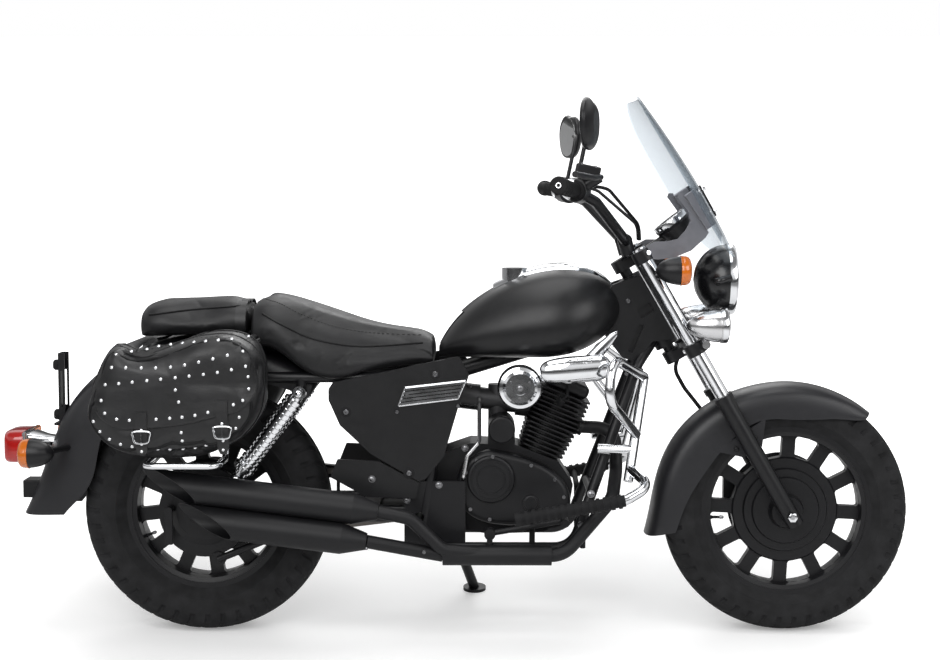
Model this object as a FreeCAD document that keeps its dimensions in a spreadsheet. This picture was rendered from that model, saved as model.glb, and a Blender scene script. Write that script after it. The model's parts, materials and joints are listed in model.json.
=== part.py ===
import FreeCAD, Part
import math
import os

import Sketcher
from FreeCAD import Placement, Rotation, Vector

# Cruiser motorcycle, modelled upright and then leaned onto its side stand.
# X points forward from the rear axle, Y to the rider's left, Z up from the floor.

LENGTHS = {
    # rear wheel and tyre
    "rear_tyre_radius": 307,
    "rear_tyre_width": 132,
    "rear_lip_radius": 200,
    "rear_rim_width": 94,
    "rear_window_outer": 172,
    "rear_window_inner": 120,
    "rear_spoke_width": 33,
    "rear_hub_radius": 46,
    "rear_hub_right": 58,
    "rear_hub_left": 74,
    "rear_disc_radius": 116,
    "rear_disc_thickness": 44,
    "rear_axle_diameter": 17,
    # front wheel and tyre
    "front_tyre_radius": 302,
    "front_tyre_width": 112,
    "front_lip_radius": 213,
    "front_rim_width": 80,
    "front_window_outer": 185,
    "front_window_inner": 132,
    "front_spoke_width": 33,
    "front_hub_radius": 38,
    "front_hub_right": 56,
    "front_hub_left": 58,
    "front_disc_radius": 128,
    "front_disc_thickness": 34,
    "front_cover_radius": 102,
    "front_cover_thickness": 50,
    "front_cap_radius": 81,
    "front_cap_thickness": 64,
    "front_axle_diameter": 15,
    "axle_bore_radius": 4,
    # both wheels
    "web_thickness": 24,
    "rim_wall": 6,
    "rim_well_depth": 20,
    "bead_depth": 9,
    "tyre_wall": 9,
    "window_round": 8,
    "running_fit": 0.05,
    "seat_gap": 0.3,
    "running_gap": 6,
    # front brake disc and calliper
    "brake_disc_radius": 132,
    "brake_disc_inner": 98,
    "brake_disc_thickness": 4.5,
    "brake_carrier_radius": 60,
    "calliper_length": 92,
    "calliper_height": 58,
    "calliper_half_width": 14,
    "calliper_slot": 16,
    # rear chain drive
    "chain_pitch": 15.875,
    "chain_line": 80,
    "chain_half_width": 8,
    "chain_plate_width": 4,
    "chain_plate_height": 14,
    "chain_roller_radius": 4,
    "sprocket_thickness": 6,
    "sprocket_bore_radius": 60,
    "chain_guard_height": 34,
    "chain_guard_thickness": 3,
    # rear drum brake
    "brake_plate_radius": 112,
    "brake_plate_thickness": 16,
    "brake_plate_dome": 84,
    "brake_cam_reach": 91,
    "brake_cam_radius": 9,
    "brake_lever_length": 84,
    "brake_lever_width": 20,
    "brake_lever_thickness": 7,
    "torque_arm_length": 212,
    "torque_arm_height": 18,
    "torque_arm_thickness": 6,
    # swingarm
    "swingarm_length": 530,
    "pivot_height": 305,
    "swingarm_line": 99,
    "swingarm_tube_height": 42,
    "swingarm_tube_width": 18,
    "swingarm_end_length": 62,
    "swingarm_bridge": 120,
    "pivot_tube_radius": 22,
    # steering geometry
    "head_reach": 610,
    "head_height": 712,
    "steering_offset": 50,
    "head_length": 195,
    "head_tube_radius": 29,
    "stem_radius": 14,
    # fork
    "fork_line": 95,
    "fork_tube_radius": 17,
    "fork_leg_radius": 21,
    "fork_leg_length": 339,
    "fork_leg_foot": 26,
    "fork_tube_top": 752,
    "lower_clamp_height": 488,
    "upper_clamp_height": 716,
    "clamp_thickness": 30,
    "clamp_wall": 9,
    "axle_overhang": 4,
    "axle_nut_radius": 12,
    # frame tubes
    "frame_tube_radius": 13,
    "backbone_radius": 21,
    "rail_radius": 13,
    "cradle_line": 122,
    "cradle_height": 228,
    "cradle_front": 900,
    "cradle_bend": 60,
    "downtube_line": 60,
    "downtube_drop": 40,
    "seat_rail_height": 642,
    "seat_rail_line": 108,
    "seat_rail_front": 590,
    "seat_rail_rear": -120,
    "rail_cross_x": 335,
    "backbone_height": 762,
    "backbone_rear": 600,
    "pivot_plate_thickness": 12,
    "pivot_plate_width": 74,
    # shocks
    "shock_line": 138,
    "shock_top_x": 243,
    "shock_top_height": 608,
    "shock_low_x": 91,
    "shock_low_height": 400,
    "shock_eye_radius": 16,
    "shock_eye_width": 26,
    "shock_spring_radius": 25,
    "shock_spring_pitch": 13,
    "shock_wire": 4,
    "shock_body_radius": 15,
    # engine
    "engine_half_width": 66,
    "engine_cover_depth": 46,
    "engine_cover_round": 14,
    "clutch_x": 703,
    "clutch_height": 394,
    "clutch_radius": 58,
    "clutch_depth": 10,
    "crank_x": 790,
    "crank_height": 362,
    "generator_radius": 74,
    "generator_depth": 44,
    "sprocket_x": 600,
    "sprocket_height": 314,
    "starter_x": 729,
    "starter_height": 514,
    "starter_radius": 33,
    "starter_length": 92,
    "engine_length": 360,
    "engine_height": 250,
    "engine_rear": 545,
    "engine_floor": 250,
    # cylinder and head
    "cylinder_x": 823,
    "cylinder_height": 447,
    "barrel_radius": 52,
    "fin_length": 135,
    "fin_low_length": 114,
    "fin_width": 146,
    "fin_thickness": 3.6,
    "fin_pitch": 11.5,
    "fin_round": 20,
    "head_cover_length": 108,
    "head_cover_width": 132,
    "head_cover_height": 34,
    "head_cover_round": 14,
    # round chrome cover and carburettor
    "intake_x": 772,
    "intake_height": 622,
    "intake_radius": 54,
    "intake_step_radius": 35,
    "intake_recess_radius": 17,
    "intake_out": 176,
    "intake_depth": 44,
    "carburettor_radius": 27,
    "carburettor_length": 92,
    "bowl_radius": 24,
    "bowl_height": 40,
    "boot_radius": 33,
    "breather_radius": 5,
    "breather_line": 122,
    # long chrome cover beside the head
    "horn_x": 818,
    "horn_height": 660,
    "horn_length": 168,
    "horn_radius": 33,
    "horn_line": 168,
    "horn_rise": 14,
    "skirt_reach": 92,
    "skirt_thickness": 18,
    "skirt_depth": 46,
    # exhaust
    "header_radius": 16,
    "header_line": 192,
    "header_front": 1012,
    "header_top": 503,
    "header_knee_height": 350,
    "header_low_height": 224,
    "sleeve_radius": 24,
    "upper_muffler_line": 205,
    "lower_muffler_line": 218,
    "muffler_radius": 37,
    "muffler_bore": 26,
    "muffler_neck": 20,
    "muffler_taper": 60,
    "muffler_wall": 2.5,
    "upper_muffler_tip_x": -62,
    "upper_muffler_tip_height": 393,
    "upper_muffler_length": 500,
    "lower_muffler_tip_x": 25,
    "lower_muffler_tip_height": 310,
    "lower_muffler_length": 385,
    "muffler_outlet_depth": 90,
    # tank, console, neck
    "tank_seat_gap": 8,
    "tank_rear_x": 576,
    "tank_head_gap": 4,
    "tank_floor": 684,
    "tank_height": 222,
    "tank_half_width": 150,
    "tunnel_half_width": 46,
    "tunnel_height": 112,
    "console_half_width": 44,
    "console_rise": 12,
    "cap_radius": 31,
    "cap_height": 14,
    "neck_x": 979,
    "neck_length": 176,
    "neck_floor": 670,
    "neck_height": 217,
    "neck_recess_length": 36,
    "neck_recess_height": 24,
    "neck_recess_depth": 9,
    "neck_slot_length": 72,
    "neck_slot_width": 12,
    "neck_half_width": 52,
    "neck_thickness": 14,
    # seat and pillion pad
    "seat_rear_x": 124,
    "seat_half_width": 160,
    "seat_top": 836,
    "seat_drop": 94,
    "seat_depth": 150,
    "pad_length": 269,
    "pad_half_width": 112,
    "pad_height": 86,
    # rear fender, lamp and indicators
    "rear_fender_radius": 428,
    "rear_fender_half_width": 92,
    "rear_fender_drop": 100,
    "rear_fender_flare": 28,
    "sheet_metal": 3,
    "tail_lamp_width": 140,
    "tail_lamp_height": 82,
    "tail_lamp_depth": 85,
    "tail_lamp_x": -456,
    "tail_lamp_z": 462,
    "lamp_stalk_width": 64,
    "lamp_stalk_height": 46,
    "reflector_width": 60,
    "reflector_height": 44,
    "reflector_depth": 20,
    "reflector_z": 354,
    "plate_post_x": -360,
    "plate_post_width": 46,
    "plate_post_depth": 16,
    "plate_post_wall": 3,
    "plate_post_top": 692,
    "plate_post_foot": 515,
    "plate_hole_high": 661,
    "plate_hole_low": 537,
    "plate_hole_radius": 3.3,
    "indicator_radius": 34,
    "indicator_length": 84,
    "rear_indicator_x": -381,
    "rear_indicator_height": 467,
    "rear_indicator_line": 186,
    "front_indicator_ahead": 40,
    "front_indicator_up": 671,
    "front_indicator_line": 178,
    "indicator_stalk_radius": 8,
    # side covers and lower panels
    "side_cover_thickness": 12,
    "side_cover_length": 338,
    "side_cover_height": 303,
    "side_cover_x": 312,
    "side_cover_floor": 393,
    "panel_length": 215,
    "panel_height": 96,
    "panel_x": 315,
    "panel_floor": 350,
    "panel_thickness": 10,
    "grille_slat_width": 6,
    "grille_depth": 9,
    "grille_frame_width": 6,
    # saddlebags
    "bag_length": 431,
    "bag_height": 296,
    "bag_rear_x": -251,
    "bag_floor": 468,
    "bag_inner_line": 172,
    "bag_thickness": 150,
    "bag_stay_radius": 8,
    # crash bars, foot bars, levers
    "crash_bar_radius": 12,
    "crash_bar_bend": 44,
    "crash_top_x": 1078,
    "crash_top_height": 638,
    "crash_low_x": 1031,
    "crash_low_line": 165,
    "crash_low_height": 398,
    "crash_loop_x": 984,
    "crash_loop_line": 246,
    "crash_loop_height": 702,
    "crash_bow_x": 976,
    "crash_bow_line": 262,
    "crash_bow_height": 604,
    "crash_return_x": 1053,
    "crash_return_line": 128,
    "crash_return_height": 506,
    "crash_elbow_x": 1076,
    "crash_elbow_line": 240,
    "crash_elbow_height": 400,
    "crash_peg_x": 962,
    "crash_peg_line": 122,
    "crash_peg_height": 470,
    "foot_bar_line": 262,
    "foot_bar_radius": 17,
    "foot_bar_rear": 765,
    "foot_bar_front": 1016,
    "foot_bar_rear_height": 324,
    "foot_bar_front_height": 369,
    "foot_rib_height": 3,
    "foot_rib_pitch": 16,
    "foot_lever_radius": 7,
    "lever_line": 150,
    "lever_pivot_x": 700,
    "lever_pivot_height": 268,
    "pedal_x": 880,
    "pedal_height": 300,
    "pedal_width": 40,
    # front fender
    "front_fender_radius": 319,
    "front_fender_half_width": 68,
    "front_fender_drop": 100,
    "front_fender_flare": 34,
    # handlebar, grips, controls, mirrors
    "handlebar_radius": 12.7,
    "bar_rise": 22,
    "bar_clamp_x": 1030,
    "bar_half_straight": 66,
    "bar_elbow_x": 948,
    "bar_elbow_line": 190,
    "bar_elbow_rise": 95,
    "bar_grip_x": 898,
    "bar_grip_line": 238,
    "bar_grip_rise": 121,
    "bar_end_x": 848,
    "bar_end_line": 392,
    "bar_end_rise": 132,
    "bar_bend": 42,
    "grip_radius": 17,
    "grip_flange_radius": 24,
    "grip_flange_width": 8,
    "housing_radius": 28,
    "housing_length": 46,
    "lever_length": 172,
    "lever_radius": 7,
    "lever_reach": 62,
    "master_length": 57,
    "master_width": 44,
    "master_height": 34,
    "mirror_width": 172,
    "mirror_height": 112,
    "mirror_depth": 26,
    "mirror_x": 910,
    "mirror_line": 372,
    "mirror_centre_height": 1237,
    "mirror_stem_radius": 5,
    # lamps, instrument, screen
    "lamp_x": 1299,
    "lamp_height": 874,
    "lamp_radius": 88,
    "lamp_depth": 96,
    "lamp_lens_bulge": 9,
    "lamp_rim_width": 13,
    "lamp_ear_radius": 9,
    "spot_x": 1217,
    "spot_height": 770,
    "spot_line": 138,
    "spot_radius": 42,
    "spot_length": 94,
    "dial_x": 1143,
    "dial_height": 1019,
    "dial_radius": 44,
    "dial_depth": 56,
    "screen_top_x": 1064,
    "screen_top_height": 1314,
    "screen_foot_x": 1299,
    "screen_foot_height": 934,
    "screen_half_width": 240,
    "screen_wrap": 46,
    "screen_bulge": 12,
    "screen_thickness": 4,
    "screen_stay_radius": 6,
    "screen_stay_line": 112,
    "screen_stay_x": 1055,
    "screen_stay_floor": 927,
    "screen_stay_length": 170,
    "screen_stay_height": 160,
    "screen_stay_thickness": 4,
    "screen_strip_width": 24,
    "hose_radius": 5,
    "hose_bow": 122,
    "hose_bow_up": 372,
    "hose_low_up": 244,
    "cable_radius": 4,
    "cable_boot_radius": 8,
    # side stand
    "stand_pivot_x": 600,
    "stand_pivot_line": 152,
    "stand_pivot_height": 228,
    "stand_leg_radius": 13,
    "stand_foot_forward": 62,
    "stand_foot_radius": 30,
    "stand_foot_thickness": 8,
    "stand_pin_radius": 6,
    "stand_boss_radius": 20,
    "stand_boss_width": 18,
    "overrun": 20,
}

ANGLES = {
    "rake_angle": 30,
    "lean_angle": 7,
    "front_window_phase": 12,
    "rear_window_phase": 22,
    "cylinder_tilt": 22.5,
    "dial_tilt": 52,
    "mirror_turn": 12,
    "pad_tilt": 2.2,
    "master_tilt": 12,
    "recess_tilt": 30,
    "slot_tilt": 22,
    "muffler_rise": 7.1,
}

COUNTS = {
    "window_count": 12,
    "fin_count": 14,
    "rear_teeth": 41,
    "front_teeth": 15,
    "grille_slats": 5,
}

doc = FreeCAD.newDocument("cruiser")
sheet = doc.addObject("Spreadsheet::Sheet", "sizes")
for row, (alias, value) in enumerate({**LENGTHS, **ANGLES, **COUNTS}.items(), start=1):
    sheet.set(f"A{row}", alias)
    sheet.set(f"B{row}", str(value))
    sheet.setAlias(f"B{row}", alias)
doc.recompute()


class Sizes:
    """Reads a value of the sheet by its alias."""

    def __getattr__(self, alias):
        return float(sheet.get(alias))


size = Sizes()
ORIGIN = Vector(0, 0, 0)
AXIS_X = Vector(1, 0, 0)
AXIS_Y = Vector(0, 1, 0)
AXIS_Z = Vector(0, 0, 1)
FULL_TURN = 360
RIGHT = -1
LEFT = 1
SIDES = (RIGHT, LEFT)
nodes = []


# Points and shapes shared by the sub-parts

def unit(vector):
    """The vector at length one."""
    return Vector(vector).normalize()


def between(first, last, share):
    """The point at a share of the way from first to last."""
    return first + (last - first) * share


def flipped(shape):
    """The shape mirrored to the other side of the machine."""
    return shape.mirror(ORIGIN, AXIS_Y)


def both_sides(shape):
    """The shape and its mirror image."""
    return [shape, flipped(shape)]


def on_side(point, side):
    """The point with its Y measured outward on the given side."""
    return Vector(point.x, side * point.y, point.z)


def aligned(base, direction):
    """A placement at base whose Z axis points along direction."""
    return Placement(base, Rotation(AXIS_Z, direction))


def rod(radius, start, end):
    """A round solid from start to end."""
    return Part.makeCylinder(radius, (end - start).Length, start, end - start)


def block(size_x, size_y, size_z, centre, rounding=0):
    """A box about its centre, with all its edges rounded when asked."""
    corner = centre - Vector(size_x, size_y, size_z) / 2
    box = Part.makeBox(size_x, size_y, size_z, corner)
    return box.makeFillet(rounding, box.Edges) if rounding else box


def turned(profile, base, direction):
    """A solid turned from (along, radius) points about an axis through base."""
    points = [Vector(radius, 0, along) for along, radius in profile]
    face = Part.Face(Part.makePolygon(points + points[:1]))
    solid = face.revolve(ORIGIN, AXIS_Z, FULL_TURN)
    solid.Placement = aligned(base, direction)
    return solid


def spun(shares, length, radius, base, direction):
    """A solid turned from one smooth curve of (along, radius) shares, closed by lines to its axis."""
    points = [Vector(radius * out, 0, length * along) for along, out in shares]
    corners = [points[-1], Vector(0, 0, points[-1].z), Vector(0, 0, points[0].z), points[0]]
    edges = [smooth(points)]
    for start, end in zip(corners, corners[1:]):
        if start != end:
            edges.append(Part.LineSegment(start, end).toShape())
    solid = Part.Face(Part.Wire(edges)).revolve(ORIGIN, AXIS_Z, FULL_TURN)
    solid.Placement = aligned(base, direction)
    return solid


def biggest(shape):
    """The largest solid of a shape that a cut may have split."""
    return max(shape.Solids, key=lambda solid: solid.Volume)


def joined(shapes):
    """The shapes fused into one."""
    return shapes[0].fuse(shapes[1:])


def arc_reach(before, corner, after, bend):
    """How far from its corner a bend's arc starts and ends."""
    half_turn = (corner - before).getAngle(after - corner) / 2
    shorter = min((corner - before).Length, (after - corner).Length)
    return min(bend * math.tan(half_turn), shorter * ARC_SHARE)


def route(points, bend):
    """Straight runs through the points, joined by tangent arcs of the bend radius."""
    edges = []
    start = points[0]
    for before, corner, after in zip(points, points[1:], points[2:]):
        arrive = unit(corner - before)
        leave = unit(after - corner)
        half_turn = arrive.getAngle(leave) / 2
        reach = arc_reach(before, corner, after, bend)
        radius = reach / math.tan(half_turn)
        inward = unit(leave - arrive)
        middle = corner + inward * (radius / math.cos(half_turn) - radius)
        arc_start = corner - arrive * reach
        arc_end = corner + leave * reach
        edges.append(Part.LineSegment(start, arc_start).toShape())
        edges.append(Part.Arc(arc_start, middle, arc_end).toShape())
        start = arc_end
    edges.append(Part.LineSegment(start, points[-1]).toShape())
    return Part.Wire(edges)


ARC_SHARE = 0.48


def tube(points, radius, bend):
    """A round bar bent along the points."""
    if len(points) == 2:
        return rod(radius, points[0], points[1])
    start = Part.Wire(Part.makeCircle(radius, points[0], points[1] - points[0]))
    return route(points, bend).makePipeShell([start], True, False)


def smooth(points, closed=False):
    """One smooth edge through the points."""
    curve = Part.BSplineCurve()
    curve.interpolate(Points=points, PeriodicFlag=closed)
    return curve.toShape()


def loft(wires):
    """A smooth solid through the wires."""
    return Part.makeLoft(wires, True, False)


def side_outline(shares, x, z, length, height, line):
    """Points in a side view: shares of a length and a height from the corner x, z."""
    return [Vector(x + a * length, line, z + b * height) for a, b in shares]


def plate(points, thickness, rounding=0):
    """A flat plate from an outline in a side view, thick towards +Y."""
    face = Part.Face(Part.makePolygon(points + points[:1]))
    solid = face.extrude(Vector(0, thickness, 0))
    if rounding:
        edges = [edge for edge in solid.Edges if is_crosswise(edge)]
        solid = solid.makeFillet(rounding, edges)
    return solid


def is_crosswise(edge):
    """Whether a straight edge runs along Y."""
    start = edge.firstVertex().Point
    end = edge.lastVertex().Point
    return abs(start.x - end.x) + abs(start.z - end.z) < abs(start.y - end.y) * NEARLY_ZERO_SHARE


NEARLY_ZERO_SHARE = 1e-6


def rounded_loop(corners, radius):
    """Lines and arcs of a closed flat outline whose corners are rounded."""
    edges = []
    count = len(corners)
    ends = []
    for index, corner in enumerate(corners):
        before = corners[index - 1]
        after = corners[(index + 1) % count]
        arrive = unit(corner - before)
        leave = unit(after - corner)
        half_turn = arrive.getAngle(leave) / 2
        reach = radius * math.tan(half_turn)
        inward = unit(leave - arrive)
        middle = corner + inward * (radius / math.cos(half_turn) - radius)
        ends.append((corner - arrive * reach, middle, corner + leave * reach))
    for index, (start, middle, end) in enumerate(ends):
        edges.append(Part.Arc(start, middle, end))
        edges.append(Part.LineSegment(end, ends[(index + 1) % count][0]))
    return edges


# PartDesign bodies

def new_body(label):
    """An empty body and its origin planes by their role."""
    body = doc.addObject("PartDesign::Body", label)
    planes = {item.Role: item for item in body.Origin.OriginFeatures}
    return body, planes


def new_sketch(body, plane, name, geometry):
    """A sketch of lines and arcs on one of the body's own planes."""
    sketch = body.newObject("Sketcher::SketchObject", name)
    sketch.AttachmentSupport = [(plane, "")]
    sketch.MapMode = "FlatFace"
    sketch.addGeometry(geometry, False)
    return sketch


def polyline(points):
    """Line segments round a closed outline of 2-D points."""
    corners = [Vector(a, b, 0) for a, b in points]
    return [Part.LineSegment(a, b) for a, b in zip(corners, corners[1:] + corners[:1])]


def revolved(body, sketch, axis):
    """A full revolution of the sketch about its own axis."""
    feature = body.newObject("PartDesign::Revolution", sketch.Name + "_turn")
    feature.Profile = sketch
    feature.ReferenceAxis = (sketch, [axis])
    feature.Angle = FULL_TURN
    doc.recompute()
    return feature


def cut_through(body, sketch):
    """A pocket of the sketch right through the body both ways."""
    before = body.Shape.Volume
    feature = body.newObject("PartDesign::Pocket", sketch.Name + "_cut")
    feature.Profile = sketch
    feature.Type = "ThroughAll"
    feature.SideType = "Symmetric"
    doc.recompute()
    if feature.Shape.Volume >= before:
        raise ValueError(f"{sketch.Name} cuts nothing")
    return feature


def polar(body, feature, sketch, count):
    """The feature repeated evenly about the sketch's normal."""
    pattern = body.newObject("PartDesign::PolarPattern", feature.Name + "_all")
    pattern.Originals = [feature]
    pattern.Axis = (sketch, ["N_Axis"])
    pattern.Angle = FULL_TURN
    pattern.setExpression("Occurrences", f"sizes.{count}")
    body.Tip = pattern
    doc.recompute()
    return pattern


def add_node(item, place=None):
    """Registers a sub-part with its place in the upright machine."""
    nodes.append((item, place or Placement()))
    return item


def feature_node(label, shapes):
    """A sub-part whose shape is set by Part's own functions."""
    item = doc.addObject("Part::Feature", label)
    item.Shape = shapes[0] if len(shapes) == 1 else Part.makeCompound(shapes)
    return add_node(item)


# Steering geometry: the fork's own frame has its origin at the front axle,
# Z up the fork and X square to it, forward.

rake = math.radians(size.rake_angle)
fork_up = Vector(-math.sin(rake), 0, math.cos(rake))
fork_out = Vector(math.cos(rake), 0, math.sin(rake))
rear_axle = Vector(0, 0, size.rear_tyre_radius)
head_low = Vector(size.swingarm_length + size.head_reach, 0, size.head_height)
axle_rise = (head_low.z + fork_out.z * size.steering_offset - size.front_tyre_radius) / fork_up.z
front_axle = head_low + fork_out * size.steering_offset - fork_up * axle_rise
fork_place = Placement(front_axle, Rotation(AXIS_Y, -size.rake_angle))
pivot = Vector(size.swingarm_length, 0, size.pivot_height)
head_high = head_low + fork_up * size.head_length


def on_fork(forward, outward, up):
    """A point of the fork's own frame, in the machine's frame."""
    return fork_place.multVec(Vector(forward, outward, up))


def across(x, z, start, end, radius):
    """A round solid across the machine from one Y to another."""
    return rod(radius, Vector(x, start, z), Vector(x, end, z))


# Wheels and tyres

def wheel_profile(name):
    """Half section of a cast wheel: (across, radius) points about the axle."""
    bore = getattr(size, name + "_axle_diameter") / 2 + size.running_fit
    right = -getattr(size, name + "_hub_right")
    left = getattr(size, name + "_hub_left")
    hub = getattr(size, name + "_hub_radius")
    lip = getattr(size, name + "_lip_radius")
    rim = getattr(size, name + "_rim_width") / 2
    window_outer = getattr(size, name + "_window_outer")
    window_inner = getattr(size, name + "_window_inner")
    disc = getattr(size, name + "_disc_radius")
    disc_half = getattr(size, name + "_disc_thickness") / 2
    web = size.web_thickness / 2
    wall = size.rim_wall
    seat = lip - size.bead_depth
    well = lip - size.rim_well_depth
    steps = [(disc_half, disc), (web, window_inner)]
    if name == "front":
        cover_half = size.front_cover_thickness / 2
        cap_half = size.front_cap_thickness / 2
        steps = [(cap_half, size.front_cap_radius), (cover_half, size.front_cap_radius + wall / 2),
                 (cover_half, size.front_cover_radius), (disc_half, size.front_cover_radius + wall / 2)] + steps
    first_half = steps[0][0]
    rim_side = [(web, window_outer), (rim - wall, well - wall), (rim - wall / 2, seat - wall), (rim, seat - wall),
                (rim, lip), (rim - wall, lip), (rim - wall, seat), (rim / 2, seat), (rim / 2 - wall, well)]
    left_side = [(left, bore), (left, hub), (first_half, hub + wall)] + steps + rim_side
    right_side = [(right, bore), (right, hub), (-first_half, hub + wall)]
    right_side += [(-along, radius) for along, radius in steps + rim_side]
    return left_side + right_side[::-1]


def window_corners(name, phase):
    """Corners of one window between two spokes of a cast wheel."""
    outer = getattr(size, name + "_window_outer")
    inner = getattr(size, name + "_window_inner")
    spoke_half = getattr(size, name + "_spoke_width") / 2
    half_pitch = math.pi / size.window_count
    outer_half = half_pitch - math.asin(spoke_half / outer)
    inner_half = half_pitch - math.asin(spoke_half / inner)
    middle = math.radians(phase)
    polar_points = [(inner, middle - inner_half), (outer, middle - outer_half),
                    (outer, middle), (outer, middle + outer_half), (inner, middle + inner_half)]
    return [Vector(radius * math.cos(angle), radius * math.sin(angle), 0) for radius, angle in polar_points]


def cast_wheel(name, centre):
    """A cast wheel with its windows, as one turned and pocketed body."""
    body, planes = new_body(name + "_wheel")
    section = new_sketch(body, planes["YZ_Plane"], name + "_section", polyline(wheel_profile(name)))
    revolved(body, section, "H_Axis")
    corners = window_corners(name, getattr(size, name + "_window_phase"))
    window = new_sketch(body, planes["XZ_Plane"], name + "_window", rounded_loop(corners, size.window_round))
    polar(body, cut_through(body, window), window, "window_count")
    return add_node(body, Placement(centre, Rotation()))


def tyre(name, centre):
    """A tyre: round crown, side walls drawn in to the beads, hollow inside."""
    outer = getattr(size, name + "_tyre_radius")
    half = getattr(size, name + "_tyre_width") / 2
    rim = getattr(size, name + "_rim_width") / 2 - size.rim_wall
    seat = getattr(size, name + "_lip_radius") - size.bead_depth + size.seat_gap
    bead = rim - size.seat_gap
    wall = size.tyre_wall
    shoulder = outer - half
    cheek = (shoulder + seat) / 2
    lip = getattr(size, name + "_lip_radius") + wall / 2
    points = {
        "bead": Vector(bead, seat, 0),
        "bead_top": Vector(bead, lip, 0),
        "cheek": Vector(half - wall / 2, (lip + shoulder) / 2, 0),
        "shoulder": Vector(half, shoulder, 0),
        "crown": Vector(0, outer, 0),
        "inner_crown": Vector(0, outer - wall, 0),
        "inner_shoulder": Vector(half - wall, shoulder, 0),
        "inner_bead": Vector(bead - wall, cheek, 0),
        "inner_toe": Vector(bead - wall, seat, 0),
    }

    def other(point):
        return Vector(-point.x, point.y, 0)

    p = points
    geometry = [
        Part.LineSegment(p["bead"], p["bead_top"]),
        Part.Arc(p["bead_top"], p["cheek"], p["shoulder"]),
        Part.Arc(p["shoulder"], p["crown"], other(p["shoulder"])),
        Part.Arc(other(p["shoulder"]), other(p["cheek"]), other(p["bead_top"])),
        Part.LineSegment(other(p["bead_top"]), other(p["bead"])),
        Part.LineSegment(other(p["bead"]), other(p["inner_toe"])),
        Part.LineSegment(other(p["inner_toe"]), other(p["inner_bead"])),
        Part.LineSegment(other(p["inner_bead"]), other(p["inner_shoulder"])),
        Part.Arc(other(p["inner_shoulder"]), p["inner_crown"], p["inner_shoulder"]),
        Part.LineSegment(p["inner_shoulder"], p["inner_bead"]),
        Part.LineSegment(p["inner_bead"], p["inner_toe"]),
        Part.LineSegment(p["inner_toe"], p["bead"]),
    ]
    body, planes = new_body(name + "_tyre")
    section = new_sketch(body, planes["YZ_Plane"], name + "_tread_section", geometry)
    revolved(body, section, "H_Axis")
    return add_node(body, Placement(centre, Rotation()))


def front_brake_disc():
    """The brake disc and its carrier on the left of the front hub."""
    start = size.front_hub_left
    face = start + size.brake_disc_thickness
    profile = [(start, size.front_axle_diameter), (face, size.front_axle_diameter),
               (face, size.brake_disc_radius), (start, size.brake_disc_radius)]
    disc = turned(profile, front_axle, AXIS_Y)
    slots = []
    middle = (size.brake_disc_inner + size.brake_carrier_radius) / 2
    slot_radius = (size.brake_disc_inner - size.brake_carrier_radius) / 2
    for index in range(CARRIER_ARMS):
        angle = math.tau * index / CARRIER_ARMS
        x = front_axle.x + middle * math.cos(angle)
        z = front_axle.z + middle * math.sin(angle)
        slots.append(across(x, z, start - size.overrun, face + size.overrun, slot_radius * SLOT_SHARE))
    return feature_node("brake_disc", [disc.cut(slots)])


CARRIER_ARMS = 6
SLOT_SHARE = 0.9


def pitch_radius(teeth):
    """Pitch radius of a chain sprocket."""
    return size.chain_pitch / (2 * math.sin(math.pi / teeth))


def sprocket(teeth, centre, bore, line):
    """A toothed wheel for the chain, its teeth cut between the rollers' seats."""
    radius = pitch_radius(teeth)
    tip = radius + size.chain_roller_radius
    root = radius - size.chain_roller_radius
    count = int(teeth)
    points = []
    for index in range(count):
        for turn, reach in ((-TOOTH_ROOT_SHARE, root), (TOOTH_ROOT_SHARE, root),
                            (TOOTH_TIP_SHARE, tip), (1 - TOOTH_TIP_SHARE, tip)):
            angle = math.tau * (index + turn) / count
            points.append(centre + Vector(reach * math.cos(angle), 0, reach * math.sin(angle)))
    outline = [point + Vector(0, line - size.sprocket_thickness / 2, 0) for point in points]
    wheel = plate(outline, size.sprocket_thickness)
    if not bore:
        return wheel
    hole = across(centre.x, centre.z, line - size.overrun, line + size.overrun, bore)
    return wheel.cut(hole)


TOOTH_ROOT_SHARE = 0.2
TOOTH_TIP_SHARE = 0.42


# Frame, swingarm and shocks

def down_tube_ends(side):
    """Upper and lower corners of a down tube."""
    head_joint = head_low + fork_up * size.downtube_drop
    shoulder = Vector(head_joint.x - size.downtube_drop * SHOULDER_SHARES[0], side * size.downtube_line,
                      head_joint.z - size.downtube_drop * SHOULDER_SHARES[1])
    return shoulder, Vector(size.cradle_front, side * size.cradle_line, size.cradle_height)


SHOULDER_SHARES = (1.5, 2.0)
ENGINE_BOLT_SHARE = 0.3
CROSS_SHARE = 0.8


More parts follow.
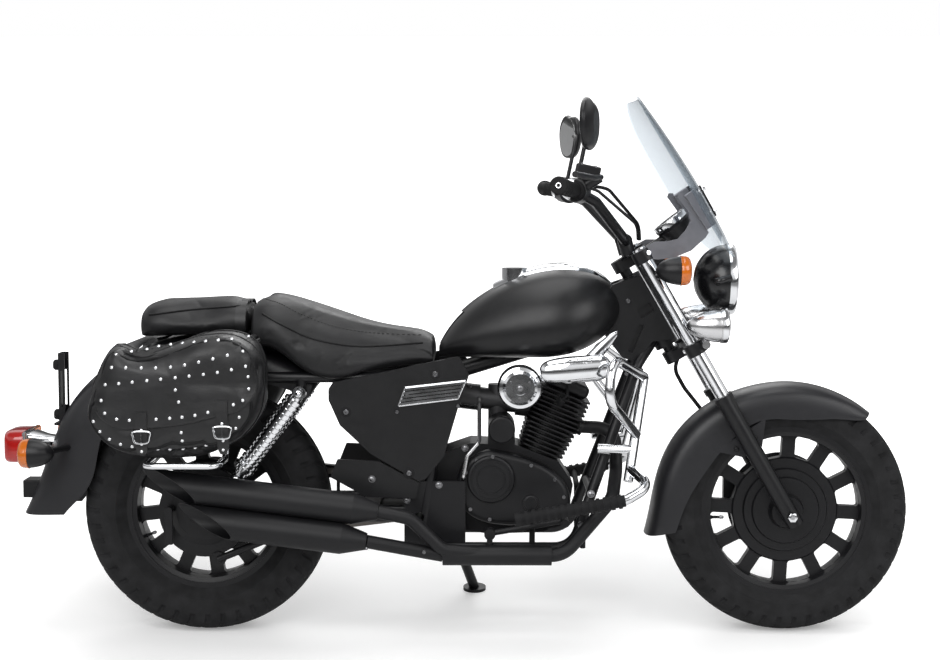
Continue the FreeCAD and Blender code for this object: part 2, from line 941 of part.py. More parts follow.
def frame():
    """Double cradle frame: head tube, backbone, down tubes, cradle, rails and pivot plates."""
    head_bore = size.stem_radius + size.running_fit
    head = Part.makeCylinder(size.head_tube_radius, size.head_length, head_low, fork_up)
    backbone_front = head_low + fork_up * size.head_length * BACKBONE_SHARE
    backbone_end = Vector(size.backbone_rear, 0, size.seat_rail_height)
    backbone_middle = Vector(between(backbone_front, backbone_end, BACKBONE_BEND_SHARE).x, 0, size.backbone_height)
    pieces = [tube([backbone_front, backbone_middle, backbone_end], size.backbone_radius, size.cradle_bend)]
    for side in SIDES:
        head_joint = head_low + fork_up * size.downtube_drop
        shoulder, knee = down_tube_ends(side)
        heel = Vector(pivot.x, side * size.cradle_line, size.cradle_height)
        top = Vector(size.seat_rail_front, side * size.seat_rail_line, size.seat_rail_height)
        pieces.append(tube([head_joint, shoulder, knee, heel, top], size.frame_tube_radius, size.cradle_bend))
        rail_end = Vector(size.seat_rail_rear, side * size.seat_rail_line, size.seat_rail_height)
        pieces.append(rod(size.rail_radius, top, rail_end))
        plate_centre = Vector(pivot.x + size.pivot_plate_width / 2, side * size.cradle_line, pivot.z)
        plate_height = (size.sprocket_height - size.cradle_height) * 2
        pieces.append(block(size.pivot_plate_width * 2, size.pivot_plate_thickness, plate_height, plate_centre))
        shock_boss = Vector(size.shock_top_x, side * size.seat_rail_line, size.seat_rail_height)
        shock_seat = Vector(size.shock_top_x, side * size.seat_rail_line, size.shock_top_height)
        stud_end = Vector(size.shock_top_x, side * (size.shock_line + size.shock_eye_width), size.shock_top_height)
        pieces.append(rod(size.rail_radius, shock_boss, shock_seat))
        pieces.append(rod(size.shock_eye_radius / 2, shock_seat, stud_end))
    cross_radius = size.rail_radius * CROSS_SHARE
    cross_top = across(size.seat_rail_front - size.rail_radius, size.seat_rail_height, -size.seat_rail_line,
                       size.seat_rail_line, cross_radius)
    cross_low = across(pivot.x + size.pivot_plate_width / 2, size.cradle_height, -size.cradle_line,
                       size.cradle_line, cross_radius)
    cross_rear = across(size.rail_cross_x, size.seat_rail_height, -size.seat_rail_line, size.seat_rail_line,
                        cross_radius)
    pieces += [cross_top, cross_low, cross_rear]
    stand_boss_out = size.stand_pivot_line + size.stand_boss_width / 2
    stand_lug = across(size.stand_pivot_x, size.stand_pivot_height, size.cradle_line,
                       size.stand_pivot_line - size.stand_boss_width / 2 - size.seat_gap, size.stand_boss_radius)
    stand_pin = across(size.stand_pivot_x, size.stand_pivot_height, size.cradle_line, stand_boss_out,
                       size.stand_pin_radius)
    pieces += [stand_lug, stand_pin]
    low_bolt = between(down_tube_ends(LEFT)[1], down_tube_ends(LEFT)[0], ENGINE_BOLT_SHARE)
    pieces.append(across(low_bolt.x, low_bolt.z, -low_bolt.y, low_bolt.y, cross_radius))
    shape = head.fuse(pieces)
    bore = Part.makeCylinder(head_bore, size.head_length + size.overrun * 2,
                             head_low - fork_up * size.overrun, fork_up)
    pin_hole = across(pivot.x, pivot.z, -size.cradle_line * 2, size.cradle_line * 2,
                      size.pivot_tube_radius / 2)
    return feature_node("frame", [shape.cut([bore, pin_hole])])


BACKBONE_SHARE = 0.4
BACKBONE_BEND_SHARE = 0.22


def swingarm():
    """Swingarm with its axle ends, the rear axle and the pivot bolt."""
    arm_y = size.swingarm_line
    height = size.swingarm_tube_height
    width = size.swingarm_tube_width
    bridge_x = pivot.x - size.swingarm_bridge
    reach = pivot.x - size.pivot_tube_radius
    end_half = size.swingarm_end_length / 2
    clear = size.cradle_line - size.frame_tube_radius * BARREL_INSET_SHARE
    pieces = []
    for side in SIDES:
        middle = Vector((reach - end_half) / 2, side * arm_y, rear_axle.z)
        pieces.append(block(reach + end_half, width, height, middle, height * ARM_ROUND_SHARE))
    pieces.append(block(height, arm_y * 2, height, Vector(bridge_x, 0, rear_axle.z)))
    arms = joined(pieces)
    barrel = across(pivot.x, pivot.z, -clear, clear, size.pivot_tube_radius)
    web = block(size.swingarm_bridge, arm_y * 2, height * ARM_ROUND_SHARE * 2,
                Vector(pivot.x - size.swingarm_bridge / 2, 0, pivot.z))
    arms = arms.fuse([barrel, web])
    arms = arms.cut([across(0, rear_axle.z, -arm_y * 2, arm_y * 2, size.rear_axle_diameter / 2),
                     across(pivot.x, pivot.z, -arm_y * 2, arm_y * 2, size.pivot_tube_radius / 2)])
    outer = arm_y + width / 2
    axle = across(0, rear_axle.z, -outer - size.axle_nut_radius, outer + size.axle_nut_radius,
                  size.rear_axle_diameter / 2)
    nuts = []
    for side in SIDES:
        start = side * outer
        end = side * (outer + size.axle_nut_radius)
        nuts.append(across(0, rear_axle.z, start, end, size.axle_nut_radius))
    return feature_node("swingarm", [arms.fuse(chain_guard()), joined([axle] + nuts)])


def chain_guard():
    """Guard over the chain's upper run, on a stay from the left arm."""
    wire, points = belt_outline(pitch_radius(size.rear_teeth), pitch_radius(size.front_teeth), size.chain_line)
    rear, front = points["top"]
    start = between(rear, front, GUARD_SPAN_SHARES[0])
    end = between(rear, front, GUARD_SPAN_SHARES[1])
    above = Vector(0, 0, size.chain_plate_height / 2 + size.running_gap)
    below = Vector(0, 0, size.chain_plate_height - size.chain_guard_height)
    wall = size.chain_guard_thickness
    outside = size.chain_line + size.chain_half_width + size.seat_gap * 4
    side_points = [point + Vector(0, outside - size.chain_line, 0)
                   for point in (start + above, end + above, end + below, start + below)]
    skirt = plate(side_points, wall)
    top_points = [start + above, end + above, end + above + Vector(0, 0, wall), start + above + Vector(0, 0, wall)]
    top = plate([point + Vector(0, -size.chain_half_width, 0) for point in top_points],
                outside + wall - size.chain_line + size.chain_half_width)
    middle = between(start, end, 0.6)
    post_y = outside + wall / 2
    post = rod(wall * 1.5, Vector(middle.x, post_y + wall, rear_axle.z), Vector(middle.x, post_y + wall, middle.z))
    return joined([skirt, top, post])


GUARD_SPAN_SHARES = (0.2, 0.72)
ARM_ROUND_SHARE = 0.2
BARREL_INSET_SHARE = 1.3


def shock(side):
    """One shock absorber: eyes, body, rod and a spring drawn as its coils' outline."""
    top = Vector(size.shock_top_x, side * size.shock_line, size.shock_top_height)
    low = Vector(size.shock_low_x, side * size.shock_line, size.shock_low_height)
    along = low - top
    length = along.Length
    eye = size.shock_eye_radius
    half_width = size.shock_eye_width / 2
    spring_start = eye * SPRING_START_SHARE
    spring_length = length - spring_start * 2
    coils = int(spring_length / size.shock_spring_pitch)
    pitch = spring_length / coils
    profile = [(eye / 2, 0), (eye / 2, size.shock_body_radius), (spring_start, size.shock_body_radius)]
    profile.append((spring_start, size.shock_spring_radius))
    for index in range(coils):
        base = spring_start + pitch * index
        profile.append((base + pitch * COIL_SHARE, size.shock_spring_radius))
        profile.append((base + pitch * COIL_SHARE, size.shock_spring_radius - size.shock_wire))
        profile.append((base + pitch, size.shock_spring_radius - size.shock_wire))
        profile.append((base + pitch, size.shock_spring_radius))
    profile[-1] = (spring_start + spring_length, size.shock_body_radius)
    profile[-2] = (spring_start + spring_length, size.shock_spring_radius - size.shock_wire)
    profile += [(length - eye / 2, size.shock_body_radius), (length - eye / 2, 0)]
    body = turned(profile, top, along)
    eyes = []
    for centre in (top, low):
        eyes.append(across(centre.x, centre.z, centre.y - half_width, centre.y + half_width, eye))
    solid = body.fuse(eyes)
    holes = []
    for centre in (top, low):
        holes.append(across(centre.x, centre.z, centre.y - size.shock_eye_width, centre.y + size.shock_eye_width,
                            eye / 2 + size.running_fit))
    return solid.cut(holes)


SPRING_START_SHARE = 1.3
COIL_SHARE = 0.55


def shocks():
    """Both shocks with the lower studs that carry them on the swingarm."""
    shapes = []
    for side in SIDES:
        shapes.append(shock(side))
        inner = side * (size.swingarm_line + size.swingarm_tube_width / 2)
        outer = side * (size.shock_line + size.shock_eye_width)
        lug_top = Vector(size.shock_low_x, inner - side * size.swingarm_tube_width / 2, size.shock_low_height)
        lug_foot = Vector(size.shock_low_x, lug_top.y, rear_axle.z + size.swingarm_tube_height / 2)
        stud = rod(size.shock_eye_radius / 2, lug_top, Vector(size.shock_low_x, outer, size.shock_low_height))
        shapes.append(stud.fuse(rod(size.shock_eye_radius * STUD_SHARE, lug_foot, lug_top)))
    return feature_node("shocks", shapes)


STUD_SHARE = 0.6


# Engine

CASE_SHARES = [(0.04, 0.30), (0.12, 0.08), (0.42, 0.0), (0.80, 0.02), (0.96, 0.16), (1.0, 0.50),
               (0.90, 0.72), (0.62, 0.88), (0.30, 0.90), (0.10, 0.80), (0.0, 0.58)]
# Outline of the clutch cover: the round of the clutch behind, drawn out low ahead of it
COVER_SHARES = [(0.45, 0.85), (0.71, 0.76), (0.88, 0.62), (0.97, 0.43), (0.97, 0.28), (0.86, 0.14),
                (0.64, 0.11), (0.41, 0.14), (0.27, 0.25), (0.21, 0.43), (0.23, 0.66), (0.32, 0.80)]


def engine_cases():
    """Crankcases with the clutch cover, generator cover, starter and front sprocket."""
    half = size.engine_half_width
    case = plate(side_outline(CASE_SHARES, size.engine_rear, size.engine_floor, size.engine_length,
                              size.engine_height, -half), half * 2, size.engine_cover_round)
    cover_points = side_outline(COVER_SHARES, size.engine_rear, size.engine_floor, size.engine_length,
                                size.engine_height, -half - size.engine_cover_depth)
    rim = Part.Face(Part.Wire(smooth(cover_points, closed=True)))
    cover = rim.extrude(Vector(0, size.engine_cover_depth + size.overrun, 0))
    outer_face = min(cover.Faces, key=lambda face: face.CenterOfMass.y)
    cover = cover.makeFillet(size.engine_cover_round, outer_face.Edges)
    clutch_out = half + size.engine_cover_depth + size.clutch_depth
    clutch = across(size.clutch_x, size.clutch_height, -clutch_out, 0, size.clutch_radius)
    rim_edge = [edge for edge in clutch.Edges if abs(edge.CenterOfMass.y + clutch_out) < size.seat_gap]
    clutch = clutch.makeFillet(size.clutch_depth * EDGE_SHARE, rim_edge)
    generator_out = half + size.generator_depth
    generator = across(size.crank_x, size.crank_height, 0, generator_out, size.generator_radius)
    rim_edge = [edge for edge in generator.Edges if abs(edge.CenterOfMass.y - generator_out) < size.seat_gap]
    generator = generator.makeFillet(size.engine_cover_round, rim_edge)
    starter = across(size.starter_x, size.starter_height, -half - size.starter_length / 2, 0, size.starter_radius)
    rim_edge = [edge for edge in starter.Edges if edge.CenterOfMass.y < -half]
    starter = starter.makeFillet(size.clutch_depth * EDGE_SHARE, rim_edge)
    seat_block = block(size.starter_radius * 2, half, size.starter_height - size.engine_floor - size.engine_height / 2,
                       Vector(size.starter_x, -half / 2, (size.starter_height + size.engine_floor
                                                          + size.engine_height / 2) / 2))
    shaft = across(size.sprocket_x, size.sprocket_height, 0, size.chain_line + size.sprocket_thickness,
                   size.header_radius)
    small = sprocket(size.front_teeth, Vector(size.sprocket_x, 0, size.sprocket_height), 0, size.chain_line)
    pieces = [case, cover, clutch, generator, starter, seat_block, shaft, small]
    return feature_node("engine_cases", [joined(pieces)])


EDGE_SHARE = 0.6


def cylinder_place():
    """The place of the cylinder: its Z axis runs up the bore."""
    base = Vector(size.cylinder_x, 0, size.cylinder_height)
    return Placement(base, Rotation(AXIS_Y, size.cylinder_tilt))


def engine_cylinder():
    """Finned barrel and head in one body, the fins longer towards the head."""
    pitch = size.fin_pitch
    stack = pitch * size.fin_count
    barrel = Part.makeCylinder(size.barrel_radius, stack + size.head_cover_height, Vector(0, 0, -pitch))
    core = [barrel]
    count = int(size.fin_count)
    for index in range(count):
        grown = min(index / (count * HEAD_SHARE), 1)
        length = size.fin_low_length + (size.fin_length - size.fin_low_length) * grown
        fin = block(length, size.fin_width, size.fin_thickness, Vector(0, 0, pitch * (index + 1)))
        upright = [edge for edge in fin.Edges if edge.Vertexes[0].Z != edge.Vertexes[1].Z]
        core.append(fin.makeFillet(size.fin_round, upright))
    cover_base = stack + size.fin_thickness
    cover = block(size.head_cover_length, size.head_cover_width, size.head_cover_height,
                  Vector(0, 0, cover_base + size.head_cover_height / 2), size.head_cover_round)
    core.append(cover)
    port = rod(size.header_radius + size.fin_thickness, Vector(0, 0, stack * PORT_SHARE),
               Vector(size.fin_length / 2 + size.fin_pitch, 0, stack * PORT_SHARE))
    core.append(port)
    shape = joined(core)
    shape.Placement = cylinder_place()
    return feature_node("engine_cylinder", [shape.cut(cases_solid())])


HEAD_SHARE = 0.62


def cases_solid():
    """The finished crankcases, to fit other pieces to."""
    return next(item.Shape for item, place in nodes if item.Label == "engine_cases")


def node_shape(label):
    """The upright shape of a sub-part that is already made."""
    for item, place in nodes:
        if item.Label == label:
            shape = item.Shape.copy()
            shape.Placement = place.multiply(shape.Placement)
            return shape
    raise ValueError(label)


def carburettor():
    """Carburettor body, bowl, inlet boot, the pipe to the air box and the crankcase breather."""
    head = cylinder_place().multVec(Vector(-size.fin_length / 2, 0, size.fin_pitch * size.fin_count * HEAD_SHARE))
    flow = unit(Vector(-1, 0, BOOT_RISE_SHARE))
    throat = head + flow * size.boot_radius
    tail = throat + flow * size.carburettor_length
    body = rod(size.carburettor_radius, throat, tail)
    boot = rod(size.boot_radius, tail, tail + flow * size.carburettor_length * BOOT_SHARE)
    inlet = rod(size.boot_radius, head - flow * size.barrel_radius / 2, throat)
    middle = between(throat, tail, 1 / 2)
    bowl = rod(size.bowl_radius, middle, middle - Vector(0, 0, size.bowl_height + size.carburettor_radius))
    slide = rod(size.bowl_radius, middle, middle + Vector(0, 0, size.bowl_height))
    out = Vector(0, -size.breather_line, 0)
    edge = Vector(size.engine_rear + size.engine_length * BREATHER_SHARES[0], 0, size.clutch_height)
    turn = Vector(size.clutch_x - size.clutch_radius, 0, size.clutch_height + size.clutch_radius)
    drop = Vector(tail.x, 0, turn.z + size.clutch_radius * BREATHER_SHARES[1])
    points = [tail + out / 4, Vector(tail.x, 0, tail.z) + out, drop + out, turn + out,
              edge + out, edge + out * BREATHER_SHARES[2]]
    breather = tube(points, size.breather_radius, size.breather_radius * 3)
    shape = joined([body, boot, inlet, bowl, slide, breather])
    return feature_node("carburettor", [biggest(shape.cut([node_shape("engine_cylinder"), cases_solid()]))])


BOOT_RISE_SHARE = 0.12
BOOT_SHARE = 0.8
# Where the breather enters the cover along the engine, how far above its turn it drops, and how far in it ends
BREATHER_SHARES = (0.25, 0.6, 0.8)


def engine_covers():
    """Round chrome cover on its stub, and the long chrome cover with its skirt beside the head."""
    out = -size.intake_out
    depth = size.intake_depth
    step = depth * COVER_STEP_SHARE
    profile = [(-step, 0), (-step, size.intake_recess_radius), (-step / 2, size.intake_recess_radius),
               (-step / 2, size.intake_step_radius), (-step, size.intake_step_radius + step / 2),
               (-step, size.intake_radius - step), (-step * 5 / 4, size.intake_radius - step / 3),
               (-step * 2, size.intake_radius), (-depth, size.intake_radius), (-depth, 0)]
    face = Vector(size.intake_x, out, size.intake_height)
    round_cover = turned(profile, face, -AXIS_Y)
    carrier = rod(size.intake_recess_radius * CARRIER_SHARE, Vector(face.x, out + depth * CARRIER_SHARE, face.z),
                  cylinder_place().Base + Vector(0, 0, size.fin_pitch * size.fin_count * HEAD_SHARE))
    sections = []
    for along, scale in HORN_SHARES:
        centre = Vector(size.horn_x + size.horn_length * along, -size.horn_line,
                        size.horn_height + size.horn_rise * along)
        sections.append(oval(centre, size.horn_radius * HORN_FLAT_SHARE * scale, size.horn_radius * scale))
    horn = loft(sections)
    foot = Vector(size.horn_x + size.horn_length * HORN_FOOT_SHARE, -size.horn_line, size.horn_height)
    arm = rod(size.intake_recess_radius, foot, Vector(foot.x, 0, foot.z))
    skirt_sections = []
    for along, scale in SKIRT_SHARES:
        centre = foot + Vector(size.skirt_reach * along, size.skirt_thickness / 2, size.skirt_reach * along)
        skirt_sections.append(oval(centre, size.skirt_thickness / 2 * scale, size.skirt_depth / 2 * scale))
    skirt = loft(skirt_sections)
    others = [node_shape("engine_cylinder"), node_shape("carburettor"), cases_solid()]
    first = biggest(joined([round_cover, carrier]).cut(others))
    second = biggest(joined([horn, arm, skirt]).cut(others))
    return feature_node("engine_covers", [first, second])


def oval(centre, half_width, half_height):
    """A closed smooth oval across the machine's length."""
    points = []
    for index in range(OVAL_POINTS):
        angle = math.tau * index / OVAL_POINTS
        points.append(centre + Vector(0, half_width * math.cos(angle), half_height * math.sin(angle)))
    return Part.Wire(smooth(points, closed=True))


COVER_STEP_SHARE = 0.3
CARRIER_SHARE = 0.9
OVAL_POINTS = 8
HORN_SHARES = [(0.0, 0.25), (0.04, 0.62), (0.14, 0.86), (0.4, 1.0), (0.75, 0.98), (0.92, 0.82), (1.0, 0.4)]
HORN_FLAT_SHARE = 0.72
HORN_FOOT_SHARE = 0.55
SKIRT_SHARES = [(0.0, 0.9), (0.4, 1.0), (0.75, 0.8), (1.0, 0.3)]


# Exhaust

def muffler(tip_x, tip_height, line, length):
    """A muffler with a hollow end slashed to face outward and back, and a tapered front."""
    rise = math.radians(size.muffler_rise)
    tip = Vector(tip_x, -line, tip_height)
    forward = Vector(math.cos(rise), 0, -math.sin(rise))
    radius = size.muffler_radius
    past = radius * (sum(SLASH_SHARES) - 1)
    profile = [(-past, 0), (-past, radius), (length - size.muffler_taper, radius),
               (length, size.muffler_neck), (length, 0)]
    body = turned(profile, tip, forward)
    bore = rod(radius - size.muffler_wall, tip - forward * (past + size.overrun),
               tip + forward * size.muffler_outlet_depth)
    pipe = rod(size.muffler_bore / 2, tip + forward * (size.muffler_outlet_depth - size.muffler_neck * 2),
               tip + forward * size.muffler_outlet_depth)
    reach = past * 4
    cutter = block(reach, reach, reach, Vector(0, 0, reach / 2))
    cutter.Placement = aligned(tip, -Vector(*SLASH_SHARES))
    return body.cut(bore).fuse(pipe).cut(cutter), tip + forward * length


# Direction square to the slash cut: forward, inward and up
SLASH_SHARES = (1.0, 1.12, 1.1)


def mufflers():
    """Both mufflers on the right side."""
    upper, upper_end = muffler(size.upper_muffler_tip_x, size.upper_muffler_tip_height, size.upper_muffler_line,
                               size.upper_muffler_length)
    lower, lower_end = muffler(size.lower_muffler_tip_x, size.lower_muffler_tip_height, size.lower_muffler_line,
                               size.lower_muffler_length)
    feature_node("mufflers", [upper, lower])
    return upper_end, lower_end


def exhaust_headers(upper_end, lower_end):
    """Header pipe from the head round to the sleeve, and the pipes on to both mufflers."""
    port = cylinder_place().multVec(Vector(size.fin_length / 2, 0, size.fin_pitch * size.fin_count * PORT_SHARE))
    front = Vector(size.header_front, port.y, size.header_top)
    drop = Vector(size.header_front, port.y - size.header_radius * 3, size.header_top - size.header_radius * 6)
    knee = Vector(size.header_front - size.header_radius, -size.cradle_line - size.header_radius,
                  size.header_knee_height)
    sleeve_front = Vector(size.cradle_front - size.sleeve_radius, -size.header_line, size.header_low_height)
    sleeve_rear = Vector(lower_end.x + size.muffler_taper * 3, -size.header_line, size.header_low_height)
    header = tube([port, front, drop, knee, sleeve_front, sleeve_rear], size.header_radius,
                  size.header_radius * 4)
    sleeve = tube([between(sleeve_front, sleeve_rear, SLEEVE_SHARE), sleeve_rear], size.sleeve_radius, size.overrun)
    to_lower = tube([sleeve_rear, lower_end + Vector(size.seat_gap, 0, 0)], size.header_radius, size.overrun)
    bend = between(sleeve_rear, upper_end, HEADER_OUT_SHARE)
    to_upper = tube([between(sleeve_front, sleeve_rear, 1 / 2),
                     Vector(sleeve_rear.x, upper_end.y, sleeve_rear.z + size.header_radius),
                     Vector(bend.x, upper_end.y, upper_end.z - size.header_radius), upper_end],
                    size.header_radius, size.header_radius * 3)
    shape = joined([header, sleeve, to_lower, to_upper])
    shape = shape.cut([node_shape("mufflers"), node_shape("engine_cylinder")])
    return feature_node("exhaust_headers", [biggest(shape)])


PORT_SHARE = 0.58
HEADER_OUT_SHARE = 0.5
SLEEVE_SHARE = 0.1


# Fuel tank, console, neck cover

TANK_STATIONS = [
    # along, bottom, top, half width, share of height at the widest place
    (0.0, 0.0, 0.16, 0.42, 0.45),
    (0.10, 0.0, 0.46, 0.60, 0.40),
    (0.28, 0.0, 0.74, 0.80, 0.36),
    (0.50, 0.0, 0.94, 0.97, 0.36),
    (0.72, 0.04, 1.0, 1.0, 0.38),
    (0.88, 0.18, 0.92, 0.78, 0.42),
    (1.0, 0.42, 0.70, 0.34, 0.5),
]


def tank_span():
    """The tank's rear X and its length, between the seat's nose and the steering head."""
    front = head_high.x - size.head_tube_radius + size.tank_head_gap
    return size.tank_rear_x, front - size.tank_rear_x


def egg_section(x, half_width, bottom, top, belly_share):
    """A closed smooth section across the machine, flat below and round above."""
    height = top - bottom
    belly = bottom + height * belly_share
    shares = EGG_SHARES
    points = []
    for out, up in shares:
        z = belly + (top - belly) * up if up >= 0 else belly + (belly - bottom) * up
        points.append(Vector(x, out * half_width, z))
    return Part.Wire(smooth(points, closed=True))


EGG_SHARES = [(0.0, 1.0), (0.55, 0.84), (0.9, 0.42), (1.0, 0.0), (0.88, -0.66), (0.5, -0.96), (0.0, -1.0),
              (-0.5, -0.96), (-0.88, -0.66), (-1.0, 0.0), (-0.9, 0.42), (-0.55, 0.84)]


def tank_section(station, grow=0):
    """One section of the tank."""
    along, low, high, width, belly = station
    rear, length = tank_span()
    bottom = size.tank_floor + size.tank_height * low
    top = size.tank_floor + size.tank_height * high
    return egg_section(rear + length * along, size.tank_half_width * width + grow, bottom, top + grow, belly)


def fuel_tank():
    """Teardrop tank with a tunnel over the frame's backbone."""
    rear, length = tank_span()
    body = loft([tank_section(station) for station in TANK_STATIONS])
    tunnel = block(length * 2, size.tunnel_half_width * 2, size.tunnel_height * 2,
                   Vector(rear + length / 2, 0, size.tank_floor))
    return feature_node("fuel_tank", [body.cut(tunnel)])


CONSOLE_SPAN_SHARES = (0.30, 0.96)
CONSOLE_SHARES = [(0.0, 0.45), (0.35, 0.95), (0.7, 1.0), (1.0, 0.55)]


def tank_top(x):
    """Height of the tank's ridge at X, between its stations."""
    rear, length = tank_span()
    along = (x - rear) / length
    stations = TANK_STATIONS
    for before, after in zip(stations, stations[1:]):
        if before[0] <= along <= after[0]:
            share = (along - before[0]) / (after[0] - before[0])
            return size.tank_floor + size.tank_height * (before[2] + (after[2] - before[2]) * share)
    return size.tank_floor + size.tank_height


def console():
    """Chrome console along the tank's ridge, with the filler cap."""
    rear, length = tank_span()
    wires = []
    first, last = CONSOLE_SPAN_SHARES
    for along, width in CONSOLE_SHARES:
        x = rear + length * (first + (last - first) * along)
        top = tank_top(x) + size.console_rise
        wires.append(egg_section(x, size.console_half_width * width, top - size.console_rise * 4, top, 0.5))
    cap_x = rear + length * CAP_SHARE
    cap = Part.makeCylinder(size.cap_radius, size.cap_height + size.console_rise * 3,
                            Vector(cap_x, 0, tank_top(cap_x) - size.console_rise * 2), AXIS_Z)
    shape = loft(wires).fuse(cap).cut(node_shape("fuel_tank"))
    return feature_node("console", [biggest(shape)])


CAP_SHARE = 0.42
NECK_SHARES = [(0.12, 0.89), (0.51, 1.0), (0.72, 0.70), (1.0, 0.28), (0.68, 0.25), (0.58, 0.14), (0.49, 0.0),
               (0.26, 0.07), (0.03, 0.31), (0.0, 0.70)]
# Middles of the recess and of the slot in a neck cover
NECK_RECESS_SHARES = (0.578, 0.602)
NECK_SLOT_SHARES = (0.448, 0.284)


def neck_cover():
    """Black covers on both sides of the steering head, each with a recess and a slot."""
    inner = size.head_tube_radius + size.seat_gap
    outline = (size.neck_x, size.neck_floor, size.neck_length, size.neck_height)
    cover = plate(side_outline(NECK_SHARES, *outline, inner), size.neck_half_width - inner, size.neck_thickness / 2)
    recess_centre, slot_centre = side_outline([NECK_RECESS_SHARES, NECK_SLOT_SHARES], *outline, size.neck_half_width)
    recess = block(size.neck_recess_length, size.neck_recess_depth * 2, size.neck_recess_height, ORIGIN)
    recess.Placement = Placement(recess_centre, Rotation(AXIS_Y, -size.recess_tilt))
    slot = block(size.neck_slot_width, size.neck_recess_depth * 2, size.neck_slot_length, ORIGIN)
    slot.Placement = Placement(slot_centre, Rotation(AXIS_Y, size.slot_tilt))
    shape = cover.cut([recess, slot, node_shape("frame")])
    covers = [biggest(half.cut(node_shape("fuel_tank"))) for half in both_sides(biggest(shape))]
    return feature_node("neck_cover", covers)


# Seat, pad, fender and rear lamps

SEAT_STATIONS = [
    # along from the rear, top, bottom, half width
    (0.0, 1.0, 0.35, 0.86),
    (0.12, 1.0, 0.42, 0.98),
    (0.30, 0.78, -0.20, 1.0),
    (0.48, 0.50, -0.40, 0.96),
    (0.70, 0.20, -0.20, 0.76),
    (0.90, 0.06, -0.04, 0.60),
    (1.0, -0.04, 0.0, 0.56),
]


def cushion_section(x, half_width, bottom, top):
    """A closed section of a cushion, flat below with a crowned top."""
    height = top - bottom
    points = [Vector(x, out * half_width, bottom + up * height) for out, up in CUSHION_SHARES]
    return Part.Wire(smooth(points, closed=True))


CUSHION_SHARES = [(0.0, 1.0), (0.5, 0.96), (0.86, 0.78), (1.0, 0.42), (0.94, 0.1), (0.6, 0.0), (0.0, 0.0),
                  (-0.6, 0.0), (-0.94, 0.1), (-1.0, 0.42), (-0.86, 0.78), (-0.5, 0.96)]


def seat():
    """Rider's seat: a stepped saddle that narrows to the tank."""
    front = size.tank_rear_x - size.tank_seat_gap
    length = front - size.seat_rear_x
    low = size.seat_top - size.seat_drop
    wires = []
    for along, top, bottom, width in SEAT_STATIONS:
        x = size.seat_rear_x + length * along
        top_z = low + size.seat_drop * top
        bottom_z = low - size.seat_drop * SEAT_BASE_SHARE + size.seat_drop * bottom
        wires.append(cushion_section(x, size.seat_half_width * width, bottom_z, top_z))
    rails_half = size.seat_rail_line + size.rail_radius + size.seat_gap
    rails_top = size.seat_rail_height + size.rail_radius + size.seat_gap
    channel = block(length * 4, rails_half * 2, size.seat_depth,
                    Vector(front, 0, rails_top - size.seat_depth / 2))
    arch_half = size.rear_fender_half_width + size.seat_gap * 2
    arch = across(rear_axle.x, rear_axle.z, -arch_half, arch_half, fender_crown() + size.seat_gap)
    shape = loft(wires).cut([channel, arch, node_shape("fuel_tank")])
    return feature_node("seat", [biggest(shape)])


def fender_crown():
    """Largest radius of the rear fender's top."""
    flare_shares = [station[1] for station in REAR_FENDER_STATIONS[:-1]]
    return size.rear_fender_radius + size.rear_fender_flare * max(flare_shares)


SEAT_BASE_SHARE = 0.78
PAD_STATIONS = [(0.0, 0.78, 0.80), (0.05, 0.94, 0.95), (0.5, 1.0, 1.0), (0.94, 0.98, 1.0), (1.0, 0.88, 0.97)]


def pillion_pad():
    """Pillion pad behind the seat, tilted a little up to it."""
    front = size.seat_rear_x - size.seat_gap - size.running_gap
    rear = front - size.pad_length
    bottom = rear_axle.z + fender_crown() + size.seat_gap * 3
    wires = []
    for along, height, width in PAD_STATIONS:
        x = rear + size.pad_length * along
        wires.append(cushion_section(x, size.pad_half_width * width, bottom, bottom + size.pad_height * height))
    pad = loft(wires)
    pad.rotate(Vector(rear_axle.x, 0, bottom), AXIS_Y, -size.pad_tilt)
    return feature_node("pillion_pad", [pad])


def fender_section(centre, angle, radius, half_width, drop):
    """A thin arch across the wheel at an angle round its axle."""
    wall = size.sheet_metal
    outward = Vector(math.cos(angle), 0, math.sin(angle))

    def edge(reach, half, depth):
        points = []
        for out, down in ARCH_SHARES:
            points.append(centre + outward * (reach - depth * down) + Vector(0, out * half, 0))
        return smooth(points)

    outer = edge(radius, half_width, drop)
    inner = edge(radius - wall, half_width - wall, drop - wall)
    first = Part.LineSegment(outer.lastVertex().Point, inner.lastVertex().Point).toShape()
    last = Part.LineSegment(inner.firstVertex().Point, outer.firstVertex().Point).toShape()
    return Part.Wire([outer, first, inner, last])


ARCH_SHARES = [(-1.0, 1.0), (-0.99, 0.55), (-0.86, 0.22), (-0.5, 0.05), (0.0, 0.0), (0.5, 0.05), (0.86, 0.22),
               (0.99, 0.55), (1.0, 1.0)]
FRONT_FENDER_STATIONS = [
    # degrees round the axle, radius share of the flare, half width share, drop share
    (51, 0.0, 0.86, 0.22),
    (60, 0.0, 0.97, 0.51),
    (75, 0.0, 1.0, 0.79),
    (90, 0.0, 1.0, 0.87),
    (105, 0.0, 1.0, 0.80),
    (130, 0.2, 1.0, 0.96),
    (150, 0.30, 1.0, 1.02),
    (168, 0.28, 1.0, 0.86),
    (180, 0.45, 1.0, 0.74),
    (190, 1.0, 1.0, 0.72),
]
REAR_FENDER_STATIONS = [
    (48, -0.4, 0.92, 0.7),
    (70, 0.0, 1.0, 0.8),
    (95, 0.15, 1.0, 1.0),
    (120, 0.1, 1.0, 1.05),
    (145, -0.1, 1.0, 1.2),
    (160, -0.35, 1.0, 1.34),
    (172, 0.0, 1.0, 1.28),
    (181, 0.95, 1.0, 1.12),
]
# Degrees round the axle and share of the fender's radius, of the lug that bolts it to the fork leg
FENDER_LUG_SHARES = [(104, 0.76), (112, 0.56), (129, 0.56), (140, 0.75)]


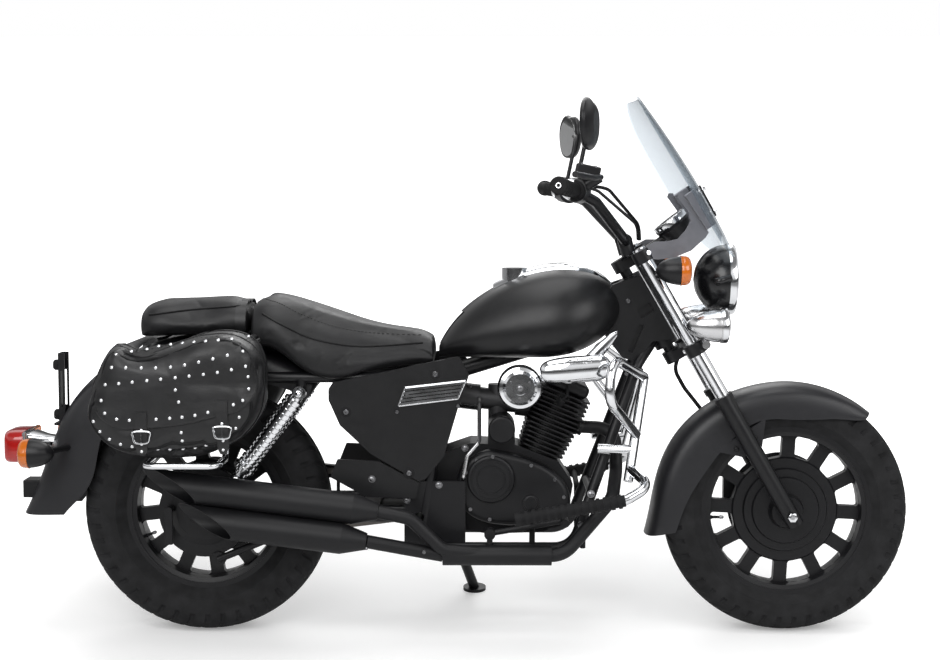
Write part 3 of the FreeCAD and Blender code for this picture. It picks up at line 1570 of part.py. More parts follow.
def fender(centre, stations, radius, flare, half_width, drop):
    """A fender lofted through arches round the wheel."""
    wires = []
    for degrees, flare_share, width_share, drop_share in stations:
        reach = radius + flare * flare_share
        wires.append(fender_section(centre, math.radians(degrees), reach, half_width * width_share,
                                    drop * drop_share))
    return loft(wires)


def front_fender():
    """Front fender with the lugs that bolt it to the fork legs."""
    shell = fender(front_axle, FRONT_FENDER_STATIONS, size.front_fender_radius, size.front_fender_flare,
                   size.front_fender_half_width, size.front_fender_drop)
    inner = size.fork_line - size.fork_leg_radius - size.seat_gap
    lug_line = size.front_fender_half_width - size.sheet_metal
    lug_points = []
    for degrees, share in FENDER_LUG_SHARES:
        angle = math.radians(degrees)
        reach = size.front_fender_radius * share
        lug_points.append(front_axle + Vector(reach * math.cos(angle), lug_line, reach * math.sin(angle)))
    pieces = both_sides(plate(lug_points, size.sheet_metal))
    for up in FENDER_TAB_SHARES:
        centre = on_fork(0, 0, size.fork_leg_length * up)
        start = Vector(centre.x, lug_line, centre.z)
        pieces += both_sides(rod(size.fork_leg_radius / 2, start, Vector(centre.x, inner, centre.z)))
    return feature_node("front_fender", [shell.fuse(pieces)])


FENDER_TAB_SHARES = (0.6, 0.8)


def rear_fender():
    """Rear fender with the struts that hang it from the frame's rails."""
    shell = fender(rear_axle, REAR_FENDER_STATIONS, size.rear_fender_radius, size.rear_fender_flare,
                   size.rear_fender_half_width, size.rear_fender_drop)
    bolts = []
    for share in FENDER_BOLT_SHARES:
        x = size.seat_rail_rear + (size.shock_top_x - size.seat_rail_rear) * share
        bolts.append(across(x, size.seat_rail_height, size.rear_fender_half_width - size.sheet_metal * 2,
                            size.seat_rail_line, size.rail_radius / 2))
    shape = shell.fuse(bolts + [flipped(bolt) for bolt in bolts]).cut(node_shape("frame"))
    return feature_node("rear_fender", [biggest(shape)])


FENDER_BOLT_SHARES = (0.15, 0.6)


def tail_lamp():
    """Tail lamp on its chrome stalk, with the reflector below it, behind the fender."""
    centre = Vector(size.tail_lamp_x, 0, size.tail_lamp_z)
    lens = block(size.tail_lamp_depth * LENS_SHARE, size.tail_lamp_width, size.tail_lamp_height,
                 centre - Vector(size.tail_lamp_depth * (1 - LENS_SHARE) / 2, 0, 0), size.tail_lamp_depth / 8)
    shell = block(size.tail_lamp_depth, size.tail_lamp_width - size.sheet_metal * 4,
                  size.tail_lamp_height - size.sheet_metal * 4, centre, size.tail_lamp_depth / 8)
    stalk_length = size.rear_fender_radius + centre.x + size.tail_lamp_depth
    stalk = block(stalk_length, size.lamp_stalk_width, size.lamp_stalk_height,
                  centre + Vector(stalk_length / 2, 0, 0), size.lamp_stalk_height / 4)
    inside = fender_inside()
    solid = joined([lens, shell, stalk]).cut([node_shape("rear_fender"), inside])
    return feature_node("tail_lamp", [biggest(solid)])


LENS_SHARE = 0.6


def fender_inside():
    """The drum of space inside the rear fender's skin."""
    half = size.rear_fender_half_width - size.sheet_metal
    return across(rear_axle.x, rear_axle.z, -half, half, size.rear_fender_radius - size.rear_fender_flare)


def fender_back_x(height):
    """X of the rear fender's back at a height above the floor."""
    rise = height - rear_axle.z
    return rear_axle.x - math.sqrt(size.rear_fender_radius ** 2 - rise ** 2)


def plate_bracket():
    """Slotted channel for the number plate, with the red reflector's block under it."""
    post_height = size.plate_post_top - size.plate_post_foot
    middle = Vector(size.plate_post_x, 0, (size.plate_post_top + size.plate_post_foot) / 2)
    post = block(size.plate_post_depth, size.plate_post_width, post_height, middle)
    hollow = block(size.plate_post_depth, size.plate_post_width - size.plate_post_wall * 2,
                   post_height + size.overrun, middle + Vector(size.plate_post_wall, 0, 0))
    slot = block(size.plate_post_depth / 3, size.plate_post_width * 2, post_height / 2, middle)
    holes = []
    for height in (size.plate_hole_high, size.plate_hole_low):
        start = Vector(size.plate_post_x - size.plate_post_depth, 0, height)
        holes.append(rod(size.plate_hole_radius, start, start + Vector(size.plate_post_depth * 2, 0, 0)))
    channel = post.cut([hollow, slot] + holes)
    foot_x = fender_back_x(size.plate_post_foot) - size.running_gap
    foot = block(size.plate_post_x - foot_x + size.plate_post_depth, size.plate_post_width, size.running_gap,
                 Vector((size.plate_post_x + foot_x + size.plate_post_depth) / 2, 0, size.plate_post_foot))
    bracket = biggest(channel.fuse(foot).cut([node_shape("rear_fender"), fender_inside()]))
    reflector_x = fender_back_x(size.reflector_z)
    reflector = block(size.reflector_depth + size.rear_fender_flare, size.reflector_width, size.reflector_height,
                      Vector(reflector_x - size.reflector_depth / 2, 0, size.reflector_z), size.sheet_metal)
    reflector = biggest(reflector.cut([node_shape("rear_fender"), fender_inside()]))
    return feature_node("plate_bracket", [bracket, reflector])


def indicator(centre, facing, root):
    """An indicator: a bullet shell closed by a domed lens, on a stalk to its root."""
    face = centre + Vector(facing * size.indicator_length / 2, 0, 0)
    body = spun(BULLET_SHARES, size.indicator_length, size.indicator_radius, face, Vector(-facing, 0, 0))
    return body.fuse(rod(size.indicator_stalk_radius, centre, root))


BULLET_SHARES = [(0.0, 0.42), (0.03, 0.66), (0.1, 0.89), (0.25, 1.0), (0.5, 0.95), (0.78, 0.72), (0.94, 0.38),
                 (1.0, 0.14)]


def rear_indicators():
    """Rear indicators on stalks from the fender."""
    centre = Vector(size.rear_indicator_x, -size.rear_indicator_line, size.rear_indicator_height)
    root_x = fender_back_x(size.rear_indicator_height) + size.indicator_radius * 2
    root = Vector(root_x, -size.rear_fender_half_width + size.indicator_stalk_radius, centre.z)
    one = indicator(centre, -1, root).cut([node_shape("rear_fender"), fender_inside()])
    return feature_node("rear_indicators", both_sides(biggest(one)))


# Side covers, grille and lower panels

SIDE_COVER_SHARES = [(0.0, 0.74), (0.03, 0.79), (0.93, 1.0), (1.0, 0.85), (0.92, 0.58), (0.82, 0.20),
                     (0.69, 0.02), (0.64, 0.0), (0.30, 0.22), (0.08, 0.45), (0.0, 0.65)]
COVER_PEG_SHARES = (0.3, 0.75)
GRILLE_SHARES = [(0.50, 0.607), (0.549, 0.752), (0.975, 0.806), (0.92, 0.665)]
PANEL_SHARES = [(0.0, 0.55), (0.08, 1.0), (0.55, 0.95), (1.0, 0.4), (0.96, 0.0), (0.4, 0.05)]


def side_cover_line():
    """Inner face of the side covers, just outside the pivot plates."""
    return size.cradle_line + size.pivot_plate_thickness / 2 + size.seat_gap


def side_covers():
    """Side covers under the seat on both sides, and the lower panels below them."""
    line = side_cover_line()
    points = side_outline(SIDE_COVER_SHARES, size.side_cover_x, size.side_cover_floor, size.side_cover_length,
                          size.side_cover_height, line)
    cover = plate(points, size.side_cover_thickness, size.side_cover_thickness / 2)
    panel_points = side_outline(PANEL_SHARES, size.panel_x, size.panel_floor, size.panel_length, size.panel_height,
                                line)
    panel = plate(panel_points, size.panel_thickness, size.panel_thickness / 2).cut(cover)
    pegs = []
    for share in COVER_PEG_SHARES:
        x = size.side_cover_x + size.side_cover_length * share
        pegs.append(across(x, size.seat_rail_height, size.seat_rail_line, line + size.side_cover_thickness / 2,
                           size.rail_radius / 2))
    cover = cover.fuse(pegs).cut(node_shape("frame"))
    cover = biggest(cover)
    return feature_node("side_covers", both_sides(cover) + both_sides(panel))


def side_grille():
    """Chrome slatted grille on each side cover."""
    outer_face = side_cover_line() + size.side_cover_thickness
    corners = side_outline(GRILLE_SHARES, size.side_cover_x, size.side_cover_floor, size.side_cover_length,
                           size.side_cover_height, outer_face)
    low_left, top_left, top_right, low_right = corners
    slats = []
    count = int(size.grille_slats)
    for index in range(count):
        share = (index + 0.5) / count
        start = between(low_left, top_left, share)
        end = between(low_right, top_right, share)
        half = size.grille_slat_width / 2
        up = Vector(0, 0, half)
        slats.append(plate([start - up, end - up, end + up, start + up], size.grille_depth))
    frame_bars = []
    for start, end in zip(corners, corners[1:] + corners[:1]):
        frame_bars.append(rod(size.grille_frame_width / 2, start + Vector(0, size.grille_depth / 2, 0),
                              end + Vector(0, size.grille_depth / 2, 0)))
    grille = joined(slats + frame_bars)
    cover = node_shape("side_covers")
    grille = biggest(grille.cut(cover))
    return feature_node("side_grille", both_sides(grille))


# Saddlebags

BAG_BACK_SHARES = [(0.19, 0.91), (0.55, 0.955), (0.89, 0.99), (0.98, 0.87), (1.0, 0.67), (0.97, 0.31),
                   (0.82, 0.09), (0.57, 0.02), (0.32, 0.0), (0.14, 0.07), (0.02, 0.30), (0.05, 0.63)]
BAG_LAYERS = [(0.0, 0.95), (0.08, 1.0), (0.7, 0.99), (0.93, 0.94), (1.0, 0.82)]


def saddlebags():
    """Both saddlebags: closed soft solids lofted outward through their outline."""
    wires = []
    for depth, scale in BAG_LAYERS:
        line = -size.bag_inner_line - size.bag_thickness * depth
        points = side_outline(BAG_BACK_SHARES, size.bag_rear_x, size.bag_floor, size.bag_length,
                              size.bag_height, line)
        middle = Vector(size.bag_rear_x + size.bag_length / 2, line, size.bag_floor + size.bag_height / 2)
        wires.append(Part.Wire(smooth([middle + (point - middle) * scale for point in points], closed=True)))
    return feature_node("saddlebags", both_sides(loft(wires)))


def bag_stays():
    """Chrome stays off the rails, each with a tray bar that runs out under its saddlebag."""
    inner = size.bag_inner_line - size.bag_stay_radius - size.seat_gap
    outer = inner + size.bag_thickness * STAY_OUT_SHARE
    low = size.bag_floor - size.bag_stay_radius - size.running_gap
    high = size.seat_rail_height
    rail = size.seat_rail_line + size.rail_radius
    points = []
    for share in STAY_SHARES:
        x = size.bag_rear_x + size.bag_length * share
        leg = [Vector(x, rail, high), Vector(x, inner, high), Vector(x, inner, low), Vector(x, outer, low)]
        points += leg if not points else leg[::-1]
    bar = tube(points, size.bag_stay_radius, size.bag_stay_radius * 3)
    return feature_node("bag_stays", both_sides(biggest(bar.cut([node_shape("frame"), node_shape("rear_fender")]))))


STAY_SHARES = (0.74, 0.34)
STAY_OUT_SHARE = 0.84


# Crash bars, foot bars and levers

def foot_bar_ends():
    """Rear and front ends of a foot rubber's middle line."""
    rear = Vector(size.foot_bar_rear, size.foot_bar_line, size.foot_bar_rear_height)
    front = Vector(size.foot_bar_front, size.foot_bar_line, size.foot_bar_front_height)
    return rear, front


def down_tube_at(height):
    """The middle of the left down tube at a height."""
    shoulder, knee = down_tube_ends(LEFT)
    return between(knee, shoulder, (height - knee.z) / (shoulder.z - knee.z))


def crash_bars():
    """Chrome engine guards: a bowed loop on an upright, and the bar that runs back through the foot rubber."""
    radius = size.crash_bar_radius
    high = Vector(size.crash_top_x, size.downtube_line, size.crash_top_height)
    low = Vector(size.crash_low_x, size.crash_low_line, size.crash_low_height)
    upright = rod(radius, high, low)
    back = Vector(size.crash_return_x, size.crash_return_line, size.crash_return_height)
    loop = tube([high, Vector(size.crash_loop_x, size.crash_loop_line, size.crash_loop_height),
                 Vector(size.crash_bow_x, size.crash_bow_line, size.crash_bow_height), back], radius,
                size.crash_bar_bend)
    rear, front = foot_bar_ends()
    elbow = Vector(size.crash_elbow_x, size.crash_elbow_line, size.crash_elbow_height)
    lower = between(low, high, LOWER_JOINT_SHARE)
    runner = tube([lower, elbow, front, rear - unit(front - rear) * size.seat_gap], radius, size.crash_bar_bend)
    peg_end = Vector(size.crash_peg_x, size.crash_peg_line, size.crash_peg_height)
    peg_root = between(low, high, (size.crash_peg_height - low.z) / (high.z - low.z))
    peg = rod(radius, peg_end, peg_root)
    seat = down_tube_at(size.crash_peg_height)
    clamp = rod(radius, seat, between(peg_end, peg_root, 1 / 2))
    shape = joined([upright, loop, runner, peg, clamp]).cut(node_shape("frame"))
    return feature_node("crash_bars", both_sides(biggest(shape)))


LOWER_JOINT_SHARE = 0.12


def foot_bars():
    """Long ribbed foot rubbers over the guards' lower bars, on brackets from the cradle."""
    rear, front = foot_bar_ends()
    length = (front - rear).Length
    ribs = int(length / size.foot_rib_pitch)
    pitch = length / ribs
    inner = size.crash_bar_radius + size.running_fit
    profile = [(0, inner)]
    for index in range(ribs):
        base = pitch * index
        profile += [(base, size.foot_bar_radius), (base + pitch / 2, size.foot_bar_radius),
                    (base + pitch / 2, size.foot_bar_radius - size.foot_rib_height),
                    (base + pitch, size.foot_bar_radius - size.foot_rib_height)]
    profile.append((length, inner))
    bar = turned(profile, rear, front - rear)
    cap = rod(size.foot_bar_radius, rear, rear - unit(front - rear) * size.foot_rib_height * 2)
    arms = []
    for share in FOOT_ARM_SHARES:
        place = between(rear, front, share)
        root = Vector(place.x, size.cradle_line, size.cradle_height)
        elbow = Vector(place.x, size.cradle_line + size.foot_bar_radius, place.z - size.foot_bar_radius)
        arms.append(tube([root, elbow, place], size.foot_lever_radius, size.foot_bar_radius))
    shape = joined([bar, cap] + arms).cut([node_shape("frame"), node_shape("crash_bars")])
    return feature_node("foot_bars", both_sides(biggest(shape)))


FOOT_ARM_SHARES = (0.15, 0.64)


# Radius and reach of a foot lever's pivot boss, then of its pad, in the lever's radius
LEVER_SHARES = (1.9, 2.3, 1.4, 1.3)


def foot_levers():
    """Brake pedal on the right and gear lever on the left, pivoted off the cradle."""
    root = Vector(size.lever_pivot_x, size.cradle_line, size.cradle_height)
    turn = Vector(size.lever_pivot_x, size.lever_line, size.lever_pivot_height)
    tip = Vector(size.pedal_x, size.lever_line, size.pedal_height)
    arm = tube([root, turn, tip], size.foot_lever_radius, size.foot_lever_radius * 2)
    boss_radius, boss_reach, pad_radius, pad_reach = [size.foot_lever_radius * share for share in LEVER_SHARES]
    pivot_boss = across(turn.x, turn.z, turn.y - boss_reach, turn.y + boss_reach, boss_radius)
    pad = across(tip.x, tip.z, tip.y - pad_reach, tip.y + size.pedal_width, pad_radius)
    shape = joined([arm, pivot_boss, pad]).cut(node_shape("frame"))
    return feature_node("foot_levers", both_sides(biggest(shape)))


# Front fork

def fork_clamps():
    """Upper and lower clamps joined by the steering stem."""
    shapes = []
    reach = size.fork_line
    outer = size.fork_tube_radius + size.clamp_wall
    stem_outer = size.stem_radius + size.clamp_wall
    for height in (size.lower_clamp_height - size.clamp_thickness, size.upper_clamp_height):
        eyes = [Part.makeCylinder(outer, size.clamp_thickness, Vector(0, side * reach, height)) for side in SIDES]
        boss = Part.makeCylinder(stem_outer, size.clamp_thickness, Vector(-size.steering_offset, 0, height))
        web = Part.makeBox(outer * 2 * CLAMP_WEB_SHARE, reach * 2, size.clamp_thickness * CLAMP_WEB_SHARE,
                           Vector(-outer * CLAMP_WEB_SHARE, -reach, height))
        bridge = Part.makeBox(size.steering_offset, stem_outer * 2, size.clamp_thickness * CLAMP_WEB_SHARE,
                              Vector(-size.steering_offset, -stem_outer, height))
        shapes.append(joined(eyes + [boss, web, bridge]))
    low = size.lower_clamp_height - size.clamp_thickness
    stem = Part.makeCylinder(size.stem_radius, size.upper_clamp_height + size.clamp_thickness - low,
                             Vector(-size.steering_offset, 0, low))
    body = joined(shapes + [stem])
    holes = [Part.makeCylinder(size.fork_tube_radius, size.fork_tube_top * 2, Vector(0, side * reach, 0))
             for side in SIDES]
    body = body.cut(holes)
    body.Placement = fork_place
    return feature_node("fork_clamps", [body])


CLAMP_WEB_SHARE = 0.8


def fork_legs():
    """Upper tubes, lower legs with their axle lugs, and the front axle."""
    tubes = []
    legs = []
    for side in SIDES:
        tube_solid = Part.makeCylinder(size.fork_tube_radius, size.fork_tube_top - size.fork_leg_length / 2,
                                       Vector(0, side * size.fork_line, size.fork_leg_length / 2))
        leg = Part.makeCylinder(size.fork_leg_radius, size.fork_leg_length + size.fork_leg_foot,
                                Vector(0, side * size.fork_line, -size.fork_leg_foot))
        lip = Part.makeCylinder(size.fork_leg_radius + size.sheet_metal, size.clamp_thickness / 2,
                                Vector(0, side * size.fork_line, size.fork_leg_length - size.clamp_thickness / 2))
        hole = Part.makeCylinder(size.fork_tube_radius, size.fork_leg_length,
                                 Vector(0, side * size.fork_line, size.fork_leg_length / 2))
        axle_hole = Part.makeCylinder(size.front_axle_diameter / 2, size.fork_leg_radius * 4,
                                      Vector(0, side * size.fork_line - size.fork_leg_radius * 2, 0), AXIS_Y)
        leg = leg.fuse(lip).cut([hole, axle_hole])
        tube_solid.Placement = fork_place
        leg.Placement = fork_place
        tubes.append(tube_solid)
        legs.append(leg)
    outer = size.fork_line + size.fork_leg_radius + size.axle_overhang
    axle = across(front_axle.x, front_axle.z, -outer, outer, size.front_axle_diameter / 2)
    heads = []
    for side in SIDES:
        inner = side * (size.fork_line + size.fork_leg_radius)
        heads.append(across(front_axle.x, front_axle.z, inner, side * (outer + size.axle_overhang),
                            size.axle_nut_radius))
    bore = across(front_axle.x, front_axle.z, -outer * 2, outer * 2, size.axle_bore_radius)
    feature_node("fork_tubes", tubes)
    return feature_node("fork_legs", legs + [joined([axle] + heads).cut(bore)])


# Handlebar and what it carries

def bar_points(side):
    """The handlebar's route on one side, from the clamp outward."""
    base = on_fork(0, 0, size.upper_clamp_height + size.clamp_thickness).z + size.bar_rise
    places = [(size.bar_clamp_x, size.bar_half_straight, base),
              (size.bar_elbow_x, size.bar_elbow_line, base + size.bar_elbow_rise),
              (size.bar_grip_x, size.bar_grip_line, base + size.bar_grip_rise),
              (size.bar_end_x, size.bar_end_line, base + size.bar_end_rise)]
    return [Vector(x, side * line, z) for x, line, z in places]


def handlebar():
    """Handlebar with its two risers on the upper clamp."""
    right = bar_points(RIGHT)[::-1]
    bar = tube(right + bar_points(LEFT), size.handlebar_radius, size.bar_bend)
    thick = size.handlebar_radius * RISER_WIDTH_SHARE
    risers = []
    top = size.upper_clamp_height + size.clamp_thickness
    for side in SIDES:
        foot = on_fork(-size.steering_offset / 2, side * size.bar_half_straight * RISER_SHARE, top)
        head = Vector(size.bar_clamp_x, foot.y, right[-1].z)
        cap = across(head.x, head.z, head.y - thick / 2, head.y + thick / 2, thick)
        risers += [rod(thick, foot, head), cap]
    shape = bar.fuse(risers).cut(node_shape("fork_clamps"))
    return feature_node("handlebar", [biggest(shape)])


RISER_SHARE = 0.62
RISER_WIDTH_SHARE = 1.4


def grip_line(side):
    """Start of the straight under a grip, its outer end and its direction."""
    points = bar_points(side)
    along = unit(points[3] - points[2])
    reach = arc_reach(points[1], points[2], points[3], size.bar_bend)
    return points[2] + along * (reach + size.seat_gap), points[3], along


def grips():
    """Rubber grips over the bar ends."""
    shapes = []
    for side in SIDES:
        start, outer, along = grip_line(side)
        length = (outer - start).Length
        profile = [(0, size.handlebar_radius), (0, size.grip_flange_radius),
                   (size.grip_flange_width, size.grip_flange_radius), (size.grip_flange_width, size.grip_radius),
                   (length + size.overrun / 4, size.grip_radius), (length + size.overrun / 4, 0), (length, 0),
                   (length, size.handlebar_radius)]
        shapes.append(turned(profile, start, along))
    return feature_node("grips", shapes)


def hand_controls():
    """Switch housings, lever perches, levers and the front brake's master cylinder."""
    shapes = []
    bar_hole = node_shape("handlebar")
    for side in SIDES:
        start, outer, along = grip_line(side)
        start = start - along * size.seat_gap
        ahead = unit(fork_out - along * fork_out.dot(along))
        above = unit(AXIS_Z - along * along.z)
        housing = rod(size.housing_radius, start - along * size.housing_length, start)
        perch_root = start - along * size.housing_length / 2
        lever_start = perch_root + ahead * size.lever_reach
        perch = rod(size.housing_radius / 2, perch_root, lever_start)
        lever_knee = lever_start + along * size.lever_length * LEVER_KNEE_SHARE - above * size.lever_radius
        lever_end = lever_start + along * size.lever_length - ahead * size.lever_reach * LEVER_IN_SHARE
        lever = tube([lever_start - along * size.lever_radius * 2, lever_knee, lever_end], size.lever_radius,
                     size.lever_length)
        pieces = [housing, perch, lever]
        if side == RIGHT:
            middle = perch_root + ahead * size.master_length / 2 + above * size.housing_radius
            pieces.append(rod(size.housing_radius / 2, perch_root, middle))
            master = block(size.master_length, size.master_width, size.master_height,
                           ORIGIN, size.master_height / 8)
            master.Placement = Placement(middle, Rotation(AXIS_Y, size.master_tilt))
            pieces.append(master)
        shapes.append(joined(pieces).cut(bar_hole))
    solids = [biggest(shape) for shape in shapes]
    return feature_node("hand_controls", solids)


LEVER_KNEE_SHARE = 0.3
LEVER_IN_SHARE = 0.25


def bar_cables():
    """Throttle and clutch cables from the switch housings down to the head, with their rubber boots."""
    shapes = []
    for side in SIDES:
        start, outer, along = grip_line(side)
        root = start - along * size.housing_length
        points = bar_points(side)
        elbow = points[1] + Vector(size.housing_radius, 0, size.housing_radius)
        mouth = on_fork(size.fork_tube_radius, side * size.bar_half_straight * RISER_SHARE / 2,
                        size.upper_clamp_height + size.clamp_thickness + size.cable_boot_radius * 2)
        low = on_fork(size.fork_tube_radius * 2, mouth.y, size.upper_clamp_height + size.clamp_thickness
                      + size.bar_rise + size.housing_radius)
        first = root + AXIS_Z * size.housing_radius * CABLE_OUT_SHARE
        cable = tube([first, elbow + Vector(0, 0, size.cable_radius), low, mouth], size.cable_radius,
                     size.bar_bend)
        boot = rod(size.cable_boot_radius, first, between(first, elbow, CABLE_BOOT_SHARE))
        cut = cable.fuse(boot).cut([node_shape("hand_controls"), node_shape("handlebar"),
                                    node_shape("fork_clamps"), node_shape("grips")])
        shapes.append(biggest(cut))
    return feature_node("bar_cables", shapes)


CABLE_OUT_SHARE = 0.6
CABLE_BOOT_SHARE = 0.4


def mirrors():
    """Both mirrors, turned a little to the rider, on their stems."""
    shapes = []
    half_width = size.mirror_width / 2
    half_height = size.mirror_height / 2
    for side in SIDES:
        start, outer, along = grip_line(side)
        centre = Vector(size.mirror_x, side * size.mirror_line, size.mirror_centre_height)
        wires = []
        for depth, scale in MIRROR_LAYERS:
            points = []
            for out, up in MIRROR_SHARES:
                points.append(Vector(size.mirror_depth * depth, out * half_width * scale * side,
                                     up * half_height * scale))
            wires.append(Part.Wire(smooth(points, closed=True)))
        shell = loft(wires)
        shell.Placement = Placement(centre, Rotation(AXIS_Z, side * size.mirror_turn))
        root = start - along * size.housing_length / 2
        root = root + Vector(0, 0, size.housing_radius - size.mirror_stem_radius)
        knee = Vector(root.x + size.mirror_depth, root.y, centre.z)
        stem = tube([root, knee, centre + Vector(size.mirror_depth / 2, 0, 0)],
                    size.mirror_stem_radius, size.mirror_depth * 2)
        shape = shell.fuse(stem).cut(node_shape("hand_controls"))
        shapes.append(biggest(shape))
    return feature_node("mirrors", shapes)


MIRROR_LAYERS = [(0.0, 0.94), (0.25, 1.0), (0.7, 0.86), (1.0, 0.5)]
MIRROR_SHARES = [(0.0, 1.0), (0.7, 0.9), (1.0, 0.45), (0.96, -0.3), (0.6, -0.86), (0.0, -1.0), (-0.6, -0.9),
                 (-0.92, -0.4), (-0.98, 0.4), (-0.66, 0.92)]


# Lamps, instrument and screen

def headlamp():
    """Headlamp: a smooth bowl behind its rim and lens, with the ears that hold it to the fork."""
    radius = size.lamp_radius
    depth = size.lamp_depth
    rim = Vector(size.lamp_x, 0, size.lamp_height)
    bowl = spun(BOWL_SHARES, depth, radius, rim, -AXIS_X)
    profile = [(0, 0), (0, radius - size.sheet_metal), (size.lamp_rim_width / 4, radius),
               (size.lamp_rim_width, radius), (size.lamp_rim_width, 0)]
    ring_solid = turned(profile, rim, -AXIS_X)
    lens = spun(LENS_SHARES, size.lamp_lens_bulge * 2, radius - size.sheet_metal * 2,
                rim + Vector(size.lamp_lens_bulge, 0, 0), -AXIS_X)
    ears = []
    anchor = on_fork(0, size.fork_line, size.lower_clamp_height + size.clamp_thickness)
    ear_x = size.lamp_x - depth / 2
    for side in SIDES:
        start = Vector(ear_x, side * radius * EAR_SHARE, rim.z)
        ears.append(tube([start, Vector(ear_x, side * size.fork_line, rim.z), on_side(anchor, side)],
                         size.lamp_ear_radius, size.lamp_ear_radius * 2))
    shape = joined([bowl, ring_solid, lens] + ears).cut([node_shape("fork_clamps"), node_shape("fork_tubes")])
    return feature_node("headlamp", [biggest(shape)])


BOWL_SHARES = [(0.0, 0.0), (0.01, 0.9), (0.12, 0.975), (0.4, 0.93), (0.7, 0.74), (0.92, 0.4), (1.0, 0.0)]
LENS_SHARES = [(0.0, 0.0), (0.12, 0.45), (0.3, 0.78), (0.5, 0.97), (0.8, 0.9), (1.0, 0.0)]
EAR_SHARE = 0.6


def front_lamps():
    """Front indicators on the fork tubes, and the two spot lamps on their bar."""
    centre = on_fork(size.front_indicator_ahead, -size.front_indicator_line, size.front_indicator_up)
    root = on_fork(0, -size.fork_line, size.front_indicator_up)
    shape = indicator(centre, 1, root).cut([node_shape("fork_tubes"), node_shape("fork_clamps"),
                                            node_shape("headlamp")])
    feature_node("front_indicators", both_sides(biggest(shape)))
    radius = size.spot_radius
    length = size.spot_length
    lamps = []
    posts = []
    anchor = on_fork(size.fork_tube_radius + size.clamp_wall, 0, size.lower_clamp_height - size.clamp_thickness / 2)
    for side in SIDES:
        face = Vector(size.spot_x + length / 2, side * size.spot_line, size.spot_height)
        lamps.append(spun(BOWL_SHARES, length, radius * SPOT_BODY_SHARE, face, -AXIS_X))
        lamps.append(rod(radius, face - Vector(size.lamp_rim_width, 0, 0), face))
        lamps.append(spun(LENS_SHARES, size.lamp_lens_bulge * 2, radius - size.sheet_metal,
                          face + Vector(size.lamp_lens_bulge, 0, 0), -AXIS_X))
        posts.append(rod(size.lamp_ear_radius, Vector(size.spot_x, side * size.spot_line, anchor.z),
                         Vector(size.spot_x, side * size.spot_line, size.spot_height)))
    reach = size.spot_line + size.lamp_ear_radius * SPOT_BAR_SHARES[0]
    bar = across(size.spot_x, anchor.z, -reach, reach, size.lamp_ear_radius * SPOT_BAR_SHARES[1])
    arm = rod(size.lamp_ear_radius, Vector(size.spot_x, 0, anchor.z), anchor - fork_out * size.clamp_wall)
    shape = joined(lamps + posts + [bar, arm]).cut(node_shape("fork_clamps"))
    return feature_node("spot_lamps", [biggest(shape)])


SPOT_BODY_SHARE = 0.97
# How far the spot lamps' bar runs past them, and its thickness, in the lamps' arm radius
SPOT_BAR_SHARES = (1.5, 1.1)


def speedometer():
    """Speedometer in its chrome cup above the upper clamp."""
    tilt = math.radians(size.dial_tilt)
    face_way = Vector(-math.cos(tilt), 0, math.sin(tilt))
    centre = Vector(size.dial_x, 0, size.dial_height)
    radius = size.dial_radius
    depth = size.dial_depth
    profile = [(0, 0), (0, radius * 0.86), (size.sheet_metal, radius * 0.9), (size.sheet_metal, radius),
               (-depth * 0.3, radius), (-depth * 0.8, radius * 0.7), (-depth, radius * 0.4), (-depth, 0)]
    cup = turned(profile, centre, face_way)
    foot = on_fork(0, 0, size.upper_clamp_height + size.clamp_thickness / 2)
    stay = rod(size.lamp_ear_radius, centre - face_way * depth / 2, foot)
    shape = cup.fuse(stay).cut([node_shape("fork_clamps"), node_shape("handlebar")])
    return feature_node("speedometer", [biggest(shape)])


SCREEN_ROWS = [
    # share of the height from the foot, share of the width, share of the bulge
    (0.0, 0.62, 0.0),
    (0.18, 0.96, 0.55),
    (0.45, 1.0, 1.0),
    (0.75, 0.92, 0.72),
    (0.93, 0.72, 0.25),
    (1.0, 0.5, 0.0),
]


def screen_row(row, inset):
    """One line of the screen from side to side, bowed back at both edges."""
    up, width, bulge = row
    foot = Vector(size.screen_foot_x, 0, size.screen_foot_height)
    top = Vector(size.screen_top_x, 0, size.screen_top_height)
    along = unit(top - foot)
    ahead = Vector(along.z, 0, -along.x)
    middle = between(foot, top, up) + ahead * size.screen_bulge * bulge - Vector(inset / along.z, 0, 0)
    half = size.screen_half_width * width
    points = []
    for share in SCREEN_ACROSS_SHARES:
        back = size.screen_wrap * width * width * share * share
        points.append(middle + Vector(-back, half * share, 0))
    return smooth(points)


SCREEN_ACROSS_SHARES = (-1.0, -0.66, -0.33, 0.0, 0.33, 0.66, 1.0)


def windscreen():
    """Clear screen, a thin sheet bowed both ways."""
    wires = []
    for row in SCREEN_ROWS:
        outer = screen_row(row, 0)
        inner = screen_row(row, size.screen_thickness)
        first = Part.LineSegment(outer.lastVertex().Point, inner.lastVertex().Point).toShape()
        last = Part.LineSegment(inner.firstVertex().Point, outer.firstVertex().Point).toShape()
        wires.append(Part.Wire([outer, first, inner, last]))
    sheet_solid = loft(wires)
    ahead = Part.makeCylinder(size.lamp_radius + size.overrun, size.lamp_depth * 4,
                              Vector(size.lamp_x - size.lamp_depth * 2, 0, size.lamp_height), AXIS_X)
    shape = sheet_solid.cut(ahead)
    return feature_node("windscreen", [biggest(shape)])


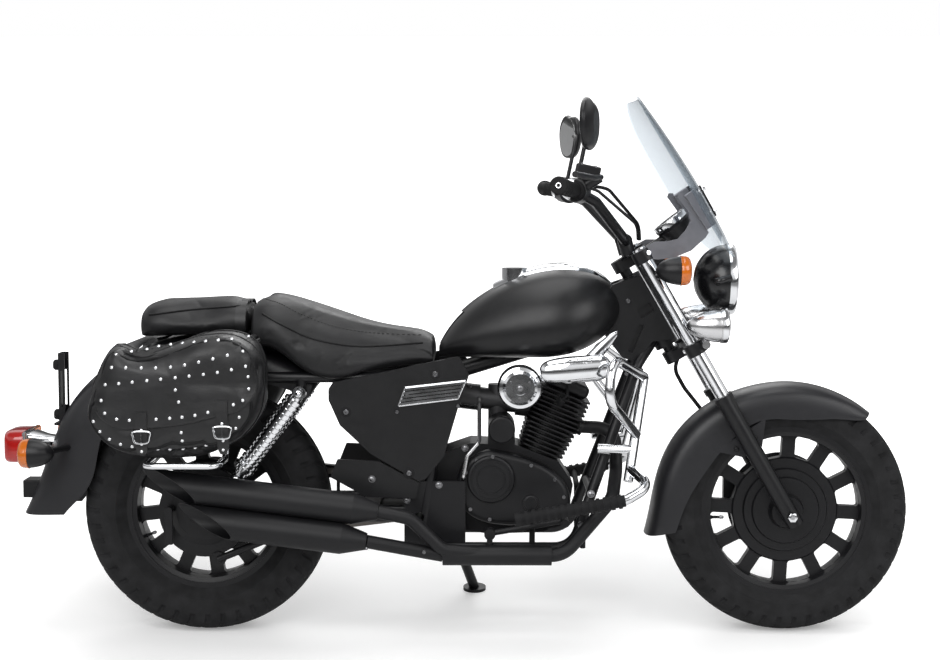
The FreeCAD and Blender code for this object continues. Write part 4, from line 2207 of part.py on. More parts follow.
def screen_stays():
    """Plates that carry the screen from the fork, each with its clamp strip and bolts."""
    line = size.screen_stay_line
    outline = side_outline(SCREEN_STAY_SHARES, size.screen_stay_x, size.screen_stay_floor, size.screen_stay_length,
                           size.screen_stay_height, line - size.screen_stay_thickness / 2)
    stay = plate(outline, size.screen_stay_thickness)
    root = on_fork(0, size.fork_line, size.upper_clamp_height + size.clamp_thickness / 2)
    lug = rod(size.screen_stay_radius, root, Vector(root.x, line + size.screen_stay_thickness / 2, root.z))
    foot, head = side_outline(SCREEN_STRIP_SHARES, size.screen_stay_x, size.screen_stay_floor,
                              size.screen_stay_length, size.screen_stay_height, line)
    strip_length = (head - foot).Length
    strip = block(size.screen_wrap, size.screen_strip_width, strip_length, ORIGIN, size.screen_stay_thickness / 2)
    strip.Placement = Placement(between(foot, head, 1 / 2) + screen_ahead() * size.screen_wrap / 2,
                                aligned(ORIGIN, head - foot).Rotation)
    shape = joined([stay, lug, strip])
    cut = shape.cut([node_shape("fork_clamps"), node_shape("fork_tubes"), node_shape("windscreen"), screen_front()])
    return feature_node("screen_stays", both_sides(biggest(cut)))


SCREEN_STAY_SHARES = [(0.0, 0.135), (0.084, 0.029), (0.284, 0.0), (0.512, 0.029), (0.754, 0.135), (0.954, 0.332),
                      (0.997, 0.408), (0.84, 0.665), (0.64, 0.998), (0.576, 0.998), (0.555, 0.938),
                      (0.712, 0.711), (0.735, 0.58), (0.669, 0.438), (0.555, 0.308), (0.398, 0.271),
                      (0.241, 0.271), (0.121, 0.201)]
SCREEN_STRIP_SHARES = [(0.96, 0.45), (0.64, 0.96)]


def screen_front():
    """All of the space ahead of the screen's inner face, for cutting what seats on it."""
    reach = size.lamp_depth
    wires = []
    for row in SCREEN_ROWS:
        inner = screen_row(row, size.screen_thickness / 2)
        ahead = screen_row(row, -reach)
        first = Part.LineSegment(ahead.lastVertex().Point, inner.lastVertex().Point).toShape()
        last = Part.LineSegment(inner.firstVertex().Point, ahead.firstVertex().Point).toShape()
        wires.append(Part.Wire([ahead, first, inner, last]))
    return loft(wires)




def screen_ahead():
    """The direction square to the screen's middle line, forward."""
    along = Vector(size.screen_top_x - size.screen_foot_x, 0, size.screen_top_height - size.screen_foot_height)
    along.normalize()
    return Vector(along.z, 0, -along.x)


# Front calliper and hose, rear brake, chain, stand

def front_calliper():
    """Calliper over the disc, carried by the left fork leg."""
    line = size.front_hub_left + size.brake_disc_thickness / 2
    back = Vector(-math.cos(math.radians(size.muffler_rise * 2)), 0, math.sin(math.radians(size.muffler_rise * 2)))
    centre = front_axle + back * (size.brake_disc_radius - size.calliper_height / 4) + Vector(0, line, 0)
    body = block(size.calliper_height, size.calliper_half_width * 2, size.calliper_length, centre,
                 size.calliper_half_width / 4)
    slot = Part.makeCylinder(size.brake_disc_radius + size.running_gap, size.calliper_slot,
                             Vector(front_axle.x, line - size.calliper_slot / 2, front_axle.z), AXIS_Y)
    body = body.cut(slot)
    anchor = on_fork(0, size.fork_line, size.fork_leg_length * CALLIPER_ANCHOR_SHARE)
    arm = rod(size.calliper_half_width * 0.7, Vector(centre.x, line + size.calliper_half_width * 0.6, centre.z),
              anchor)
    shape = body.fuse(arm.cut(slot)).cut(node_shape("fork_legs"))
    feature_node("front_calliper", [biggest(shape)])


CALLIPER_ANCHOR_SHARE = 0.3


def front_hose():
    """Brake hose from the lower clamp down behind the left fork leg to the calliper."""
    top = on_fork(-size.fork_tube_radius * HOSE_TOP_SHARE, size.fork_line * HOSE_TOP_SHARE,
                  size.lower_clamp_height - size.clamp_thickness / 2)
    high = on_fork(-size.hose_bow / 2, size.fork_line * HOSE_TOP_SHARE,
                   size.lower_clamp_height - size.clamp_thickness * 2)
    bow = on_fork(-size.hose_bow / 2, size.fork_line, size.hose_bow_up)
    low = on_fork(-size.fork_leg_radius * HOSE_LOW_SHARE, size.fork_line, size.hose_low_up)
    end = on_fork(-size.brake_disc_radius * HOSE_END_SHARE, size.fork_line * HOSE_TOP_SHARE,
                  size.fork_leg_length * HOSE_END_UP_SHARE)
    hose = tube([top, high, bow, low, end], size.hose_radius, size.fork_leg_radius * 2)
    shape = hose.cut([node_shape("fork_clamps"), node_shape("front_calliper"), node_shape("fork_legs")])
    return feature_node("front_hose", [biggest(shape)])


HOSE_TOP_SHARE = 0.8
HOSE_LOW_SHARE = 2.0
HOSE_END_SHARE = 0.9
HOSE_END_UP_SHARE = 0.42


def brake_plate():
    """Rear drum brake plate with its cam lever and torque arm."""
    inner = size.rear_hub_right + size.running_gap
    outer = inner + size.brake_plate_thickness
    dome = size.swingarm_line - size.swingarm_tube_width / 2 - size.seat_gap
    axle_radius = size.rear_axle_diameter / 2
    profile = [(inner, axle_radius), (dome, axle_radius), (dome, size.brake_plate_dome * 0.8),
               (outer, size.brake_plate_dome), (outer, size.brake_plate_radius), (inner, size.brake_plate_radius)]
    drum = turned(profile, rear_axle, -AXIS_Y)
    cam_x = -size.brake_cam_reach * 0.9
    cam_z = rear_axle.z + size.brake_cam_radius
    lever_line = -(size.swingarm_line + size.swingarm_tube_width / 2 + size.brake_lever_thickness)
    cam = across(cam_x, cam_z, -inner, lever_line - size.brake_lever_thickness / 2, size.brake_cam_radius)
    lever = block(size.brake_lever_width, size.brake_lever_thickness, size.brake_lever_length,
                  Vector(cam_x, lever_line, cam_z - size.brake_lever_length / 2), size.brake_lever_thickness / 3)
    arm_root = Vector(TORQUE_ROOT_SHARE * size.brake_plate_radius, -outer,
                      rear_axle.z - size.brake_plate_radius * TORQUE_DROP_SHARE)
    arm_end = Vector(size.torque_arm_length, -size.swingarm_line, rear_axle.z - size.swingarm_tube_height)
    lug = across(arm_root.x, arm_root.z, -inner, -outer - size.torque_arm_thickness, size.torque_arm_height)
    arm = rod(size.torque_arm_height / 2, arm_root - Vector(0, size.torque_arm_thickness / 2, 0), arm_end)
    seat = rod(size.torque_arm_height / 2, arm_end, arm_end + Vector(0, 0, size.swingarm_tube_height))
    shape = joined([drum, cam, lever, lug, arm, seat]).cut(node_shape("swingarm"))
    return feature_node("brake_plate", [biggest(shape)])


TORQUE_ROOT_SHARE = 0.3
TORQUE_DROP_SHARE = 1.05


def belt_outline(rear_radius, front_radius, line):
    """A closed outline round both sprockets: two arcs and two straight runs."""
    front = Vector(size.sprocket_x, line, size.sprocket_height)
    rear = Vector(rear_axle.x, line, rear_axle.z)
    reach = front - rear
    tilt = math.atan2(reach.z, reach.x)
    spread = math.acos((rear_radius - front_radius) / reach.Length)
    points = {}
    for name, turn in (("top", tilt + spread), ("low", tilt - spread)):
        outward = Vector(math.cos(turn), 0, math.sin(turn))
        points[name] = (rear + outward * rear_radius, front + outward * front_radius)
    back = Vector(math.cos(tilt), 0, math.sin(tilt))
    rear_arc = Part.Arc(points["top"][0], rear - back * rear_radius, points["low"][0]).toShape()
    front_arc = Part.Arc(points["low"][1], front + back * front_radius, points["top"][1]).toShape()
    top = Part.LineSegment(points["top"][1], points["top"][0]).toShape()
    low = Part.LineSegment(points["low"][0], points["low"][1]).toShape()
    return Part.Wire([rear_arc, low, front_arc, top]), points


def drive_chain():
    """Drive chain: two rows of plates round the sprockets, pinned along both straight runs."""
    half_height = size.chain_plate_height / 2
    rear_radius = pitch_radius(size.rear_teeth)
    front_radius = pitch_radius(size.front_teeth)
    solids = []
    for side in SIDES:
        line = size.chain_line + side * (size.chain_half_width - size.chain_plate_width / 2)
        start = line - size.chain_plate_width / 2
        outer, unused = belt_outline(rear_radius + half_height, front_radius + half_height, start)
        inner, unused = belt_outline(rear_radius - half_height, front_radius - half_height, start)
        band = Part.Face(outer).cut(Part.Face(inner)).extrude(Vector(0, size.chain_plate_width, 0))
        solids.append(band)
    wire, points = belt_outline(rear_radius, front_radius, size.chain_line)
    pins = []
    for name in ("top", "low"):
        start, end = points[name]
        count = int((end - start).Length / size.chain_pitch)
        for index in range(PIN_START, count - PIN_START):
            place = start + unit(end - start) * size.chain_pitch * (index + 0.5)
            pins.append(across(place.x, place.z, size.chain_line - size.chain_half_width,
                               size.chain_line + size.chain_half_width, size.chain_roller_radius))
    chain = joined(solids + pins)
    return feature_node("drive_chain", [chain.cut(cases_solid())])


PIN_START = 3


def rear_sprocket():
    """Rear sprocket on the left of the rear hub."""
    wheel = sprocket(size.rear_teeth, rear_axle, size.sprocket_bore_radius, size.chain_line)
    flange_profile = [(size.rear_disc_thickness / 2, size.rear_hub_radius),
                      (size.chain_line + size.sprocket_thickness / 2, size.rear_hub_radius),
                      (size.chain_line + size.sprocket_thickness / 2, size.sprocket_bore_radius + size.overrun / 4),
                      (size.chain_line - size.sprocket_thickness / 2, size.sprocket_bore_radius + size.overrun / 4),
                      (size.rear_disc_thickness / 2, size.sprocket_bore_radius + size.overrun / 4)]
    flange = turned(flange_profile, rear_axle, AXIS_Y)
    shape = wheel.fuse(flange).cut(node_shape("rear_wheel"))
    return feature_node("rear_sprocket", [biggest(shape)])


lean = Rotation(AXIS_X, -size.lean_angle)


def floor_point(x, outward):
    """A point of the floor, in the upright machine's frame, while the machine leans."""
    return lean.inverted().multVec(Vector(x, outward, -lift()))


def lift():
    """How far the lean raises the machine, as the crowns of its tyres roll."""
    crown = max(size.front_tyre_width, size.rear_tyre_width) / 2
    return crown * (1 - math.cos(math.radians(size.lean_angle)))


def side_stand():
    """Side stand: pivot eye, leg and a foot flat on the floor."""
    eye_centre = Vector(size.stand_pivot_x, size.stand_pivot_line, size.stand_pivot_height)
    half = size.stand_boss_width / 2
    eye = across(eye_centre.x, eye_centre.z, eye_centre.y - half, eye_centre.y + half, size.stand_boss_radius)
    floor_out = floor_point(0, 1) - floor_point(0, 0)
    floor_up = Vector(0, -floor_out.z, floor_out.y)
    reach = size.stand_pivot_line * STAND_SPLAY_SHARE
    foot_low = floor_point(size.stand_pivot_x + size.stand_foot_forward, reach)
    foot = Part.makeCylinder(size.stand_foot_radius, size.stand_foot_thickness, foot_low, floor_up)
    leg = tube([eye_centre, foot_low + floor_up * size.stand_foot_thickness / 2], size.stand_leg_radius,
               size.overrun)
    below = Part.makeCylinder(size.stand_foot_radius * 2, size.stand_foot_radius, foot_low - floor_up
                              * size.stand_foot_radius, floor_up)
    pin = across(eye_centre.x, eye_centre.z, 0, eye_centre.y + half * 2, size.stand_pin_radius + size.running_fit)
    lug = across(eye_centre.x, eye_centre.z, 0, eye_centre.y - half, size.stand_boss_radius + size.running_gap)
    shape = joined([eye, leg, foot]).cut([pin, below, lug])
    return feature_node("side_stand", [biggest(shape)])


STAND_SPLAY_SHARE = 1.75


# The whole machine

def build():
    """Makes every sub-part."""
    cast_wheel("front", front_axle)
    tyre("front", front_axle)
    front_brake_disc()
    cast_wheel("rear", rear_axle)
    tyre("rear", rear_axle)
    rear_sprocket()
    frame()
    swingarm()
    shocks()
    engine_cases()
    engine_cylinder()
    carburettor()
    engine_covers()
    upper_end, lower_end = mufflers()
    exhaust_headers(upper_end, lower_end)
    fuel_tank()
    console()
    neck_cover()
    seat()
    pillion_pad()
    rear_fender()
    tail_lamp()
    plate_bracket()
    rear_indicators()
    side_covers()
    side_grille()
    saddlebags()
    bag_stays()
    crash_bars()
    foot_bars()
    foot_levers()
    fork_clamps()
    fork_legs()
    front_fender()
    handlebar()
    grips()
    hand_controls()
    bar_cables()
    mirrors()
    headlamp()
    front_lamps()
    speedometer()
    windscreen()
    screen_stays()
    front_calliper()
    front_hose()
    brake_plate()
    drive_chain()
    side_stand()


def leaned_place():
    """The place of the whole machine: leaned, standing on the floor, centred over its own box."""
    place = Placement(Vector(0, 0, lift()), lean)
    box = FreeCAD.BoundBox()
    for item, own in nodes:
        shape = item.Shape.copy()
        shape.Placement = place.multiply(own).multiply(shape.Placement)
        box.add(shape.optimalBoundingBox(False))
    middle = box.Center
    return Placement(Vector(-middle.x, -middle.y, lift()), lean)


def check(item):
    """Stops the build when a sub-part failed."""
    if "Invalid" in item.State or "Error" in item.State:
        raise ValueError(f"{item.Label} failed: {item.State}")
    if item.Shape.isNull() or not item.Shape.isValid():
        raise ValueError(f"{item.Label} has no valid shape")
    if not item.Shape.Solids:
        raise ValueError(f"{item.Label} has no solid")


def export():
    """Places every sub-part, checks it and writes it."""
    machine = leaned_place()
    for item, own in nodes:
        item.Placement = machine.multiply(own).multiply(item.Placement)
    doc.recompute()
    for thing in doc.Objects:
        if "Invalid" in thing.State or "Error" in thing.State:
            raise ValueError(f"{thing.Label} failed: {thing.State}")
    os.makedirs("parts", exist_ok=True)
    for item, own in nodes:
        check(item)
        item.Shape.exportStep(f"parts/{item.Label}.step")
    return machine


build()
machine_place = export()
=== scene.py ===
"""Cruiser motorcycle: the looks of every visible piece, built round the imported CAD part.

All pieces are drawn in the upright machine's own frame, X forward, Y to the rider's left and Z up,
with the rear axle over the origin, and then leaned with the machine.
"""

import json
import logging
import math
from dataclasses import dataclass, field
from enum import Enum
from typing import ClassVar, Iterable, Sequence

import bmesh
import bpy
from mathutils import Matrix, Vector, noise
from mathutils.bvhtree import BVHTree


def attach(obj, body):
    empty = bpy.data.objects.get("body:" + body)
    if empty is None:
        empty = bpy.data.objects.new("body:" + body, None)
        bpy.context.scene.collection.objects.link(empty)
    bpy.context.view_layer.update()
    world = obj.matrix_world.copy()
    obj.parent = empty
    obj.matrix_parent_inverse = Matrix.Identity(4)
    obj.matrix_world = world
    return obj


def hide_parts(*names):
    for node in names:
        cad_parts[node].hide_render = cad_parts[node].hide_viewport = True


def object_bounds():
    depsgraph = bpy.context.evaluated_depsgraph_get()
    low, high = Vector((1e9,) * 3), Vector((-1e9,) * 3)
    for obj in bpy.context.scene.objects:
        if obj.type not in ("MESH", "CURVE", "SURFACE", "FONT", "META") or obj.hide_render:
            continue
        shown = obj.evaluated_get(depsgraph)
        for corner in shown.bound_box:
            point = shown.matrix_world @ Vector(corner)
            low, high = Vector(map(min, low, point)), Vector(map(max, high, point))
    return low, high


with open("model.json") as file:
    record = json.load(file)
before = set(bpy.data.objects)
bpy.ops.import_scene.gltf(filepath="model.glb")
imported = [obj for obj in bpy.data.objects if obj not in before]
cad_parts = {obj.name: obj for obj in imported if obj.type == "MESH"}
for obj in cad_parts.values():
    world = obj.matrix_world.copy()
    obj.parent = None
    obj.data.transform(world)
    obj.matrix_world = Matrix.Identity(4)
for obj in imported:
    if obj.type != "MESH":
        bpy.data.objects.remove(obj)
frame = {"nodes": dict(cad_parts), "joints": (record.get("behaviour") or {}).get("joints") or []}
cad_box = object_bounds()

logging.basicConfig(level=logging.INFO, format="%(message)s")
log = logging.getLogger("cruiser")

Point = Sequence[float]
TURN = math.tau


class Side(Enum):
    """A side of the machine, as the sign of its Y."""
    RIGHT = -1
    LEFT = 1


# The machine's own frame

class Machine:
    """Places points of the upright machine in the leaned frame."""

    def __init__(self) -> None:
        """Reads the lean and the axles from the wheels' joints."""
        joints = {joint["name"]: joint for joint in frame["joints"]}
        rear = Vector(joints["rear_wheel_turn"]["pos_m"])
        across = Vector(joints["rear_wheel_turn"]["axis"]).normalized()
        forward = Vector((1, 0, 0))
        up = forward.cross(across)
        turn = Matrix((forward, across, up)).transposed()
        tyre = [turn.transposed() @ vertex.co for vertex in frame["nodes"]["rear_tyre"].data.vertices]
        radius = (max(point.z for point in tyre) - min(point.z for point in tyre)) / 2
        self.matrix = Matrix.Translation(rear - up * radius) @ turn.to_4x4()
        self.inverse = self.matrix.inverted()
        self.rear_axle = Vector((0, 0, radius))
        self.front_axle = self.inverse @ Vector(joints["front_wheel_turn"]["pos_m"])
        self.head = self.inverse @ Vector(joints["steering_turn"]["pos_m"])
        self.fork_up = self.inverse.to_3x3() @ Vector(joints["steering_turn"]["axis"])

    def points(self, node: str) -> list[Vector]:
        """The vertices of a CAD node in the upright frame."""
        return [self.inverse @ vertex.co for vertex in frame["nodes"][node].data.vertices]

    def box(self, node: str) -> tuple[Vector, Vector]:
        """The corners of a CAD node in the upright frame."""
        found = self.points(node)
        return (Vector(min(p[i] for p in found) for i in range(3)),
                Vector(max(p[i] for p in found) for i in range(3)))


machine = Machine()


# Shader maths

class Nodes:
    """A node tree that is being wired."""

    def __init__(self, tree: bpy.types.NodeTree) -> None:
        """Takes a tree over."""
        self.tree = tree

    def node(self, kind: str, settings: dict | None = None, inputs: dict | None = None,
             output: int | str = 0) -> "Value":
        """Adds any node.

        Args:
            kind: the node's type.
            settings: its properties, with "stops" for a ramp's (place, colour) pairs.
            inputs: values or links by socket.
            output: the output that is wanted.
        Returns:
            That output, wrapped.
        """
        made = self.tree.nodes.new(kind)
        for key, value in (settings or {}).items():
            if key == "stops":
                elements = made.color_ramp.elements
                while len(elements) < len(value):
                    elements.new(0.5)
                for element, (place, colour) in zip(elements, value):
                    element.position = place
                    element.color = colour
            else:
                setattr(made, key, value)
        for key, value in (inputs or {}).items():
            self.feed(made.inputs[key], value)
        return Value(self, made.outputs[output])

    def feed(self, socket: bpy.types.NodeSocket, value: object) -> None:
        """Links or sets one input socket.

        Args:
            socket: the socket to feed.
            value: a wrapped output, a number, a vector or a colour.
        """
        if isinstance(value, Value):
            self.tree.links.new(value.socket, socket)
        else:
            socket.default_value = value


class Shader(Nodes):
    """A material's node tree, with its Principled surface."""

    def __init__(self, name: str) -> None:
        """Starts a material with only a Principled node and its output.

        Args:
            name: the material's name.
        """
        self.material = bpy.data.materials.new(name)
        self.material.use_nodes = True
        super().__init__(self.material.node_tree)
        self.tree.nodes.clear()
        self.output = self.tree.nodes.new("ShaderNodeOutputMaterial")
        self.surface = self.tree.nodes.new("ShaderNodeBsdfPrincipled")
        self.tree.links.new(self.surface.outputs[0], self.output.inputs["Surface"])

    def set(self, **values: object) -> "Shader":
        """Feeds the Principled node's sockets, named with underscores for spaces.

        Args:
            values: socket name and value.
        Returns:
            This shader.
        """
        for key, value in values.items():
            self.feed(self.surface.inputs[key.replace("_", " ")], value)
        return self

    def noise(self, scale: float, detail: float = 2.0, stretch: Point = (1, 1, 1)) -> "Value":
        """Noise over the object's own place, from 0 to 1.

        Args:
            scale: waves a metre.
            detail: octaves.
            stretch: how far each axis is stretched.
        Returns:
            The noise.
        """
        place = self.node("ShaderNodeTexCoord", output="Object")
        grid = self.node("ShaderNodeMapping", inputs={0: place, "Scale": tuple(stretch)})
        return self.node("ShaderNodeTexNoise", inputs={"Vector": grid, "Scale": scale, "Detail": detail})

    def cells(self, scale: float, feature: str = "F1") -> "Value":
        """Distances of cells over the object's own place."""
        place = self.node("ShaderNodeTexCoord", output="Object")
        return self.node("ShaderNodeTexVoronoi", {"feature": feature}, {"Vector": place, "Scale": scale})

    def mix(self, share: "Value", low: Point, high: Point) -> "Value":
        """A colour between two."""
        return self.node("ShaderNodeMix", {"data_type": "RGBA"},
                         {"Factor": share, 6: (*low, 1.0), 7: (*high, 1.0)}, output=2)

    def bump(self, height: "Value", strength: float, depth: float) -> "Value":
        """A bump from a height."""
        return self.node("ShaderNodeBump", inputs={"Height": height, "Strength": strength, "Distance": depth})


@dataclass(frozen=True)
class Value:
    """A node's output, with maths on it written as Python's."""
    nodes: Nodes
    socket: bpy.types.NodeSocket

    def math(self, operation: str, first: object, second: object, clamp: bool = False) -> "Value":
        """One Math node."""
        settings = {"operation": operation, "use_clamp": clamp}
        return self.nodes.node("ShaderNodeMath", settings, {0: first, 1: second})

    def __add__(self, other: object) -> "Value":
        """This plus other."""
        return self.math("ADD", self, other)

    def __mul__(self, other: object) -> "Value":
        """This times other."""
        return self.math("MULTIPLY", self, other)

    def __sub__(self, other: object) -> "Value":
        """This less other."""
        return self.math("SUBTRACT", self, other)

    def __rsub__(self, other: object) -> "Value":
        """Other less this."""
        return self.math("SUBTRACT", other, self)

    def __pow__(self, other: object) -> "Value":
        """This to a power."""
        return self.math("POWER", self, other)

    __radd__ = __add__
    __rmul__ = __mul__

    def sharpened(self, middle: float, contrast: float) -> "Value":
        """This with more contrast about a middle, kept from 0 to 1."""
        return self.math("ADD", (self - middle) * contrast, 0.5, clamp=True)


# Finishes

@dataclass(frozen=True)
class Paint:
    """Satin paint with a fine orange peel, its grain in metres, and dull patches."""
    name: str
    colour: Point
    roughness: float = 0.42
    grain: float = 0.00004
    metallic: float = 0.0
    gloss: float = 0.22

    def material(self) -> bpy.types.Material:
        """The finish as a material."""
        shader = Shader(self.name)
        patches = shader.noise(9, 3)
        dust = shader.noise(70, 4)
        low = [value * 0.82 for value in self.colour]
        high = [min(1.0, value * 1.25 + 0.0025) for value in self.colour]
        shader.set(Base_Color=shader.mix(patches * 0.7 + dust * 0.3, low, high), Metallic=self.metallic,
                   Roughness=self.roughness + (dust - 0.5) * 0.12 + (patches - 0.5) * 0.08,
                   Normal=shader.bump(shader.noise(900, 1), 0.35, self.grain),
                   Specular_IOR_Level=self.gloss)
        return shader.material


@dataclass(frozen=True)
class Chrome:
    """Bright plating with faint smears and a soft waviness."""
    name: str = "chrome"
    colour: Point = (0.80, 0.81, 0.83)
    roughness: float = 0.07

    def material(self) -> bpy.types.Material:
        """The finish as a material."""
        shader = Shader(self.name)
        smear = shader.noise(26, 4, (1, 1, 2))
        low = [value * 0.86 for value in self.colour]
        shader.set(Base_Color=shader.mix(smear, low, self.colour), Metallic=1.0,
                   Roughness=self.roughness + smear.sharpened(0.55, 2.0) * 0.07,
                   Normal=shader.bump(shader.noise(60, 2), 0.12, 0.0002))
        return shader.material


@dataclass(frozen=True)
class Cast:
    """Cast metal, bare or painted, with a sandy skin and grime in patches."""
    name: str
    colour: Point
    roughness: float = 0.5
    metallic: float = 0.8
    sand: float = 0.0003
    gloss: float = 0.25

    def material(self) -> bpy.types.Material:
        """The finish as a material."""
        shader = Shader(self.name)
        grime = shader.noise(14, 5)
        sand = shader.noise(1400, 2)
        low = [value * 0.7 for value in self.colour]
        high = [min(1.0, value * 1.2) for value in self.colour]
        shader.set(Base_Color=shader.mix(grime.sharpened(0.5, 1.6), low, high), Metallic=self.metallic,
                   Roughness=self.roughness + (grime - 0.5) * 0.25,
                   Normal=shader.bump(sand, 0.4, self.sand),
                   Specular_IOR_Level=self.gloss)
        return shader.material


@dataclass(frozen=True)
class Brushed:
    """Machined or drawn metal with fine lines along one axis."""
    name: str
    colour: Point
    roughness: float = 0.28
    lines: Point = (1, 60, 1)

    def material(self) -> bpy.types.Material:
        """The finish as a material."""
        shader = Shader(self.name)
        brush = shader.noise(40, 3, self.lines)
        stain = shader.noise(11, 3)
        low = [value * 0.75 for value in self.colour]
        shader.set(Base_Color=shader.mix(brush * 0.5 + stain * 0.5, low, self.colour), Metallic=1.0,
                   Roughness=self.roughness + (brush - 0.5) * 0.2 + (stain - 0.5) * 0.1,
                   Normal=shader.bump(brush, 0.2, 0.0001))
        return shader.material


@dataclass(frozen=True)
class Leather:
    """Black leather: pebbled grain, creases and a worn sheen."""
    name: str = "leather"
    colour: Point = (0.022, 0.021, 0.022)
    roughness: float = 0.42
    pebble: float = 620
    depth: float = 0.0005
    gloss: float = 0.35

    def material(self) -> bpy.types.Material:
        """The finish as a material."""
        shader = Shader(self.name)
        pebbles = shader.cells(self.pebble)
        creases = shader.noise(38, 5, (1, 1, 2.4))
        wear = shader.noise(12, 3)
        high = [value * 2.1 for value in self.colour]
        height = pebbles * 0.5 + creases * 0.9
        shader.set(Base_Color=shader.mix(wear.sharpened(0.5, 2.0), self.colour, high),
                   Roughness=self.roughness + (creases - 0.5) * 0.3 + pebbles * 0.12,
                   Normal=shader.bump(height, 0.5, self.depth),
                   Specular_IOR_Level=self.gloss)
        return shader.material


@dataclass(frozen=True)
class Rubber:
    """Matt rubber with a grey bloom."""
    name: str = "rubber"
    colour: Point = (0.018, 0.018, 0.019)
    roughness: float = 0.7
    bloom: float = 0.5
    gloss: float = 0.18

    def material(self) -> bpy.types.Material:
        """The finish as a material."""
        shader = Shader(self.name)
        dust = shader.noise(30, 5)
        fine = shader.noise(700, 2)
        high = [value * (1 + 2.2 * self.bloom) for value in self.colour]
        shader.set(Base_Color=shader.mix(dust.sharpened(0.52, 2.2), self.colour, high),
                   Roughness=self.roughness + (dust - 0.5) * 0.2,
                   Normal=shader.bump(fine, 0.3, 0.00025),
                   Specular_IOR_Level=self.gloss)
        return shader.material


@dataclass(frozen=True)
class Lens:
    """Moulded clear or tinted plastic over a bright bowl."""
    name: str
    colour: Point
    clear: float = 0.0
    ribs: float = 0.0
    coat: float = 0.6
    refraction: float = 1.48

    def material(self) -> bpy.types.Material:
        """The finish as a material."""
        shader = Shader(self.name)
        haze = shader.noise(45, 3)
        low = [value * 0.72 for value in self.colour]
        shader.set(Base_Color=shader.mix(haze, low, self.colour), Roughness=0.06 + haze * 0.08,
                   Coat_Weight=self.coat, Transmission_Weight=self.clear, IOR=self.refraction)
        if self.ribs:
            shader.set(Normal=shader.bump(shader.noise(self.ribs, 0, (0.1, 1, 0.1)), 0.5, 0.001))
        return shader.material


@dataclass(frozen=True)
class ClearSheet:
    """A thin clear sheet: mostly see-through, brighter at a slant."""
    name: str = "clear_sheet"
    tint: Point = (0.90, 0.93, 0.955)
    shade: Point = (0.20, 0.23, 0.26)
    refraction: float = 1.49
    least: float = 0.08
    slanted: float = 0.85

    def material(self) -> bpy.types.Material:
        """The finish as a material."""
        shader = Shader(self.name)
        haze = shader.noise(8, 3)
        shader.set(Base_Color=(*self.shade, 1.0), Roughness=0.03 + haze * 0.03, IOR=self.refraction)
        slant = shader.node("ShaderNodeLayerWeight", inputs={"Blend": 0.28}, output="Facing")
        through = shader.node("ShaderNodeBsdfTransparent", inputs={"Color": (*self.tint, 1.0)})
        share = self.least + slant ** 2.0 * self.slanted
        mixed = shader.node("ShaderNodeMixShader",
                            inputs={0: share, 1: through, 2: Value(shader, shader.surface.outputs[0])})
        shader.tree.links.new(mixed.socket, shader.output.inputs["Surface"])
        return shader.material


FINISHES = {finish.name: finish for finish in (
    Paint("black_paint", (0.0045, 0.0045, 0.0052), 0.36, 0.00003, 0.0, 0.34),
    Paint("gloss_black", (0.004, 0.004, 0.005), 0.22, 0.00001, 0.0, 0.5),
    Paint("grey_black", (0.010, 0.010, 0.012), 0.40, 0.00003, 0.0, 0.40),
    Paint("frame_black", (0.005, 0.005, 0.006), 0.36, 0.00003, 0.0, 0.3),
    Paint("wheel_black", (0.005, 0.005, 0.006), 0.36, 0.00003, 0.0, 0.3),
    Paint("exhaust_black", (0.006, 0.006, 0.007), 0.48, 0.00006, 0.0, 0.26),
    Paint("grey_metal", (0.22, 0.22, 0.24), 0.32, 0.00003, 0.7, 0.5),
    Chrome(),
    Chrome("dull_chrome", (0.66, 0.66, 0.67), 0.2),
    Cast("engine_black", (0.006, 0.006, 0.007), 0.40, 0.1, 0.0004, 0.32),
    Brushed("steel", (0.26, 0.26, 0.27)),
    Cast("dark_alloy", (0.05, 0.05, 0.052), 0.45, 0.6, 0.0003, 0.4),
    Brushed("chain_steel", (0.16, 0.15, 0.14), 0.42),
    Leather("leather", (0.006, 0.006, 0.0065), 0.36, 620, 0.0005, 0.4),
    Leather("seat_leather", (0.0055, 0.0055, 0.006), 0.40, 900, 0.00025, 0.32),
    Rubber("piping", (0.005, 0.005, 0.0055), 0.45, 0.2),
    Rubber("thread", (0.03, 0.03, 0.03), 0.8, 0.2),
    Rubber("rubber", (0.007, 0.007, 0.0075)),
    Rubber("tyre_rubber", (0.0085, 0.0085, 0.009), 0.74, 0.7),
    Lens("amber", (0.85, 0.20, 0.01), 0.25),
    Lens("red", (0.55, 0.012, 0.010), 0.25),
    Lens("glass", (0.94, 0.95, 0.96), 0.95),
    Lens("lamp_glass", (0.94, 0.95, 0.96), 0.95, 60),
    Chrome("mirror", (0.90, 0.91, 0.92), 0.02),
    Paint("dial_face", (0.02, 0.02, 0.022), 0.3),
    Paint("white_mark", (0.85, 0.85, 0.85), 0.4),
    ClearSheet(),
)}


class Palette:
    """Makes each finish once and hands it out."""
    made: dict[str, bpy.types.Material] = {}

    @classmethod
    def get(cls, name: str) -> bpy.types.Material:
        """The material of a finish.

        Args:
            name: the finish's key.
        Returns:
            Its material.
        """
        if name not in cls.made:
            cls.made[name] = FINISHES[name].material()
        return cls.made[name]


# Mesh drawing

